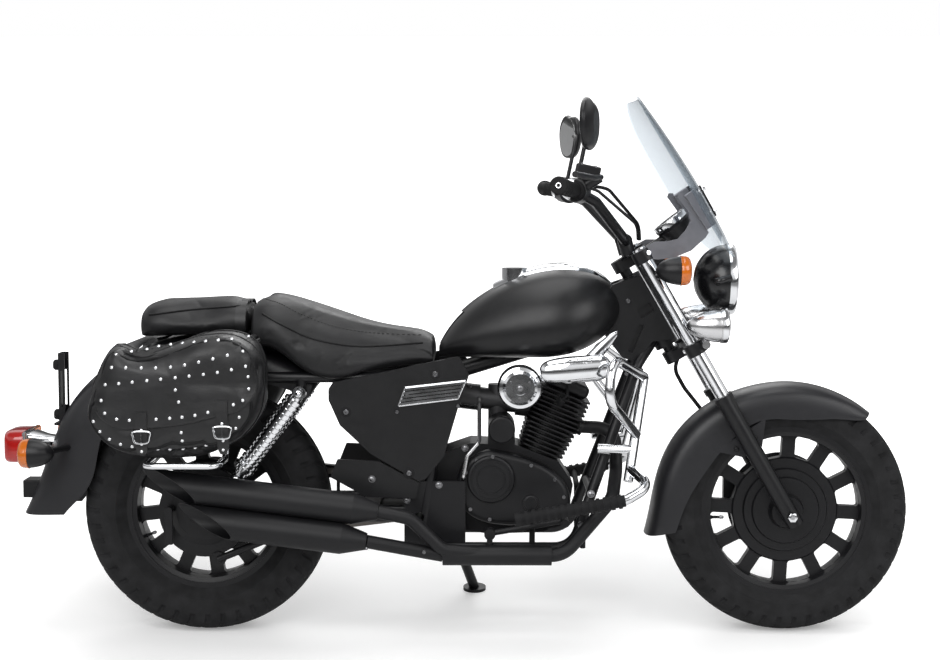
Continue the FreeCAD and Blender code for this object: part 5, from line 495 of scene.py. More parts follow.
@dataclass
class Draft:
    """A mesh being drawn, in the upright machine's frame."""
    points: list[Vector] = field(default_factory=list)
    faces: list[tuple[int, ...]] = field(default_factory=list)

    def add(self, points: Iterable[Point], faces: Iterable[Sequence[int]]) -> "Draft":
        """Adds points and the faces between them.

        Args:
            points: new points.
            faces: index tuples into them.
        Returns:
            This draft.
        """
        base = len(self.points)
        self.points += [Vector(point) for point in points]
        self.faces += [tuple(base + index for index in face) for face in faces]
        return self

    def rings(self, rings: Sequence[Sequence[Point]], capped: bool = True, closed: bool = True) -> "Draft":
        """Skins equal rings of points one after another.

        Args:
            rings: the rings.
            capped: whether both ends are closed with a face.
            closed: whether each ring returns to its start.
        Returns:
            This draft.
        """
        count = len(rings[0])
        points = [point for ring in rings for point in ring]
        faces = []
        last = count if closed else count - 1
        for row in range(len(rings) - 1):
            for index in range(last):
                after = (index + 1) % count
                faces.append((row * count + index, row * count + after,
                              (row + 1) * count + after, (row + 1) * count + index))
        if capped:
            faces.append(tuple(range(count))[::-1])
            faces.append(tuple(range((len(rings) - 1) * count, len(rings) * count)))
        return self.add(points, faces)

    def lathe(self, profile: Sequence[Point], base: Point, direction: Point, steps: int = 32,
              capped: bool = True) -> "Draft":
        """Turns (along, radius) points about an axis.

        Args:
            profile: the half section, with its ends on the axis or not.
            base: the axis's start.
            direction: the way along it.
            steps: sides of the round.
            capped: whether both ends are closed.
        Returns:
            This draft.
        """
        turn = Vector(direction).to_track_quat("Z", "Y").to_matrix()
        rings = []
        for along, radius in profile:
            rings.append([Vector(base) + turn @ Vector((radius * math.cos(TURN * i / steps),
                                                        radius * math.sin(TURN * i / steps), along))
                          for i in range(steps)])
        return self.rings(rings, capped=capped)

    def rod(self, start: Point, end: Point, radius: float, steps: int = 16) -> "Draft":
        """A round bar with slightly rounded ends."""
        reach = (Vector(end) - Vector(start)).length
        soft = min(radius, reach / 2) * 0.18
        profile = [(0, radius - soft), (soft, radius), (reach - soft, radius), (reach, radius - soft)]
        return self.lathe(profile, start, Vector(end) - Vector(start), steps)

    def pipe(self, path: Sequence[Point], radius: float, steps: int = 10, closed: bool = False) -> "Draft":
        """A round tube along a path of close points.

        Args:
            path: the points of its middle line.
            radius: its radius.
            steps: sides of the round.
            closed: whether it returns to its start.
        Returns:
            This draft.
        """
        line = [Vector(point) for point in path]
        count = len(line)
        rings = []
        normal = None
        for index, point in enumerate(line):
            before = line[index - 1] if index or closed else point
            after = line[(index + 1) % count] if index < count - 1 or closed else point
            along = (after - before).normalized()
            if normal is None:
                normal = along.orthogonal().normalized()
            normal = (normal - along * normal.dot(along)).normalized()
            other = along.cross(normal)
            angles = [TURN * i / steps for i in range(steps)]
            rings.append([point + (normal * math.cos(angle) + other * math.sin(angle)) * radius
                          for angle in angles])
        if closed:
            return self.rings(rings + rings[:1], capped=False)
        return self.rings(rings)

    def prism(self, outline: Sequence[Point], depth: Point) -> "Draft":
        """An outline pushed along a vector."""
        first = [Vector(point) for point in outline]
        return self.rings([first, [point + Vector(depth) for point in first]])

    def dome(self, centre: Point, outward: Point, radius: float, height: float, steps: int = 12) -> "Draft":
        """A round stud's head: a low dome standing on a surface."""
        profile = [(0, radius)]
        for index in range(1, 5):
            angle = TURN / 4 * index / 4
            profile.append((height * math.sin(angle), max(radius * math.cos(angle), radius * 0.02)))
        return self.lathe(profile, centre, outward, steps)

    def hex_head(self, centre: Point, outward: Point, radius: float, height: float) -> "Draft":
        """A bolt's head with a washer under it."""
        self.lathe([(0, radius * 1.35), (height * 0.25, radius * 1.35)], centre, outward, 20)
        return self.lathe([(height * 0.25, radius), (height * 0.9, radius), (height, radius * 0.86)],
                          centre, Vector(outward).normalized(), 6)

    def socket_head(self, centre: Point, outward: Point, radius: float, height: float) -> "Draft":
        """A round screw head with a sunk middle."""
        profile = [(0, radius), (height * 0.8, radius), (height, radius * 0.85), (height, radius * 0.5),
                   (height * 0.4, radius * 0.46)]
        return self.lathe(profile, centre, outward, 16)

    def box(self, centre: Point, half: Point, soft: float = 0.0) -> "Draft":
        """A block, its edges eased when asked."""
        made = bmesh.new()
        bmesh.ops.create_cube(made, size=2)
        for vertex in made.verts:
            vertex.co = Vector(vertex.co[i] * half[i] for i in range(3)) + Vector(centre)
        if soft:
            bmesh.ops.bevel(made, geom=made.edges[:], offset=soft, segments=2, affect="EDGES")
        points = [vertex.co.copy() for vertex in made.verts]
        made.verts.index_update()
        faces = [[vertex.index for vertex in face.verts] for face in made.faces]
        made.free()
        return self.add(points, faces)

    def mirrored(self) -> "Draft":
        """The same mesh on the machine's other side."""
        return Draft([Vector((p.x, -p.y, p.z)) for p in self.points], [face[::-1] for face in self.faces])

    def both(self) -> "Draft":
        """This mesh and its mirror image."""
        other = self.mirrored()
        return Draft(list(self.points), list(self.faces)).add(other.points, other.faces)

    def mesh(self, name: str) -> bpy.types.Mesh:
        """The mesh in the leaned frame, with its normals outward.

        Args:
            name: the mesh's name.
        Returns:
            The mesh.
        """
        mesh = bpy.data.meshes.new(name)
        mesh.from_pydata([machine.matrix @ point for point in self.points], [], self.faces)
        work = bmesh.new()
        work.from_mesh(mesh)
        bmesh.ops.remove_doubles(work, verts=work.verts, dist=1e-6)
        bmesh.ops.recalc_face_normals(work, faces=work.faces)
        work.to_mesh(mesh)
        work.free()
        return mesh


def smoothed(mesh: bpy.types.Mesh, degrees: float = 38) -> None:
    """Shades a mesh smooth, with its sharp edges kept."""
    mesh.shade_smooth()
    mesh.set_sharp_from_angle(angle=math.radians(degrees))


def piece(name: str, draft: Draft | bpy.types.Mesh, body: str, finish: str,
          replaces: Sequence[str] = (), degrees: float = 38) -> bpy.types.Object:
    """Puts a mesh on its body with its finish.

    Args:
        name: the piece's name.
        draft: its mesh, drawn or done.
        body: the CAD body that it rides on.
        finish: the finish's key.
        replaces: CAD nodes that it stands for.
        degrees: the turn from which an edge is sharp.
    Returns:
        The object.
    """
    mesh = draft.mesh(name) if isinstance(draft, Draft) else draft
    smoothed(mesh, degrees)
    made = bpy.data.objects.new(name, mesh)
    bpy.context.scene.collection.objects.link(made)
    mesh.materials.clear()
    mesh.materials.append(Palette.get(finish))
    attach(made, body)
    if replaces:
        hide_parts(*replaces)
    log.info("%s: %d faces", name, len(mesh.polygons))
    return made


def spline(points: Sequence[Point], count: int, closed: bool = False) -> list[Vector]:
    """A smooth line through points.

    Args:
        points: the points that it passes.
        count: how many points come back.
        closed: whether it returns to its start.
    Returns:
        Points along it.
    """
    knots = [Vector(point) for point in points]
    if closed:
        knots = [knots[-1], *knots, knots[0], knots[1]]
    else:
        knots = [knots[0] * 2 - knots[1], *knots, knots[-1] * 2 - knots[-2]]
    spans = len(knots) - 3
    line = []
    for index in range(count):
        place = spans * index / (count if closed else count - 1)
        span = min(int(place), spans - 1)
        t = place - span
        a, b, c, d = knots[span:span + 4]
        line.append(0.5 * ((2 * b) + (c - a) * t + (2 * a - 5 * b + 4 * c - d) * t * t
                           + (3 * b - 3 * c + d - a) * t * t * t))
    return line


def side_line(places: Iterable[Point], count: int, closed: bool = False) -> list[tuple[float, float]]:
    """A smooth line through places in the machine's side plane."""
    line = spline([(x, 0, z) for x, z in places], count, closed)
    return [(point.x, point.z) for point in line]


def drawn_in(place: Point, middle: Point, share: float) -> tuple[float, float]:
    """A place moved towards a middle, which a share of 0 reaches."""
    return middle[0] + (place[0] - middle[0]) * share, middle[1] + (place[1] - middle[1]) * share


def round_places(centre: Point, radius: float, count: int, turn: float = 0.0) -> list[tuple[float, float]]:
    """Places spread evenly round a circle in the machine's side plane."""
    angles = [turn + TURN * index / count for index in range(count)]
    return [(centre[0] + radius * math.cos(angle), centre[1] + radius * math.sin(angle)) for angle in angles]


def domed(foot: float, height: float, radius: float, steps: int) -> list[tuple[float, float]]:
    """A dome's half section for a lathe, from its rim nearly to its axis."""
    angles = [TURN / 4 * index / steps for index in range(steps, 0, -1)]
    return [(foot + height * math.cos(angle), radius * math.sin(angle)) for angle in angles]


def mean(points: Sequence[Vector]) -> Vector:
    """The middle of points."""
    return sum(points, Vector()) / len(points)


def scaled(section: Iterable[Point], radius: float) -> list[tuple[float, float]]:
    """A half section whose radii are shares of one radius."""
    return [(along, share * radius) for along, share in section]


def stitched(line: Sequence[Vector], radius: float) -> Draft:
    """A thread on every second span of a line."""
    draft = Draft()
    for first, second in zip(line[::2], line[1::2]):
        draft.rod(first, second, radius, 6)
    return draft


# Where things are in the photograph and on the meshes

@dataclass
class Sight:
    """The photograph's camera in the upright frame, for reading a place off its pixels."""
    place: Point = (0.6764, -4.028, 1.070)
    aim: Point = (-0.0062, 1.0, -0.0799)
    focal_pixels: float = 1629.5
    width: int = 940
    height: int = 660

    def axes(self) -> tuple[Vector, Vector, Vector]:
        """The camera's right, its up and its aim."""
        aim = Vector(self.aim).normalized()
        right = aim.cross(Vector((0, 0, 1))).normalized()
        return right, right.cross(aim), aim

    def way(self, pixel: Point) -> Vector:
        """The direction from the camera through a pixel.

        Args:
            pixel: its place in the photograph.
        Returns:
            The direction.
        """
        right, up, aim = self.axes()
        across = (pixel[0] - self.width / 2) / self.focal_pixels
        down = (pixel[1] - self.height / 2) / self.focal_pixels
        return (aim + right * across - up * down).normalized()

    def at(self, pixel: Point, line: float) -> Vector:
        """The point behind a pixel at a distance from the machine's middle.

        Args:
            pixel: its place in the photograph.
            line: the point's Y.
        Returns:
            The point.
        """
        way = self.way(pixel)
        start = Vector(self.place)
        return start + way * ((line - start.y) / way.y)


sight = Sight()


class Surface:
    """Finds points on meshes in the upright frame."""
    draws: ClassVar[int] = 20
    draw: ClassVar[float] = 0.01
    far: ClassVar[float] = 1.5

    def __init__(self, *meshes: bpy.types.Mesh) -> None:
        """Reads the meshes.

        Args:
            meshes: meshes in the leaned frame.
        """
        points: list[Vector] = []
        faces: list[tuple[int, ...]] = []
        for mesh in meshes:
            base = len(points)
            points += [machine.inverse @ vertex.co for vertex in mesh.vertices]
            faces += [tuple(base + index for index in face.vertices) for face in mesh.polygons]
        self.tree = BVHTree.FromPolygons(points, faces)
        self.middle = [(min(p[i] for p in points) + max(p[i] for p in points)) / 2 for i in range(3)]

    @classmethod
    def of(cls, *nodes: str) -> "Surface":
        """The surface of CAD nodes."""
        return cls(*(frame["nodes"][node].data for node in nodes))

    def hit(self, start: Point, way: Point) -> tuple[Vector, Vector]:
        """The first point that a ray meets, and the surface's way out there.

        Args:
            start: the ray's start.
            way: its direction.
        Returns:
            The point and the normal that faces the ray.
        """
        point, normal, _, _ = self.tree.ray_cast(Vector(start), Vector(way))
        if point is None:
            raise ValueError(f"no surface from {tuple(start)} along {tuple(way)}")
        return point, normal if normal.dot(Vector(way)) < 0 else -normal

    def seen(self, pixel: Point) -> tuple[Vector, Vector]:
        """The point that a pixel of the photograph shows."""
        return self.hit(sight.place, sight.way(pixel))

    def beside(self, x: float, z: float, side: Side = Side.RIGHT) -> tuple[Vector, Vector]:
        """The outermost point on one side at an X and a Z, drawn in a little where the mesh ends.

        Args:
            x: the place's X.
            z: its Z.
            side: the side that it is on.
        Returns:
            The point and the surface's way out there.
        """
        for step in range(self.draws + 1):
            near_x, near_z = drawn_in((x, z), (self.middle[0], self.middle[2]), 1 - self.draw * step)
            start = Vector((near_x, side.value * self.far, near_z))
            point, normal, _, _ = self.tree.ray_cast(start, Vector((0, -side.value, 0)))
            if point is not None:
                return point, normal if normal.y * side.value > 0 else -normal
        raise ValueError(f"no surface beside {x}, {z}")

    def over(self, path: Iterable[Point], lift: float) -> list[Vector]:
        """A line of (x, z) laid on the surface's right side."""
        return [point + normal * lift for point, normal in (self.beside(x, z) for x, z in path)]


def flat(pixels: Iterable[Point], line: float) -> list[tuple[float, float]]:
    """The X and Z behind pixels of the photograph, at a distance from the middle."""
    return [(point.x, point.z) for point in (sight.at(pixel, line) for pixel in pixels)]


# Wheels

@dataclass
class Tyre:
    """A road tyre with slanted shoulder blocks, a zigzag middle groove and ribbed walls."""
    node: str
    body: str
    centre: Vector
    blocks: int = 46
    columns: int = 8
    depth: float = 0.0042
    skew: float = 0.9

    # width share, share of the height over the bead, groove: 0 none, 1 shoulder, 2 middle
    section: ClassVar[tuple] = (
        (0.66, 0.0, 0), (0.70, 0.05, 0), (0.84, 0.13, 0), (0.93, 0.24, 0), (0.95, 0.25, 0),
        (0.965, 0.275, 0), (0.955, 0.285, 0), (0.985, 0.38, 0), (1.0, 0.50, 0), (0.992, 0.60, 0),
        (0.99, 0.64, 1), (0.965, 0.71, 1), (0.93, 0.77, 1), (0.86, 0.84, 1), (0.76, 0.895, 1),
        (0.64, 0.937, 1), (0.50, 0.965, 1), (0.40, 0.978, 1), (0.30, 0.987, 0), (0.22, 0.992, 0),
        (0.12, 0.997, 0), (0.07, 0.999, 2), (0.0, 1.0, 2))

    def build(self) -> None:
        """Skins the section round the wheel, with the grooves sunk."""
        low, high = machine.box(self.node)
        outer = (high.z - low.z) / 2
        half = (high.y - low.y) / 2
        bead = min(math.hypot(p.x - self.centre.x, p.z - self.centre.z) for p in machine.points(self.node))
        rows = [*self.section, *[(-w, h, g) for w, h, g in self.section[-2::-1]]]
        count = self.blocks * self.columns
        rings = []
        for width, height, groove in rows:
            ring = []
            for index in range(count):
                cut = groove == 2 or (groove == 1 and index % self.columns in (0, 1))
                shift = self.skew * (1 - abs(width)) * (1 if width > 0 else -1)
                wave = math.sin(TURN * index / self.columns) * half * 0.10 if groove == 2 else 0.0
                angle = TURN * (index / self.columns + shift) / self.blocks
                sunk = self.depth if cut else 0.0
                reach = bead + (outer - bead) * height - sunk * (0.4 + 0.6 * height)
                line = width * (half - (sunk if abs(width) > 0.9 else 0.0)) + wave
                ring.append(self.centre + Vector((reach * math.cos(angle), line, reach * math.sin(angle))))
            rings.append(ring)
        draft = Draft().rings(rings + rings[:1], capped=False)
        piece(self.node + "_treaded", draft, self.body, "tyre_rubber", [self.node], 30)


@dataclass
class Wheels:
    """Both tyres, the valve stems, and the bolts of hubs, disc and sprocket."""
    stem_length: float = 0.034
    stem_radius: float = 0.0036
    front_stem: float = math.radians(186)
    rear_stem: float = math.radians(205)
    disc_circle: float = 0.046
    sprocket_circle: float = 0.062
    bolts: int = 6

    def build(self) -> None:
        """Makes the pieces of both wheels."""
        Tyre("front_tyre", "front_wheel_set", machine.front_axle).build()
        Tyre("rear_tyre", "rear_wheel_set", machine.rear_axle, 44).build()
        self.stem("front_valve", "front_wheel_set", "front_tyre", machine.front_axle, self.front_stem)
        self.stem("rear_valve", "rear_wheel_set", "rear_tyre", machine.rear_axle, self.rear_stem)
        self.disc_bolts()

    def stem(self, name: str, body: str, tyre: str, axle: Vector, angle: float) -> None:
        """A rubber valve stem with its cap, inside the rim."""
        bead = min(math.hypot(p.x - axle.x, p.z - axle.z) for p in machine.points(tyre))
        inward = Vector((-math.cos(angle), 0, -math.sin(angle)))
        tilt = (inward + Vector((0, -0.55, 0))).normalized()
        root = axle - inward * (bead - 0.012) - Vector((0, 0.012, 0))
        tip = root + tilt * self.stem_length
        draft = Draft().lathe(scaled([(0, 1.8), (0.008, 1.5), (0.014, 1), (self.stem_length, 0.9)],
                                     self.stem_radius), root, tilt, 12)
        piece(name, draft, body, "rubber")
        profile = scaled([(-0.001, 1.2), (0.006, 1.15), (0.008, 0.8)], self.stem_radius)
        cap = Draft().lathe(profile, tip, tilt, 12)
        piece(name + "_cap", cap, body, "steel")

    def disc_bolts(self) -> None:
        """Bolts that hold the brake disc to its carrier and the sprocket to its hub."""
        _, high = machine.box("brake_disc")
        draft = Draft()
        middle = (machine.front_axle.x, machine.front_axle.z)
        for x, z in round_places(middle, self.disc_circle, self.bolts, 0.3):
            draft.socket_head((x, high.y - 0.001, z), (0, 1, 0), 0.0062, 0.005)
        piece("disc_bolts", draft, "front_wheel_set", "steel")
        surface = Surface.of("rear_sprocket")
        draft = Draft()
        for x, z in round_places((0, machine.rear_axle.z), self.sprocket_circle, self.bolts, TURN / 12):
            point, normal = surface.beside(x, z, Side.LEFT)
            draft.hex_head(point - normal * 0.0006, normal, 0.007, 0.006)
        piece("sprocket_bolts", draft, "rear_wheel_set", "steel")


# Upholstery

@dataclass
class Upholstery:
    """Turns a CAD cushion into stuffed leather by remeshing it and blowing it up as cloth."""
    node: str
    voxel: float = 0.006
    shrink: float = 0.004
    cap: float = 0.008
    frames: int = 20
    pressure: float = 4.0
    firm_below: float = -0.25
    smoothing: float = 0.6
    passes: int = 6

    def mesh(self, name: str) -> bpy.types.Mesh:
        """The stuffed mesh.

        Args:
            name: the mesh's name.
        Returns:
            The mesh, in the leaned frame.
        """
        scene = bpy.context.scene
        mesh = frame["nodes"][self.node].data.copy()
        mesh.name = name
        work = bpy.data.objects.new(name + "_work", mesh)
        scene.collection.objects.link(work)
        remesh = work.modifiers.new("remesh", "REMESH")
        remesh.mode = "VOXEL"
        remesh.voxel_size = self.voxel
        mesh = self.taken(work)
        smooth = work.modifiers.new("smooth", "SMOOTH")
        smooth.factor = self.smoothing
        smooth.iterations = self.passes
        mesh = self.taken(work)
        for vertex, way in zip(mesh.vertices, [vertex.normal.copy() for vertex in mesh.vertices]):
            vertex.co -= way * self.shrink
        self.blow(work)
        mesh = work.data
        bpy.data.objects.remove(work)
        return mesh

    def taken(self, work: bpy.types.Object) -> bpy.types.Mesh:
        """Applies the working object's modifiers."""
        graph = bpy.context.evaluated_depsgraph_get()
        mesh = bpy.data.meshes.new_from_object(work.evaluated_get(graph))
        work.modifiers.clear()
        work.data = mesh
        return mesh

    def blow(self, work: bpy.types.Object) -> None:
        """Runs the cloth and keeps its result within the cap."""
        scene = bpy.context.scene
        start = [vertex.co.copy() for vertex in work.data.vertices]
        firm = work.vertex_groups.new(name="firm")
        held = [vertex.index for vertex in work.data.vertices if vertex.normal.z < self.firm_below]
        firm.add(held, 1.0, "REPLACE")
        cloth = work.modifiers.new("cloth", "CLOTH")
        cloth.settings.use_pressure = True
        cloth.settings.uniform_pressure_force = self.pressure
        cloth.settings.effector_weights.gravity = 0
        cloth.settings.vertex_group_mass = firm.name
        cloth.point_cache.frame_start = 1
        cloth.point_cache.frame_end = self.frames
        for number in range(1, self.frames + 1):
            scene.frame_set(number)
        mesh = self.taken(work)
        for vertex, before in zip(mesh.vertices, start):
            moved = vertex.co - before
            if moved.length > self.cap:
                vertex.co = before + moved.normalized() * self.cap
        scene.frame_set(1)


@dataclass
class Seat:
    """The rider's seat and the pillion pad: stuffed leather, piping, seams and the strap."""
    piping_radius: float = 0.0028
    seam_radius: float = 0.0011
    seat_piping: tuple = ((262, 314), (285, 326), (311, 338), (349, 346), (381, 347), (422, 345))
    seat_top_seam: tuple = ((262, 300), (279, 304), (300, 314), (325, 324), (352, 331), (381, 335), (420, 337))
    pad_piping: tuple = ((146, 316), (180, 312), (215, 309), (240, 307))
    strap_pixels: tuple = (234.0, 244.5)
    strap_thickness: float = 0.0034
    strap_steps: int = 60
    strap_overlap: int = 4
    strap_drop: float = 0.012
    piping_line: float = -0.14
    seam_line: float = -0.12
    lift: float = 0.0002

    def build(self) -> None:
        """Makes the seat and the pad."""
        seat = Upholstery("seat").mesh("seat_cover")
        pad = Upholstery("pillion_pad").mesh("pad_cover")
        self.cushion("seat_cushion", seat, "seat")
        self.cushion("pillion_cushion", pad, "pillion_pad")
        self.trim("seat", Surface(seat), self.seat_piping, self.seat_top_seam)
        self.trim("pad", Surface(pad), self.pad_piping, None)
        self.strap(Surface(pad))

    def cushion(self, name: str, mesh: bpy.types.Mesh, node: str) -> None:
        """One stuffed piece in place of its CAD solid."""
        made = piece(name, mesh, "chassis", "seat_leather", [node], 60)
        fine = made.modifiers.new("fine", "SUBSURF")
        fine.levels = 1
        fine.render_levels = 1

    def trim(self, name: str, surface: Surface, piping: Sequence[Point], seam: Sequence[Point] | None) -> None:
        """Piping and a sewn seam along both sides."""
        cord = Draft().pipe(surface.over(side_line(flat(piping, self.piping_line), 60), self.lift),
                            self.piping_radius, 8)
        piece(name + "_piping", cord.both(), "chassis", "piping")
        if seam:
            laid = surface.over(side_line(flat(seam, self.seam_line), 90), self.lift)
            piece(name + "_stitches", stitched(laid, self.seam_radius).both(), "chassis", "thread")

    def strap(self, surface: Surface) -> None:
        """The pillion's hand strap: a band over the pad's front end."""
        left, right = (sight.at((u, 300), self.seam_line).x for u in self.strap_pixels)
        low, high = machine.box("pillion_pad")
        centre = Vector(((left + right) / 2, 0, (low.z + high.z) / 2 - self.strap_drop))
        rings = []
        for index in range(-self.strap_overlap, self.strap_steps + self.strap_overlap + 1):
            angle = math.pi * index / self.strap_steps
            way = Vector((0, -math.cos(angle), math.sin(angle)))
            try:
                point, normal = surface.hit(centre + way * 0.6, -way)
            except ValueError:
                continue
            out = Vector((0, normal.y, normal.z)).normalized()
            under, above = self.lift, self.strap_thickness
            rings.append([Vector((x, point.y, point.z)) + out * lift
                          for x, lift in ((left, under), (left, above), (right, above), (right, under))])
        piece("pillion_strap", Draft().rings(rings), "chassis", "leather", (), 30)


# Saddlebags

@dataclass
class Saddlebags:
    """Studded leather saddlebags: sagging bodies, flaps, straps with buckles, studs and piping."""
    flap: tuple = ((-0.180, 0.722), (-0.08, 0.741), (0.04, 0.757), (0.146, 0.764), (0.160, 0.735),
                   (0.164, 0.663), (0.160, 0.624), (0.128, 0.590), (0.060, 0.571), (-0.007, 0.556),
                   (-0.090, 0.547), (-0.157, 0.549), (-0.207, 0.590), (-0.200, 0.660))
    flap_middle: Point = (-0.02, 0.655)
    flap_shares: tuple = (0.02, 0.12, 0.25, 0.4, 0.55, 0.7, 0.82, 0.91, 0.965, 0.99, 1.0)
    seam_share: float = 0.965
    piping: tuple = ((0.16, 0.004), (0.52, 0.003), (0.90, 0.004))
    bag_depth: float = 0.128
    flap_thickness: float = 0.005
    stud_radius: float = 0.0046
    stud_height: float = 0.0036
    strap_half: float = 0.0135
    strap_thickness: float = 0.0032
    strap_end: float = 0.486
    strap_places: tuple = (-0.100, 0.0855)
    strap_steps: int = 12
    buckle_half: Point = (0.018, 0.0125)
    buckle_wire: float = 0.0022
    fold_waves: Point = (7, 9, 16)
    fold_depth: float = 0.0028

    def build(self) -> None:
        """Makes both bags, mirrored."""
        mesh = Upholstery("saddlebags", 0.007, 0.006, 0.011, 20, 5.0, -2.0).mesh("bag_cover")
        self.crease(mesh)
        made = piece("saddlebag_bodies", mesh, "chassis", "leather", ["saddlebags"], 60)
        body = Surface(mesh)
        flap = self.make_flap(body)
        flap_piece = piece("bag_flaps", flap.both(), "chassis", "leather", (), 50)
        outer = Surface(mesh, flap_piece.data)
        self.edging(body, outer)
        self.straps(outer)
        self.studs(outer)

    def crease(self, mesh: bpy.types.Mesh) -> None:
        """Presses soft folds into the bag's leather."""
        ways = [vertex.normal.copy() for vertex in mesh.vertices]
        for vertex, way in zip(mesh.vertices, ways):
            here = machine.inverse @ vertex.co
            point = Vector((here.x, abs(here.y), here.z)) * Vector(self.fold_waves)
            fold = noise.fractal(point, 1.0, 2.0, 3)
            vertex.co += way * (fold - 0.3) * self.fold_depth

    def make_flap(self, body: Surface) -> Draft:
        """The flap: a thick sheet that lies on the bag's face, waved and turned over the top."""
        middle = Vector(self.flap_middle)
        outline = [Vector(edge) for edge in side_line(self.flap, 96, closed=True)]
        rings = []
        for share in self.flap_shares:
            ring = []
            for edge in outline:
                x, z = middle + (edge - middle) * share
                point, _ = body.beside(x, z)
                wave = noise.noise(Vector((x * 14, 3.1, z * 26))) * 0.0022 * (1 - share ** 4)
                round_over = 0.0012 if share == 1.0 else 0.0
                ring.append(point - Vector((0, self.flap_thickness + wave - round_over, 0)))
            rings.append(ring)
        rings.append([body.beside(*drawn_in(edge, middle, 0.995))[0] + Vector((0, 0.001, 0))
                      for edge in outline])
        return Draft().rings(rings)

    def edging(self, body: Surface, outer: Surface) -> None:
        """Piping round each bag's outer face and gusset, and a stitched line inside the flap's edge."""
        low, high = machine.box("saddlebags")
        middle = Vector(((low.x + high.x) / 2, 0, (low.z + high.z) / 2))
        draft = Draft()
        for share, radius in self.piping:
            line = (low.y - high.y) / 2 + self.bag_depth * (1 - share)
            ring = []
            for x, z in round_places((0, 0), 1, 96):
                way = Vector((x, 0, z))
                point, _ = body.hit(Vector((middle.x, line, middle.z)) + way * 0.7, -way)
                ring.append(point - way * radius * 0.2)
            draft.pipe(ring, radius, 8, closed=True)
        piece("bag_piping", draft.both(), "chassis", "piping")
        centre = Vector(self.flap_middle)
        edge = [Vector(place) for place in side_line(self.flap, 260, closed=True)]
        laid = outer.over([centre + (place - centre) * self.seam_share for place in edge], 0.0)
        piece("bag_stitches", stitched(laid, 0.0006).both(), "chassis", "thread")

    def straps(self, outer: Surface) -> None:
        """Two straps below each flap with buckles and rivets."""
        leather = Draft()
        chrome = Draft()
        for x in self.strap_places:
            top = 0.612 if x > 0 else 0.585
            drop = (top - self.strap_end) / self.strap_steps
            heights = [top - drop * index for index in range(self.strap_steps + 1)]
            rings = []
            for index, z in enumerate(heights):
                half = self.strap_half * (1.0 if index < 11 else 0.86 if index == 11 else 0.45)
                if index > 9:
                    line = (rings[-1][0].y + rings[-1][1].y) / 2 + 0.0008 + self.strap_thickness / 2
                else:
                    line = outer.beside(x, z)[0].y
                front = line - self.strap_thickness
                rings.append([Vector((x - half, front, z)), Vector((x + half, front, z)),
                              Vector((x + half, line, z)), Vector((x - half, line, z))])
            leather.rings(rings)
            self.buckle(chrome, Vector((x, rings[7][0].y - 0.0025, heights[7])))
            for index in (5, 9, 11):
                chrome.dome((x, rings[index][0].y, heights[index]), (0, -1, 0), 0.0042, 0.003)
        piece("bag_straps", leather.both(), "chassis", "leather", (), 30)
        piece("bag_buckles", chrome.both(), "chassis", "chrome")

    def buckle(self, draft: Draft, centre: Vector) -> None:
        """A D-shaped buckle with its tongue."""
        width, height = self.buckle_half
        corners = [(-width, height), (width, height), (width * 1.02, 0), (width * 0.8, -height * 0.95),
                   (0, -height * 1.15), (-width * 0.8, -height * 0.95), (-width * 1.02, 0)]
        ring = spline([(centre.x + x, centre.y, centre.z + z) for x, z in corners], 40, closed=True)
        draft.pipe(ring, self.buckle_wire, 8, closed=True)
        draft.rod(centre + Vector((0, -0.001, height)), centre + Vector((0, -0.0024, -height)), 0.0016, 8)

    def studs(self, outer: Surface) -> None:
        """Rows of domed studs over the flap and the lower body."""
        rows = [self.row((-0.166, 0.688), (-0.061, 0.687), (0.007, 0.695), (0.133, 0.724), count=10),
                self.row((-0.182, 0.648), (-0.021, 0.665), (0.070, 0.676), (0.140, 0.690), count=11),
                self.row((-0.158, 0.716), (-0.02, 0.738), (0.06, 0.748), (0.135, 0.752), count=11),
                [(0.144, 0.665), (0.145, 0.637), (0.133, 0.612)],
                self.row((-0.191, 0.612), (-0.180, 0.581), (-0.132, 0.567), (-0.007, 0.574), (0.060, 0.587),
                         (0.112, 0.603), count=12),
                [(-0.020, 0.637), (-0.013, 0.609)],
                [(-0.009, 0.538), (-0.009, 0.517)],
                self.row((-0.213, 0.562), (-0.200, 0.540), (-0.155, 0.511), (-0.079, 0.498), (-0.007, 0.495),
                         (0.042, 0.504), (0.109, 0.540), (0.124, 0.573), count=15)]
        draft = Draft()
        for row in rows:
            for x, z in row:
                if min(abs(x - place) for place in self.strap_places) < self.strap_half + 0.004 and z < 0.60:
                    continue
                point, normal = outer.beside(x, z)
                draft.dome(point - normal * 0.0003, normal, self.stud_radius, self.stud_height, 14)
        piece("bag_studs", draft.both(), "chassis", "chrome", (), 60)

    def row(self, *points: Point, count: int) -> list[tuple[float, float]]:
        """Evenly spread places along a smooth line.

        Args:
            points: (x, z) points that the line passes.
            count: how many places.
        Returns:
            The places.
        """
        line = side_line(points, 200)
        lengths = [0.0]
        for before, after in zip(line, line[1:]):
            lengths.append(lengths[-1] + math.dist(before, after))
        places = []
        for index in range(count):
            wanted = lengths[-1] * index / (count - 1)
            near = min(range(len(line)), key=lambda i: abs(lengths[i] - wanted))
            places.append(line[near])
        return places


# Lamps

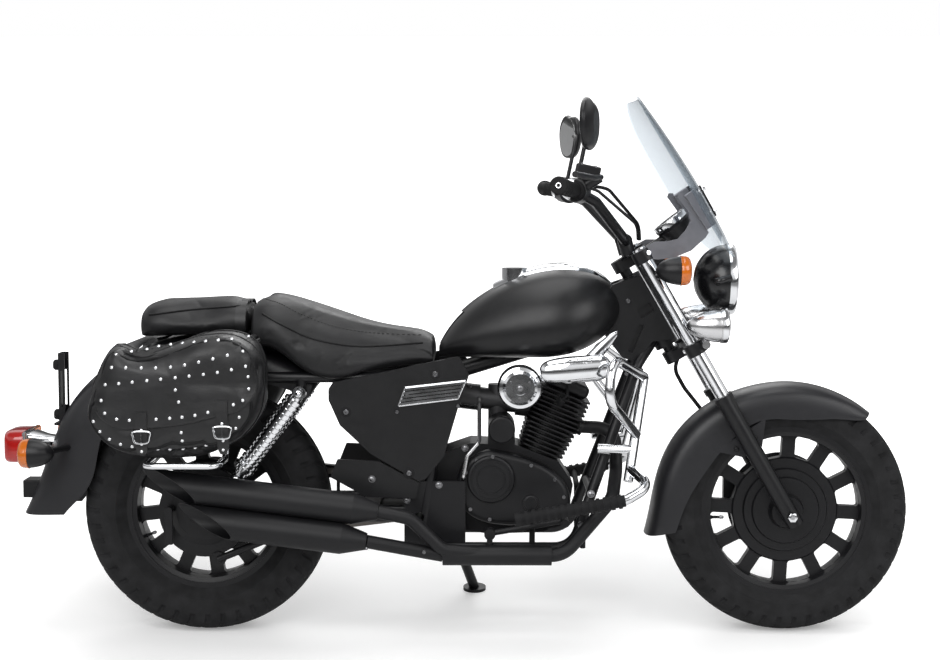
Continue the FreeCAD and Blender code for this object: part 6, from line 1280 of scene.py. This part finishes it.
@dataclass
class Lamps:
    """Headlamp, spot lamps, indicators, tail lamp and reflector."""
    rim_place: Point = (1.299, 0.0, 0.874)
    radius: float = 0.088
    depth: float = 0.096
    bulge: float = 0.009
    spot_face: Point = (1.264, 0.138, 0.770)
    spot_radius: float = 0.042
    indicator_radius: float = 0.034
    indicator_length: float = 0.084
    front_line: float = 0.178
    rear_face: Point = (-0.423, 0.186, 0.467)
    ear_line: float = 0.095
    squareness: float = 0.45
    reflector_height: float = 0.354
    backward: ClassVar[Point] = (-1, 0, 0)
    bowl: ClassVar[tuple] = ((0.012, 0.985), (0.12, 0.975), (0.4, 0.93), (0.7, 0.74), (0.92, 0.4),
                             (0.995, 0.05))
    rim: ClassVar[tuple] = ((0.016, 0.955), (0.016, 1.0), (0.004, 1.0), (-0.001, 0.985), (-0.0035, 0.955),
                            (-0.001, 0.925), (0.006, 0.905))
    mirror: ClassVar[tuple] = ((0.062, 0.014), (0.058, 0.03), (0.046, 0.05), (0.028, 0.067), (0.004, 0.080))
    bulb: ClassVar[tuple] = ((0.062, 0.012), (0.058, 0.014), (0.050, 0.014), (0.046, 0.008), (0.026, 0.007),
                             (0.022, 0.0045))
    spot_rim: ClassVar[tuple] = ((0.010, 0.99), (0.010, 1.02), (0.0, 1.03), (-0.003, 0.99), (-0.001, 0.93))
    bullet: ClassVar[tuple] = ((0.0, 0.04), (0.006, 0.30), (0.02, 0.57), (0.05, 0.79), (0.10, 0.93),
                               (0.16, 0.985), (0.25, 1.0), (0.275, 1.0))
    tail_bulge: ClassVar[tuple] = ((0.0, 0.30), (0.01, 0.62), (0.05, 0.80), (0.14, 0.92), (0.32, 0.985),
                                   (0.6, 1.0), (1.0, 1.0))
    tail_stalk: ClassVar[tuple] = ((0.0, 0.062, 0.036), (0.25, 0.052, 0.031), (0.55, 0.036, 0.025),
                                   (0.85, 0.030, 0.022), (1.0, 0.030, 0.022))

    def build(self) -> None:
        """Makes every lamp."""
        self.headlamp()
        self.spots()
        self.indicators()
        self.tail()
        self.reflector()

    def headlamp(self) -> None:
        """Black bowl and ears, bright rim, reflector, bulb and ribbed glass."""
        rim = Vector(self.rim_place)
        radius, depth = self.radius, self.depth
        outer = side_line([(along * depth, out * radius) for along, out in self.bowl], 28)
        shell = Draft().lathe([(0.004, radius * 0.90), (0.0, radius * 0.94), *outer], rim, self.backward, 72,
                              capped=False)
        clamp = max((p for p in machine.points("headlamp") if p.y > 0.085), key=lambda p: p.z)
        for side in (side.value for side in Side):
            start = rim + Vector((-depth / 2, side * radius * 0.80, 0))
            knee = rim + Vector((-depth / 2, side * self.ear_line, 0))
            end = Vector((clamp.x - 0.012, side * self.ear_line, clamp.z - 0.012))
            shell.pipe(spline([start, knee, (knee + end) / 2, end], 24), 0.009, 12)
            shell.hex_head(start + Vector((0, side * 0.022, 0)), (0, side, 0), 0.008, 0.006)
        piece("headlamp_shell", shell, "steering", "gloss_black", ["headlamp"])
        ring = Draft().lathe(scaled(self.rim, radius), rim, self.backward, 72, capped=False)
        piece("headlamp_rim", ring, "steering", "chrome")
        reflector = Draft().lathe(self.mirror, rim, self.backward, 64, capped=False)
        piece("headlamp_reflector", reflector, "steering", "mirror")
        bulb = Draft().lathe(self.bulb, rim, self.backward, 20)
        piece("headlamp_bulb", bulb, "steering", "mirror")
        arc = domed(0.003, -self.bulge - 0.001, 0.0825, 12)
        glass = Draft().lathe([(0.006, 0.0815), *arc], rim, self.backward, 72)
        piece("headlamp_glass", glass, "steering", "lamp_glass")

    def spots(self) -> None:
        """Bright rims and glass of the two spot lamps."""
        face = Vector(self.spot_face)
        radius = self.spot_radius
        chrome = Draft().lathe(scaled(self.spot_rim, radius), face, self.backward, 48, capped=False)
        glass = Draft().lathe([(0.001, radius * 0.95), *domed(0.001, -0.0105, radius * 0.95, 8)], face,
                              self.backward, 48)
        for offset in (-0.012, 0.012):
            low, high = (face + Vector((0.006, offset, sign * radius * 0.80)) for sign in (-1, 1))
            chrome.rod(low, high, 0.0014, 8)
        piece("spot_rims", chrome.both(), "steering", "chrome")
        piece("spot_glasses", glass.both(), "steering", "lamp_glass")

    def indicators(self) -> None:
        """Amber lenses over the faces of all four indicators."""
        low, high = machine.box("front_indicators")
        front = Vector((high.x, self.front_line, (low.z + high.z) / 2))
        self.lens("front_indicator_lenses", front, 1, "steering")
        self.lens("rear_indicator_lenses", Vector(self.rear_face), -1, "chassis")

    def lens(self, name: str, face: Vector, facing: int, body: str) -> None:
        """A pair of amber lenses with a raised band."""
        radius = self.indicator_radius
        profile = [(along * self.indicator_length - 0.0006, out * radius + 0.0009)
                   for along, out in self.bullet]
        profile += [(0.0245, radius + 0.0018), (0.0262, radius + 0.0018), (0.0268, radius - 0.0006)]
        draft = Draft().lathe(profile, face, (-facing, 0, 0), 56)
        piece(name, draft.both(), body, "amber", (), 50)

    def tail(self) -> None:
        """Red lens, bright bezel and stalk of the tail lamp."""
        low, high = machine.box("tail_lamp")
        middle = (low + high) / 2
        cut = low.x + 0.052
        half_y, half_z = (high.y - low.y) / 2, (high.z - low.z) / 2
        lens = Draft().rings([self.soft_square(low.x + (cut - low.x) * along, half_y * share,
                                               half_z * (0.5 + share / 2), middle.z)
                              for along, share in self.tail_bulge])
        piece("tail_lens", lens, "chassis", "red", (), 60)
        bezel = Draft().box((cut + 0.004, 0, middle.z), (0.006, half_y - 0.001, half_z - 0.001), 0.003)
        reach = high.x + 0.03 - cut
        bezel.rings([self.soft_square(cut + reach * along, *half, middle.z)
                     for along, *half in self.tail_stalk])
        piece("tail_lamp_body", bezel, "chassis", "chrome", ["tail_lamp"], 40)

    def soft_square(self, x: float, half_y: float, half_z: float, height: float) -> list[Vector]:
        """A square ring with round corners, square to X."""
        ring = []
        for across, up in round_places((0, 0), 1, 40):
            y = half_y * abs(across) ** self.squareness * math.copysign(1, across)
            z = half_z * abs(up) ** self.squareness * math.copysign(1, up)
            ring.append(Vector((x, y, height + z)))
        return ring

    def reflector(self) -> None:
        """The red reflector in its black block under the tail lamp."""
        low, _ = machine.box("plate_bracket")
        draft = Draft().box((low.x + 0.0014, 0, self.reflector_height), (0.0018, 0.026, 0.018), 0.001)
        piece("rear_reflector", draft, "chassis", "red")


# Bars and screen

@dataclass
class Cockpit:
    """Ribbed grips, bar ends, mirror glass, dial, buttons and the screen's clamps."""
    mirror_place: Point = (0.910, 0.372, 1.237)
    mirror_half: Point = (0.086, 0.056)
    mirror_turn: float = math.radians(12)
    glass_share: float = 0.90
    dial_centre: Point = (1.143, 0.0, 1.019)
    dial_radius: float = 0.044
    dial_tilt: float = math.radians(52)
    screen_foot: Point = (1.299, 0.934)
    screen_top: Point = (1.064, 1.314)
    strip_pixels: tuple = ((697, 193), (709, 214))
    strip_line: float = -0.112
    cylinder_line: float = -0.245
    rib_pitch: float = 0.0062
    mark_count: int = 29
    first_mark: float = 225
    sweep: float = 270
    dial_rim: ClassVar[tuple] = ((-0.010, 1.0), (-0.010, 1.03), (0.001, 1.03), (0.004, 1.0), (0.004, 0.93),
                                 (0.0, 0.90))
    screw_places: ClassVar[tuple] = ((-0.016, -0.008), (0.016, -0.008), (-0.016, 0.014), (0.016, 0.014))

    def build(self) -> None:
        """Makes all the pieces of the bars and the screen."""
        self.grips()
        self.mirrors()
        self.dial()
        self.controls()
        self.screen()

    def grips(self) -> None:
        """Ribs round both grips, and their end caps with a bright ring."""
        rubber = Draft()
        metal = Draft()
        points = [p for p in machine.points("grips") if p.y < 0]
        inner_y = max(p.y for p in points)
        outer_y = min(p.y for p in points)
        inner = mean([p for p in points if p.y > inner_y - 0.012])
        outer = mean([p for p in points if p.y < outer_y + 0.010])
        along = (outer - inner).normalized()
        length = (outer - inner).length
        profile = [(0.006, 0.0165)]
        place = 0.012
        while place < length - 0.012:
            profile += [(place, 0.0168), (place + 0.001, 0.0188), (place + 0.0034, 0.0188),
                        (place + 0.0044, 0.0168)]
            place += self.rib_pitch
        profile.append((length - 0.002, 0.0168))
        rubber.lathe(profile, inner, along, 40)
        end = inner + along * (length - 0.006)
        rubber.lathe([(0, 0.0172), (0.001, 0.0205), (0.012, 0.0205), (0.015, 0.018), (0.015, 0.009)], end,
                     along, 40)
        metal.lathe([(0.0145, 0.0062), (0.0162, 0.006), (0.0162, 0.0045), (0.0145, 0.004)], end, along, 24)
        sleeve = inner - along * 0.008
        metal.lathe([(0, 0.021), (0.002, 0.0245), (0.012, 0.0245), (0.014, 0.021)], sleeve, along, 48)
        piece("grip_ribs", rubber.both(), "steering", "rubber", (), 40)
        piece("bar_end_rings", metal.both(), "steering", "chrome")

    def mirrors(self) -> None:
        """Mirror glass in each shell, seen by the rider."""
        shares = [(math.sin(TURN * i / 12), math.cos(TURN * i / 12)) for i in range(12)]
        half_width, half_height = self.mirror_half
        turn = Matrix.Rotation(self.mirror_turn, 3, "Z")
        centre = Vector(self.mirror_place)
        knots = [(0, out * half_width * self.glass_share, up * half_height * self.glass_share)
                 for out, up in shares]
        outline = spline(knots, 56, closed=True)
        rings = []
        for back, scale in ((0.001, 1.0), (-0.0008, 1.0), (-0.0012, 0.97)):
            rings.append([centre + turn @ Vector((back, p.y * scale, p.z * scale)) for p in outline])
        glass = Draft().rings(rings)
        piece("mirror_glass", glass.both(), "steering", "mirror", (), 30)

    def dial(self) -> None:
        """Speedometer: bright ring, black face with marks, needle and glass."""
        way = Vector((-math.cos(self.dial_tilt), 0, math.sin(self.dial_tilt)))
        centre = Vector(self.dial_centre)
        radius = self.dial_radius
        across = Vector((0, -1, 0))
        up = way.cross(across) * -1
        draft = Draft().lathe(scaled(self.dial_rim, radius), centre, way, 64, capped=False)
        piece("dial_ring", draft, "steering", "chrome")
        face = Draft().lathe([(0.0002, radius * 0.91), (0.0012, radius * 0.905)], centre, way, 48)
        piece("dial_face", face, "steering", "dial_face")

        def spoke(degrees: float, first: float, last: float, lift: float, thick: float) -> None:
            """Adds a thin rod over the face, between two shares of its radius."""
            angle = math.radians(degrees)
            out = across * math.cos(angle) + up * math.sin(angle)
            root = centre + way * lift
            marks.rod(root + out * radius * first, root + out * radius * last, thick, 6)

        marks = Draft()
        for index in range(self.mark_count):
            long = index % 4 == 0
            spoke(self.first_mark - self.sweep * index / (self.mark_count - 1), 0.72 if long else 0.79, 0.86,
                  0.0015, 0.0007 if long else 0.0004)
        spoke(self.first_mark, -0.15, 0.66, 0.0026, 0.0009)
        marks.lathe([(0.001, 0.005), (0.0038, 0.004)], centre, way, 20)
        piece("dial_marks", marks, "steering", "white_mark")
        glass = Draft().lathe(domed(0.0022, 0.004, radius * 0.93, 6), centre, way, 48)
        piece("dial_glass", glass, "steering", "glass")

    def controls(self) -> None:
        """Switch buttons and the screws of housings and master cylinder."""
        surface = Surface.of("hand_controls")
        _, high = machine.box("hand_controls")
        dark = Draft()
        steel = Draft()
        for side in (side.value for side in Side):
            inner = min((p for p in machine.points("grips") if p.y * side > 0), key=lambda p: abs(p.y))
            for z, radius in ((0.012, 0.005), (-0.008, 0.006)):
                start = Vector((inner.x - 0.4, inner.y - side * 0.028, inner.z + z))
                point, normal = surface.hit(start, (1, 0, 0))
                dark.lathe([(0, radius), (0.004, radius * 0.95), (0.0055, radius * 0.6)], point, normal, 16)
        top = Vector((high.x - 0.035, self.cylinder_line, high.z + 0.2))
        for x, y in self.screw_places:
            try:
                point, normal = surface.hit(top + Vector((x, y, 0)), (0, 0, -1))
            except ValueError:
                continue
            steel.socket_head(point - normal * 0.0004, normal, 0.0028, 0.0022)
        piece("switch_buttons", dark, "steering", "rubber")
        if steel.points:
            piece("master_screws", steel, "steering", "steel")

    def screen(self) -> None:
        """Clamp strips on the screen's face, with their bolts."""
        foot = Vector((self.screen_foot[0], 0, self.screen_foot[1]))
        top = Vector((self.screen_top[0], 0, self.screen_top[1]))
        along = (top - foot).normalized()
        ahead = Vector((along.z, 0, -along.x))
        surface = Surface.of("windscreen")
        places = [surface.hit(sight.at(pixel, self.strip_line) + ahead * 0.2, -ahead)
                  for pixel in self.strip_pixels]
        (start, normal), (end, _) = places
        side = along.cross(normal).normalized() * 0.010
        reach = (start - end).normalized() * 0.012
        outline = [start + reach + side, start + reach - side, end - reach - side, end - reach + side]
        strips = Draft().prism([point + normal * 0.0004 for point in outline], normal * 0.004)
        bolts = Draft()
        for point, way in places:
            bolts.hex_head(point + way * 0.0042, way, 0.0052, 0.0075)
        piece("screen_strips", strips.both(), "steering", "rubber", (), 30)
        piece("screen_bolts", bolts.both(), "steering", "chrome")


# Fasteners and engine details

SHOCK_ENDS = ((0.243, 0.608), (0.091, 0.400))


@dataclass
class Fittings:
    """Bolts, screws, caps and small engine pieces, placed where the photograph shows them."""
    covers: tuple = ((435, 374), (346, 412), (409, 473))
    grille_corners: tuple = ((397, 412), (407, 395), (470, 387), (458, 406))
    frame_bolts: tuple = ((439, 485), (465, 448), (372, 479), (407, 500))
    sleeve_bolts: tuple = ((366, 548), (424, 552))
    neck_bolts: tuple = ((628, 301), (627, 373.5))
    plate_bolts: tuple = ((591, 494), (581, 525))
    engine_rear: float = 0.545
    engine_floor: float = 0.250
    engine_length: float = 0.360
    engine_height: float = 0.250
    case_screws: tuple = ((0.45, 0.80), (0.71, 0.71), (0.87, 0.57), (0.93, 0.40), (0.93, 0.27), (0.83, 0.16),
                          (0.64, 0.15), (0.43, 0.18), (0.30, 0.28), (0.25, 0.44), (0.27, 0.64), (0.34, 0.76))
    left_cover: Point = (0.790, 0.362)
    left_circle: float = 0.062
    filler_place: Point = (0.800, 0.335)
    rings_place: Point = (0.703, 0.394)
    round_cover_place: Point = (0.772, 0.622)
    round_cover_circle: float = 0.026
    plug_place: Point = (0.872, 0.575)
    buffer_x: float = -0.3678
    buffer_heights: tuple = (0.661, 0.537)
    clamp_bolts: tuple = ((677, 345), (648, 253))
    fender_angles: tuple = (114.5, 129)
    fender_reach: float = 0.205
    outward: ClassVar[Point] = (0, -1, 0)

    def build(self) -> None:
        """Makes every fitting."""
        self.everything = Surface.of(*(name for name in frame["nodes"] if name != "windscreen"))
        self.cover_bolts()
        self.engine_screws()
        self.round_cover()
        self.shock_bolts()
        self.fork_bolts()
        self.fender_bolts()
        self.plug_lead()
        self.plate_knobs()

    def seen(self, draft: Draft, pixels: Iterable[Point], radius: float, kind: str = "hex") -> None:
        """Adds a bolt's head at each pixel, on whatever it shows there."""
        for pixel in pixels:
            point, normal = self.everything.seen(pixel)
            head = draft.hex_head if kind == "hex" else draft.socket_head
            head(point - normal * 0.0005, normal, radius, radius * 0.9)

    def cover_bolts(self) -> None:
        """Rubber-seated bolts of the side covers, and bright ones of grilles, frame, sleeve and neck."""
        surface = Surface.of("side_covers")
        rubber = Draft()
        steel = Draft()
        for pixel in self.covers:
            point, normal = surface.seen(pixel)
            rubber.lathe([(-0.001, 0.0135), (0.0012, 0.0128), (0.0016, 0.0095)], point, normal, 28)
            steel.socket_head(point + normal * 0.001, normal, 0.0062, 0.0042)
        piece("cover_grommets", rubber.both(), "chassis", "rubber")
        self.seen(steel, self.grille_corners, 0.0045, "socket")
        piece("cover_screws", steel.both(), "chassis", "steel")
        right = Draft()
        self.seen(right, self.frame_bolts, 0.0065)
        self.seen(right, self.sleeve_bolts, 0.0048, "socket")
        self.seen(right, self.neck_bolts, 0.0058, "socket")
        self.seen(right, self.plate_bolts, 0.007)
        piece("frame_bolts", right, "chassis", "steel")

    def engine_screws(self) -> None:
        """Screws round the engine's covers, and the filler cap and rings on its right side."""
        surface = Surface.of("engine_cases")
        steel = Draft()
        dark = Draft()
        for share_x, share_z in self.case_screws:
            point, normal = surface.beside(self.engine_rear + self.engine_length * share_x,
                                           self.engine_floor + self.engine_height * share_z)
            steel.socket_head(point - normal * 0.0004, self.outward, 0.0048, 0.0042)
        for x, z in round_places(self.left_cover, self.left_circle, 8, 0.2):
            point, normal = surface.beside(x, z, Side.LEFT)
            steel.socket_head(point - normal * 0.0004, (0, 1, 0), 0.0048, 0.0042)
        dark.lathe([(-0.001, 0.020), (0.004, 0.019), (0.005, 0.015), (0.009, 0.0145), (0.0095, 0.006)],
                   surface.beside(*self.filler_place)[0], self.outward, 32)
        point, _ = surface.beside(*self.rings_place)
        for radius in (0.050, 0.036):
            dark.lathe([(-0.0004, radius), (0.0012, radius - 0.0008), (0.0012, radius - 0.0032),
                        (-0.0004, radius - 0.004)], point, self.outward, 64)
        piece("engine_screws", steel, "chassis", "steel")
        piece("engine_rings", dark, "chassis", "engine_black")

    def round_cover(self) -> None:
        """Screws on the round chrome cover."""
        surface = Surface.of("engine_covers")
        steel = Draft().hex_head(surface.beside(*self.round_cover_place)[0], self.outward, 0.0068, 0.006)
        for x, z in round_places(self.round_cover_place, self.round_cover_circle, 3, 0.5):
            steel.socket_head(surface.beside(x, z)[0], self.outward, 0.0036, 0.003)
        piece("round_cover_screws", steel, "chassis", "steel")

    def shock_bolts(self) -> None:
        """Capped nuts on both ends of the shock absorbers."""
        surface = Surface.of("shocks", "frame", "swingarm")
        draft = Draft()
        for x, z in SHOCK_ENDS:
            point, _ = surface.beside(x, z)
            draft.hex_head(point + Vector((0, 0.0005, 0)), self.outward, 0.0085, 0.006)
            draft.dome(point - Vector((0, 0.0055, 0)), self.outward, 0.006, 0.005)
        piece("shock_nuts", draft.both(), "chassis", "chrome")

    def fork_bolts(self) -> None:
        """Pinch bolts of the fork clamps, and the axle's nuts."""
        draft = Draft()
        self.seen(draft, self.clamp_bolts, 0.0062, "socket")
        axle = machine.front_axle
        point, _ = Surface.of("fork_legs").beside(axle.x, axle.z + 0.008)
        draft.lathe([(-0.0002, 0.0118), (0.0035, 0.0118), (0.0042, 0.0105), (0.0042, 0.0052)],
                    (axle.x, point.y, axle.z), self.outward, 6)
        piece("fork_bolts", draft.both(), "steering", "chrome")

    def fender_bolts(self) -> None:
        """Dark bolts that hold the front fender."""
        surface = Surface.of("front_fender")
        draft = Draft()
        for angle in map(math.radians, self.fender_angles):
            try:
                point, normal = surface.beside(machine.front_axle.x + self.fender_reach * math.cos(angle),
                                               machine.front_axle.z + self.fender_reach * math.sin(angle))
            except ValueError:
                continue
            draft.hex_head(point - normal * 0.0004, normal, 0.0055, 0.0045)
        if draft.points:
            piece("fender_bolts", draft.both(), "steering", "frame_black")

    def plug_lead(self) -> None:
        """The spark plug's cap and lead beside the head."""
        point, _ = Surface.of("engine_cylinder").beside(*self.plug_place)
        draft = Draft()
        start = point + Vector((0, 0.004, 0))
        out = start + Vector((0.004, -0.022, 0.010))
        draft.lathe([(0, 0.010), (0.006, 0.011), (0.016, 0.009), (0.026, 0.006)], start, out - start, 20)
        draft.pipe(spline([out, out + Vector((0.012, -0.012, 0.016)), out + Vector((0.008, 0.0, 0.045)),
                           out + Vector((-0.012, 0.035, 0.085))], 30), 0.0034, 10)
        piece("plug_lead", draft, "chassis", "rubber")

    def plate_knobs(self) -> None:
        """Rubber buffers on the number plate's bracket."""
        draft = Draft()
        for z in self.buffer_heights:
            draft.lathe([(0.0, 0.010), (0.004, 0.0135), (0.012, 0.0135), (0.016, 0.011), (0.017, 0.006)],
                        (self.buffer_x, 0.0, z), (-1, 0, 0), 28)
        piece("plate_buffers", draft, "chassis", "rubber")


# CAD nodes that keep their own shape

FINISHED_NODES = {
    "frame_black": "frame swingarm rear_indicators fork_clamps fork_legs handlebar hand_controls mirrors"
                   " headlamp front_indicators speedometer side_stand plate_bracket",
    "engine_black": "engine_cases engine_cylinder brake_plate front_calliper",
    "dark_alloy": "carburettor",
    "chrome": "engine_covers console tail_lamp side_grille bag_stays crash_bars fork_tubes shocks",
    "dull_chrome": "spot_lamps",
    "exhaust_black": "mufflers exhaust_headers foot_levers",
    "black_paint": "fuel_tank neck_cover side_covers",
    "grey_black": "rear_fender front_fender",
    "rubber": "foot_bars grips front_hose bar_cables",
    "chain_steel": "drive_chain",
    "clear_sheet": "windscreen",
    "grey_metal": "screen_stays",
    "wheel_black": "front_wheel rear_wheel",
    "tyre_rubber": "front_tyre rear_tyre",
    "steel": "brake_disc rear_sprocket",
    "seat_leather": "seat pillion_pad",
    "leather": "saddlebags",
}
NODE_FINISHES = {node: finish for finish, nodes in FINISHED_NODES.items() for node in nodes.split()}


@dataclass
class CadDressing:
    """Gives each CAD node that shows its own finish."""
    shock_line: float = -0.138
    damper_radius: float = 0.0185
    low_eye: float = 0.02
    high_eye: float = 0.05
    breather_front: float = 0.672
    breather_top: float = 0.566

    def dress(self) -> None:
        """Sets the materials of every node."""
        for name, node in frame["nodes"].items():
            node.data.materials.clear()
            node.data.materials.append(Palette.get(NODE_FINISHES[name]))
        self.shock_bodies()
        self.breather()
        log.info("%d CAD nodes dressed", len(frame["nodes"]))

    def breather(self) -> None:
        """Brightens the breather pipe that drops behind the carburettor."""
        mesh = frame["nodes"]["carburettor"].data
        mesh.materials.append(Palette.get("dull_chrome"))
        for face in mesh.polygons:
            place = machine.inverse @ face.center
            if place.x < self.breather_front and place.z < self.breather_top:
                face.material_index = 1

    def shock_bodies(self) -> None:
        """Paints the dampers inside the chrome coils black."""
        mesh = frame["nodes"]["shocks"].data
        mesh.materials.append(Palette.get("frame_black"))
        top, foot = (Vector((x, self.shock_line, z)) for x, z in SHOCK_ENDS)
        along = (top - foot).normalized()
        for face in mesh.polygons:
            place = machine.inverse @ face.center
            place.y = -abs(place.y)
            reach = (place - foot).dot(along)
            apart = (place - foot - along * reach).length
            if apart < self.damper_radius and self.low_eye < reach < (top - foot).length - self.high_eye:
                face.material_index = 1


# Studio

@dataclass
class Studio:
    """Floor, lamps, world and the photograph's camera."""
    sensor: float = 36.0
    floor_half: float = 60.0
    # floor_glow, the reach and the fade set a painted shade on the floor round the machine
    floor_glow: float = 0.26
    painted_shade_reach: float = 0.9
    world_light: float = 0.28
    mirrored_bands: tuple = ((0.0, 0.35), (0.47, 0.30), (0.50, 0.05), (0.56, 0.10), (0.61, 0.75), (0.76, 1.0),
                             (0.86, 0.35), (0.93, 0.20), (1.0, 0.30))
    key_power: float = 90.0
    fill_power: float = 45.0
    floor_grey: float = 0.86
    fade: float = 0.55

    def build(self) -> None:
        """Makes the whole studio."""
        self.camera()
        self.floor()
        self.lamps()
        self.world()
        bpy.context.scene.view_settings.view_transform = "Standard"

    def camera(self) -> None:
        """Sets the camera where the photograph was taken, leaned with the machine."""
        data = bpy.data.cameras.new("photo_view")
        data.sensor_width = self.sensor
        data.lens = sight.focal_pixels * self.sensor / sight.width
        data.clip_end = 100
        camera = bpy.data.objects.new("photo_view", data)
        bpy.context.scene.collection.objects.link(camera)
        right, up, aim = sight.axes()
        turn = Matrix((right, up, -aim)).transposed().to_4x4()
        camera.matrix_world = machine.matrix @ Matrix.Translation(sight.place) @ turn
        bpy.context.scene.camera = camera

    def floor(self) -> None:
        """A pale floor, white to the camera but for the cast shadow and a painted shade round the machine."""
        mesh = bpy.data.meshes.new("floor")
        half = self.floor_half
        corners = [(-half, -half, 0), (half, -half, 0), (half, half, 0), (-half, half, 0)]
        mesh.from_pydata(corners, [], [(0, 1, 2, 3)])
        floor = bpy.data.objects.new("floor", mesh)
        bpy.context.scene.collection.objects.link(floor)
        shader = Shader("floor")
        shader.set(Base_Color=(*[self.floor_grey] * 3, 1.0), Roughness=0.7, Emission_Color=(1, 1, 1, 1))
        place = shader.node("ShaderNodeTexCoord", output="Object")
        reach = shader.node("ShaderNodeVectorMath", {"operation": "LENGTH"}, {0: place}, output="Value")
        seen = shader.node("ShaderNodeLightPath", output="Is Camera Ray")
        # Painted shade: the camera-only glow stays low within the reach of the machine's origin and climbs to
        # white beyond it, so the floor is darker round the machine on top of its real cast shadow.
        far = reach.math("MULTIPLY", reach - self.painted_shade_reach, self.fade, clamp=True)
        shader.set(Emission_Strength=seen * (self.floor_glow + far))
        mesh.materials.append(shader.material)

    def lamps(self) -> None:
        """Large soft lamps above and to both sides."""
        centre = (cad_box[0] + cad_box[1]) / 2
        places = [((-1.2, -3.2, 3.0), 2.6, self.key_power), ((2.6, -2.4, 2.4), 2.0, self.fill_power),
                  ((0.3, 3.0, 2.8), 2.4, self.fill_power), ((0.0, 0.0, 4.2), 3.0, self.key_power)]
        for index, (place, width, power) in enumerate(places):
            data = bpy.data.lights.new(f"softbox_{index}", "AREA")
            data.shape = "SQUARE"
            data.size = width
            data.energy = power
            lamp = bpy.data.objects.new(f"softbox_{index}", data)
            bpy.context.scene.collection.objects.link(lamp)
            lamp.location = place
            lamp.rotation_euler = (centre - Vector(place)).to_track_quat("-Z", "Y").to_euler()

    def world(self) -> None:
        """A white surround for the camera, glass and metal, and a dimmer one as light."""
        world = bpy.data.worlds.new("studio")
        bpy.context.scene.world = world
        world.use_nodes = True
        back = world.node_tree.nodes["Background"]
        nodes = Nodes(world.node_tree)
        camera, glass, metal = (nodes.node("ShaderNodeLightPath", output=f"Is {kind} Ray")
                                for kind in ("Camera", "Transmission", "Glossy"))
        place = nodes.node("ShaderNodeTexCoord", output="Generated")
        up = nodes.node("ShaderNodeSeparateXYZ", inputs={0: place}, output="Z")
        height = nodes.node("ShaderNodeMapRange", inputs={"From Min": -1, "Value": up})
        stops = [(at, (level, level, level, 1)) for at, level in self.mirrored_bands]
        bands = nodes.node("ShaderNodeValToRGB", {"stops": stops}, {0: height})
        lit = nodes.node("ShaderNodeMix", inputs={0: metal, 2: self.world_light, 3: bands})
        seen = camera.math("MAXIMUM", camera, glass)
        nodes.feed(back.inputs["Strength"], nodes.node("ShaderNodeMix", inputs={0: seen, 2: lit, 3: 1.0}))
        back.inputs["Color"].default_value = (1, 1, 1, 1)


def main() -> None:
    """Builds every piece in order."""
    Studio().build()
    CadDressing().dress()
    Wheels().build()
    Seat().build()
    Saddlebags().build()
    Lamps().build()
    Cockpit().build()
    Fittings().build()


if __name__ == "__main__":
    main()
    bpy.context.view_layer.update()
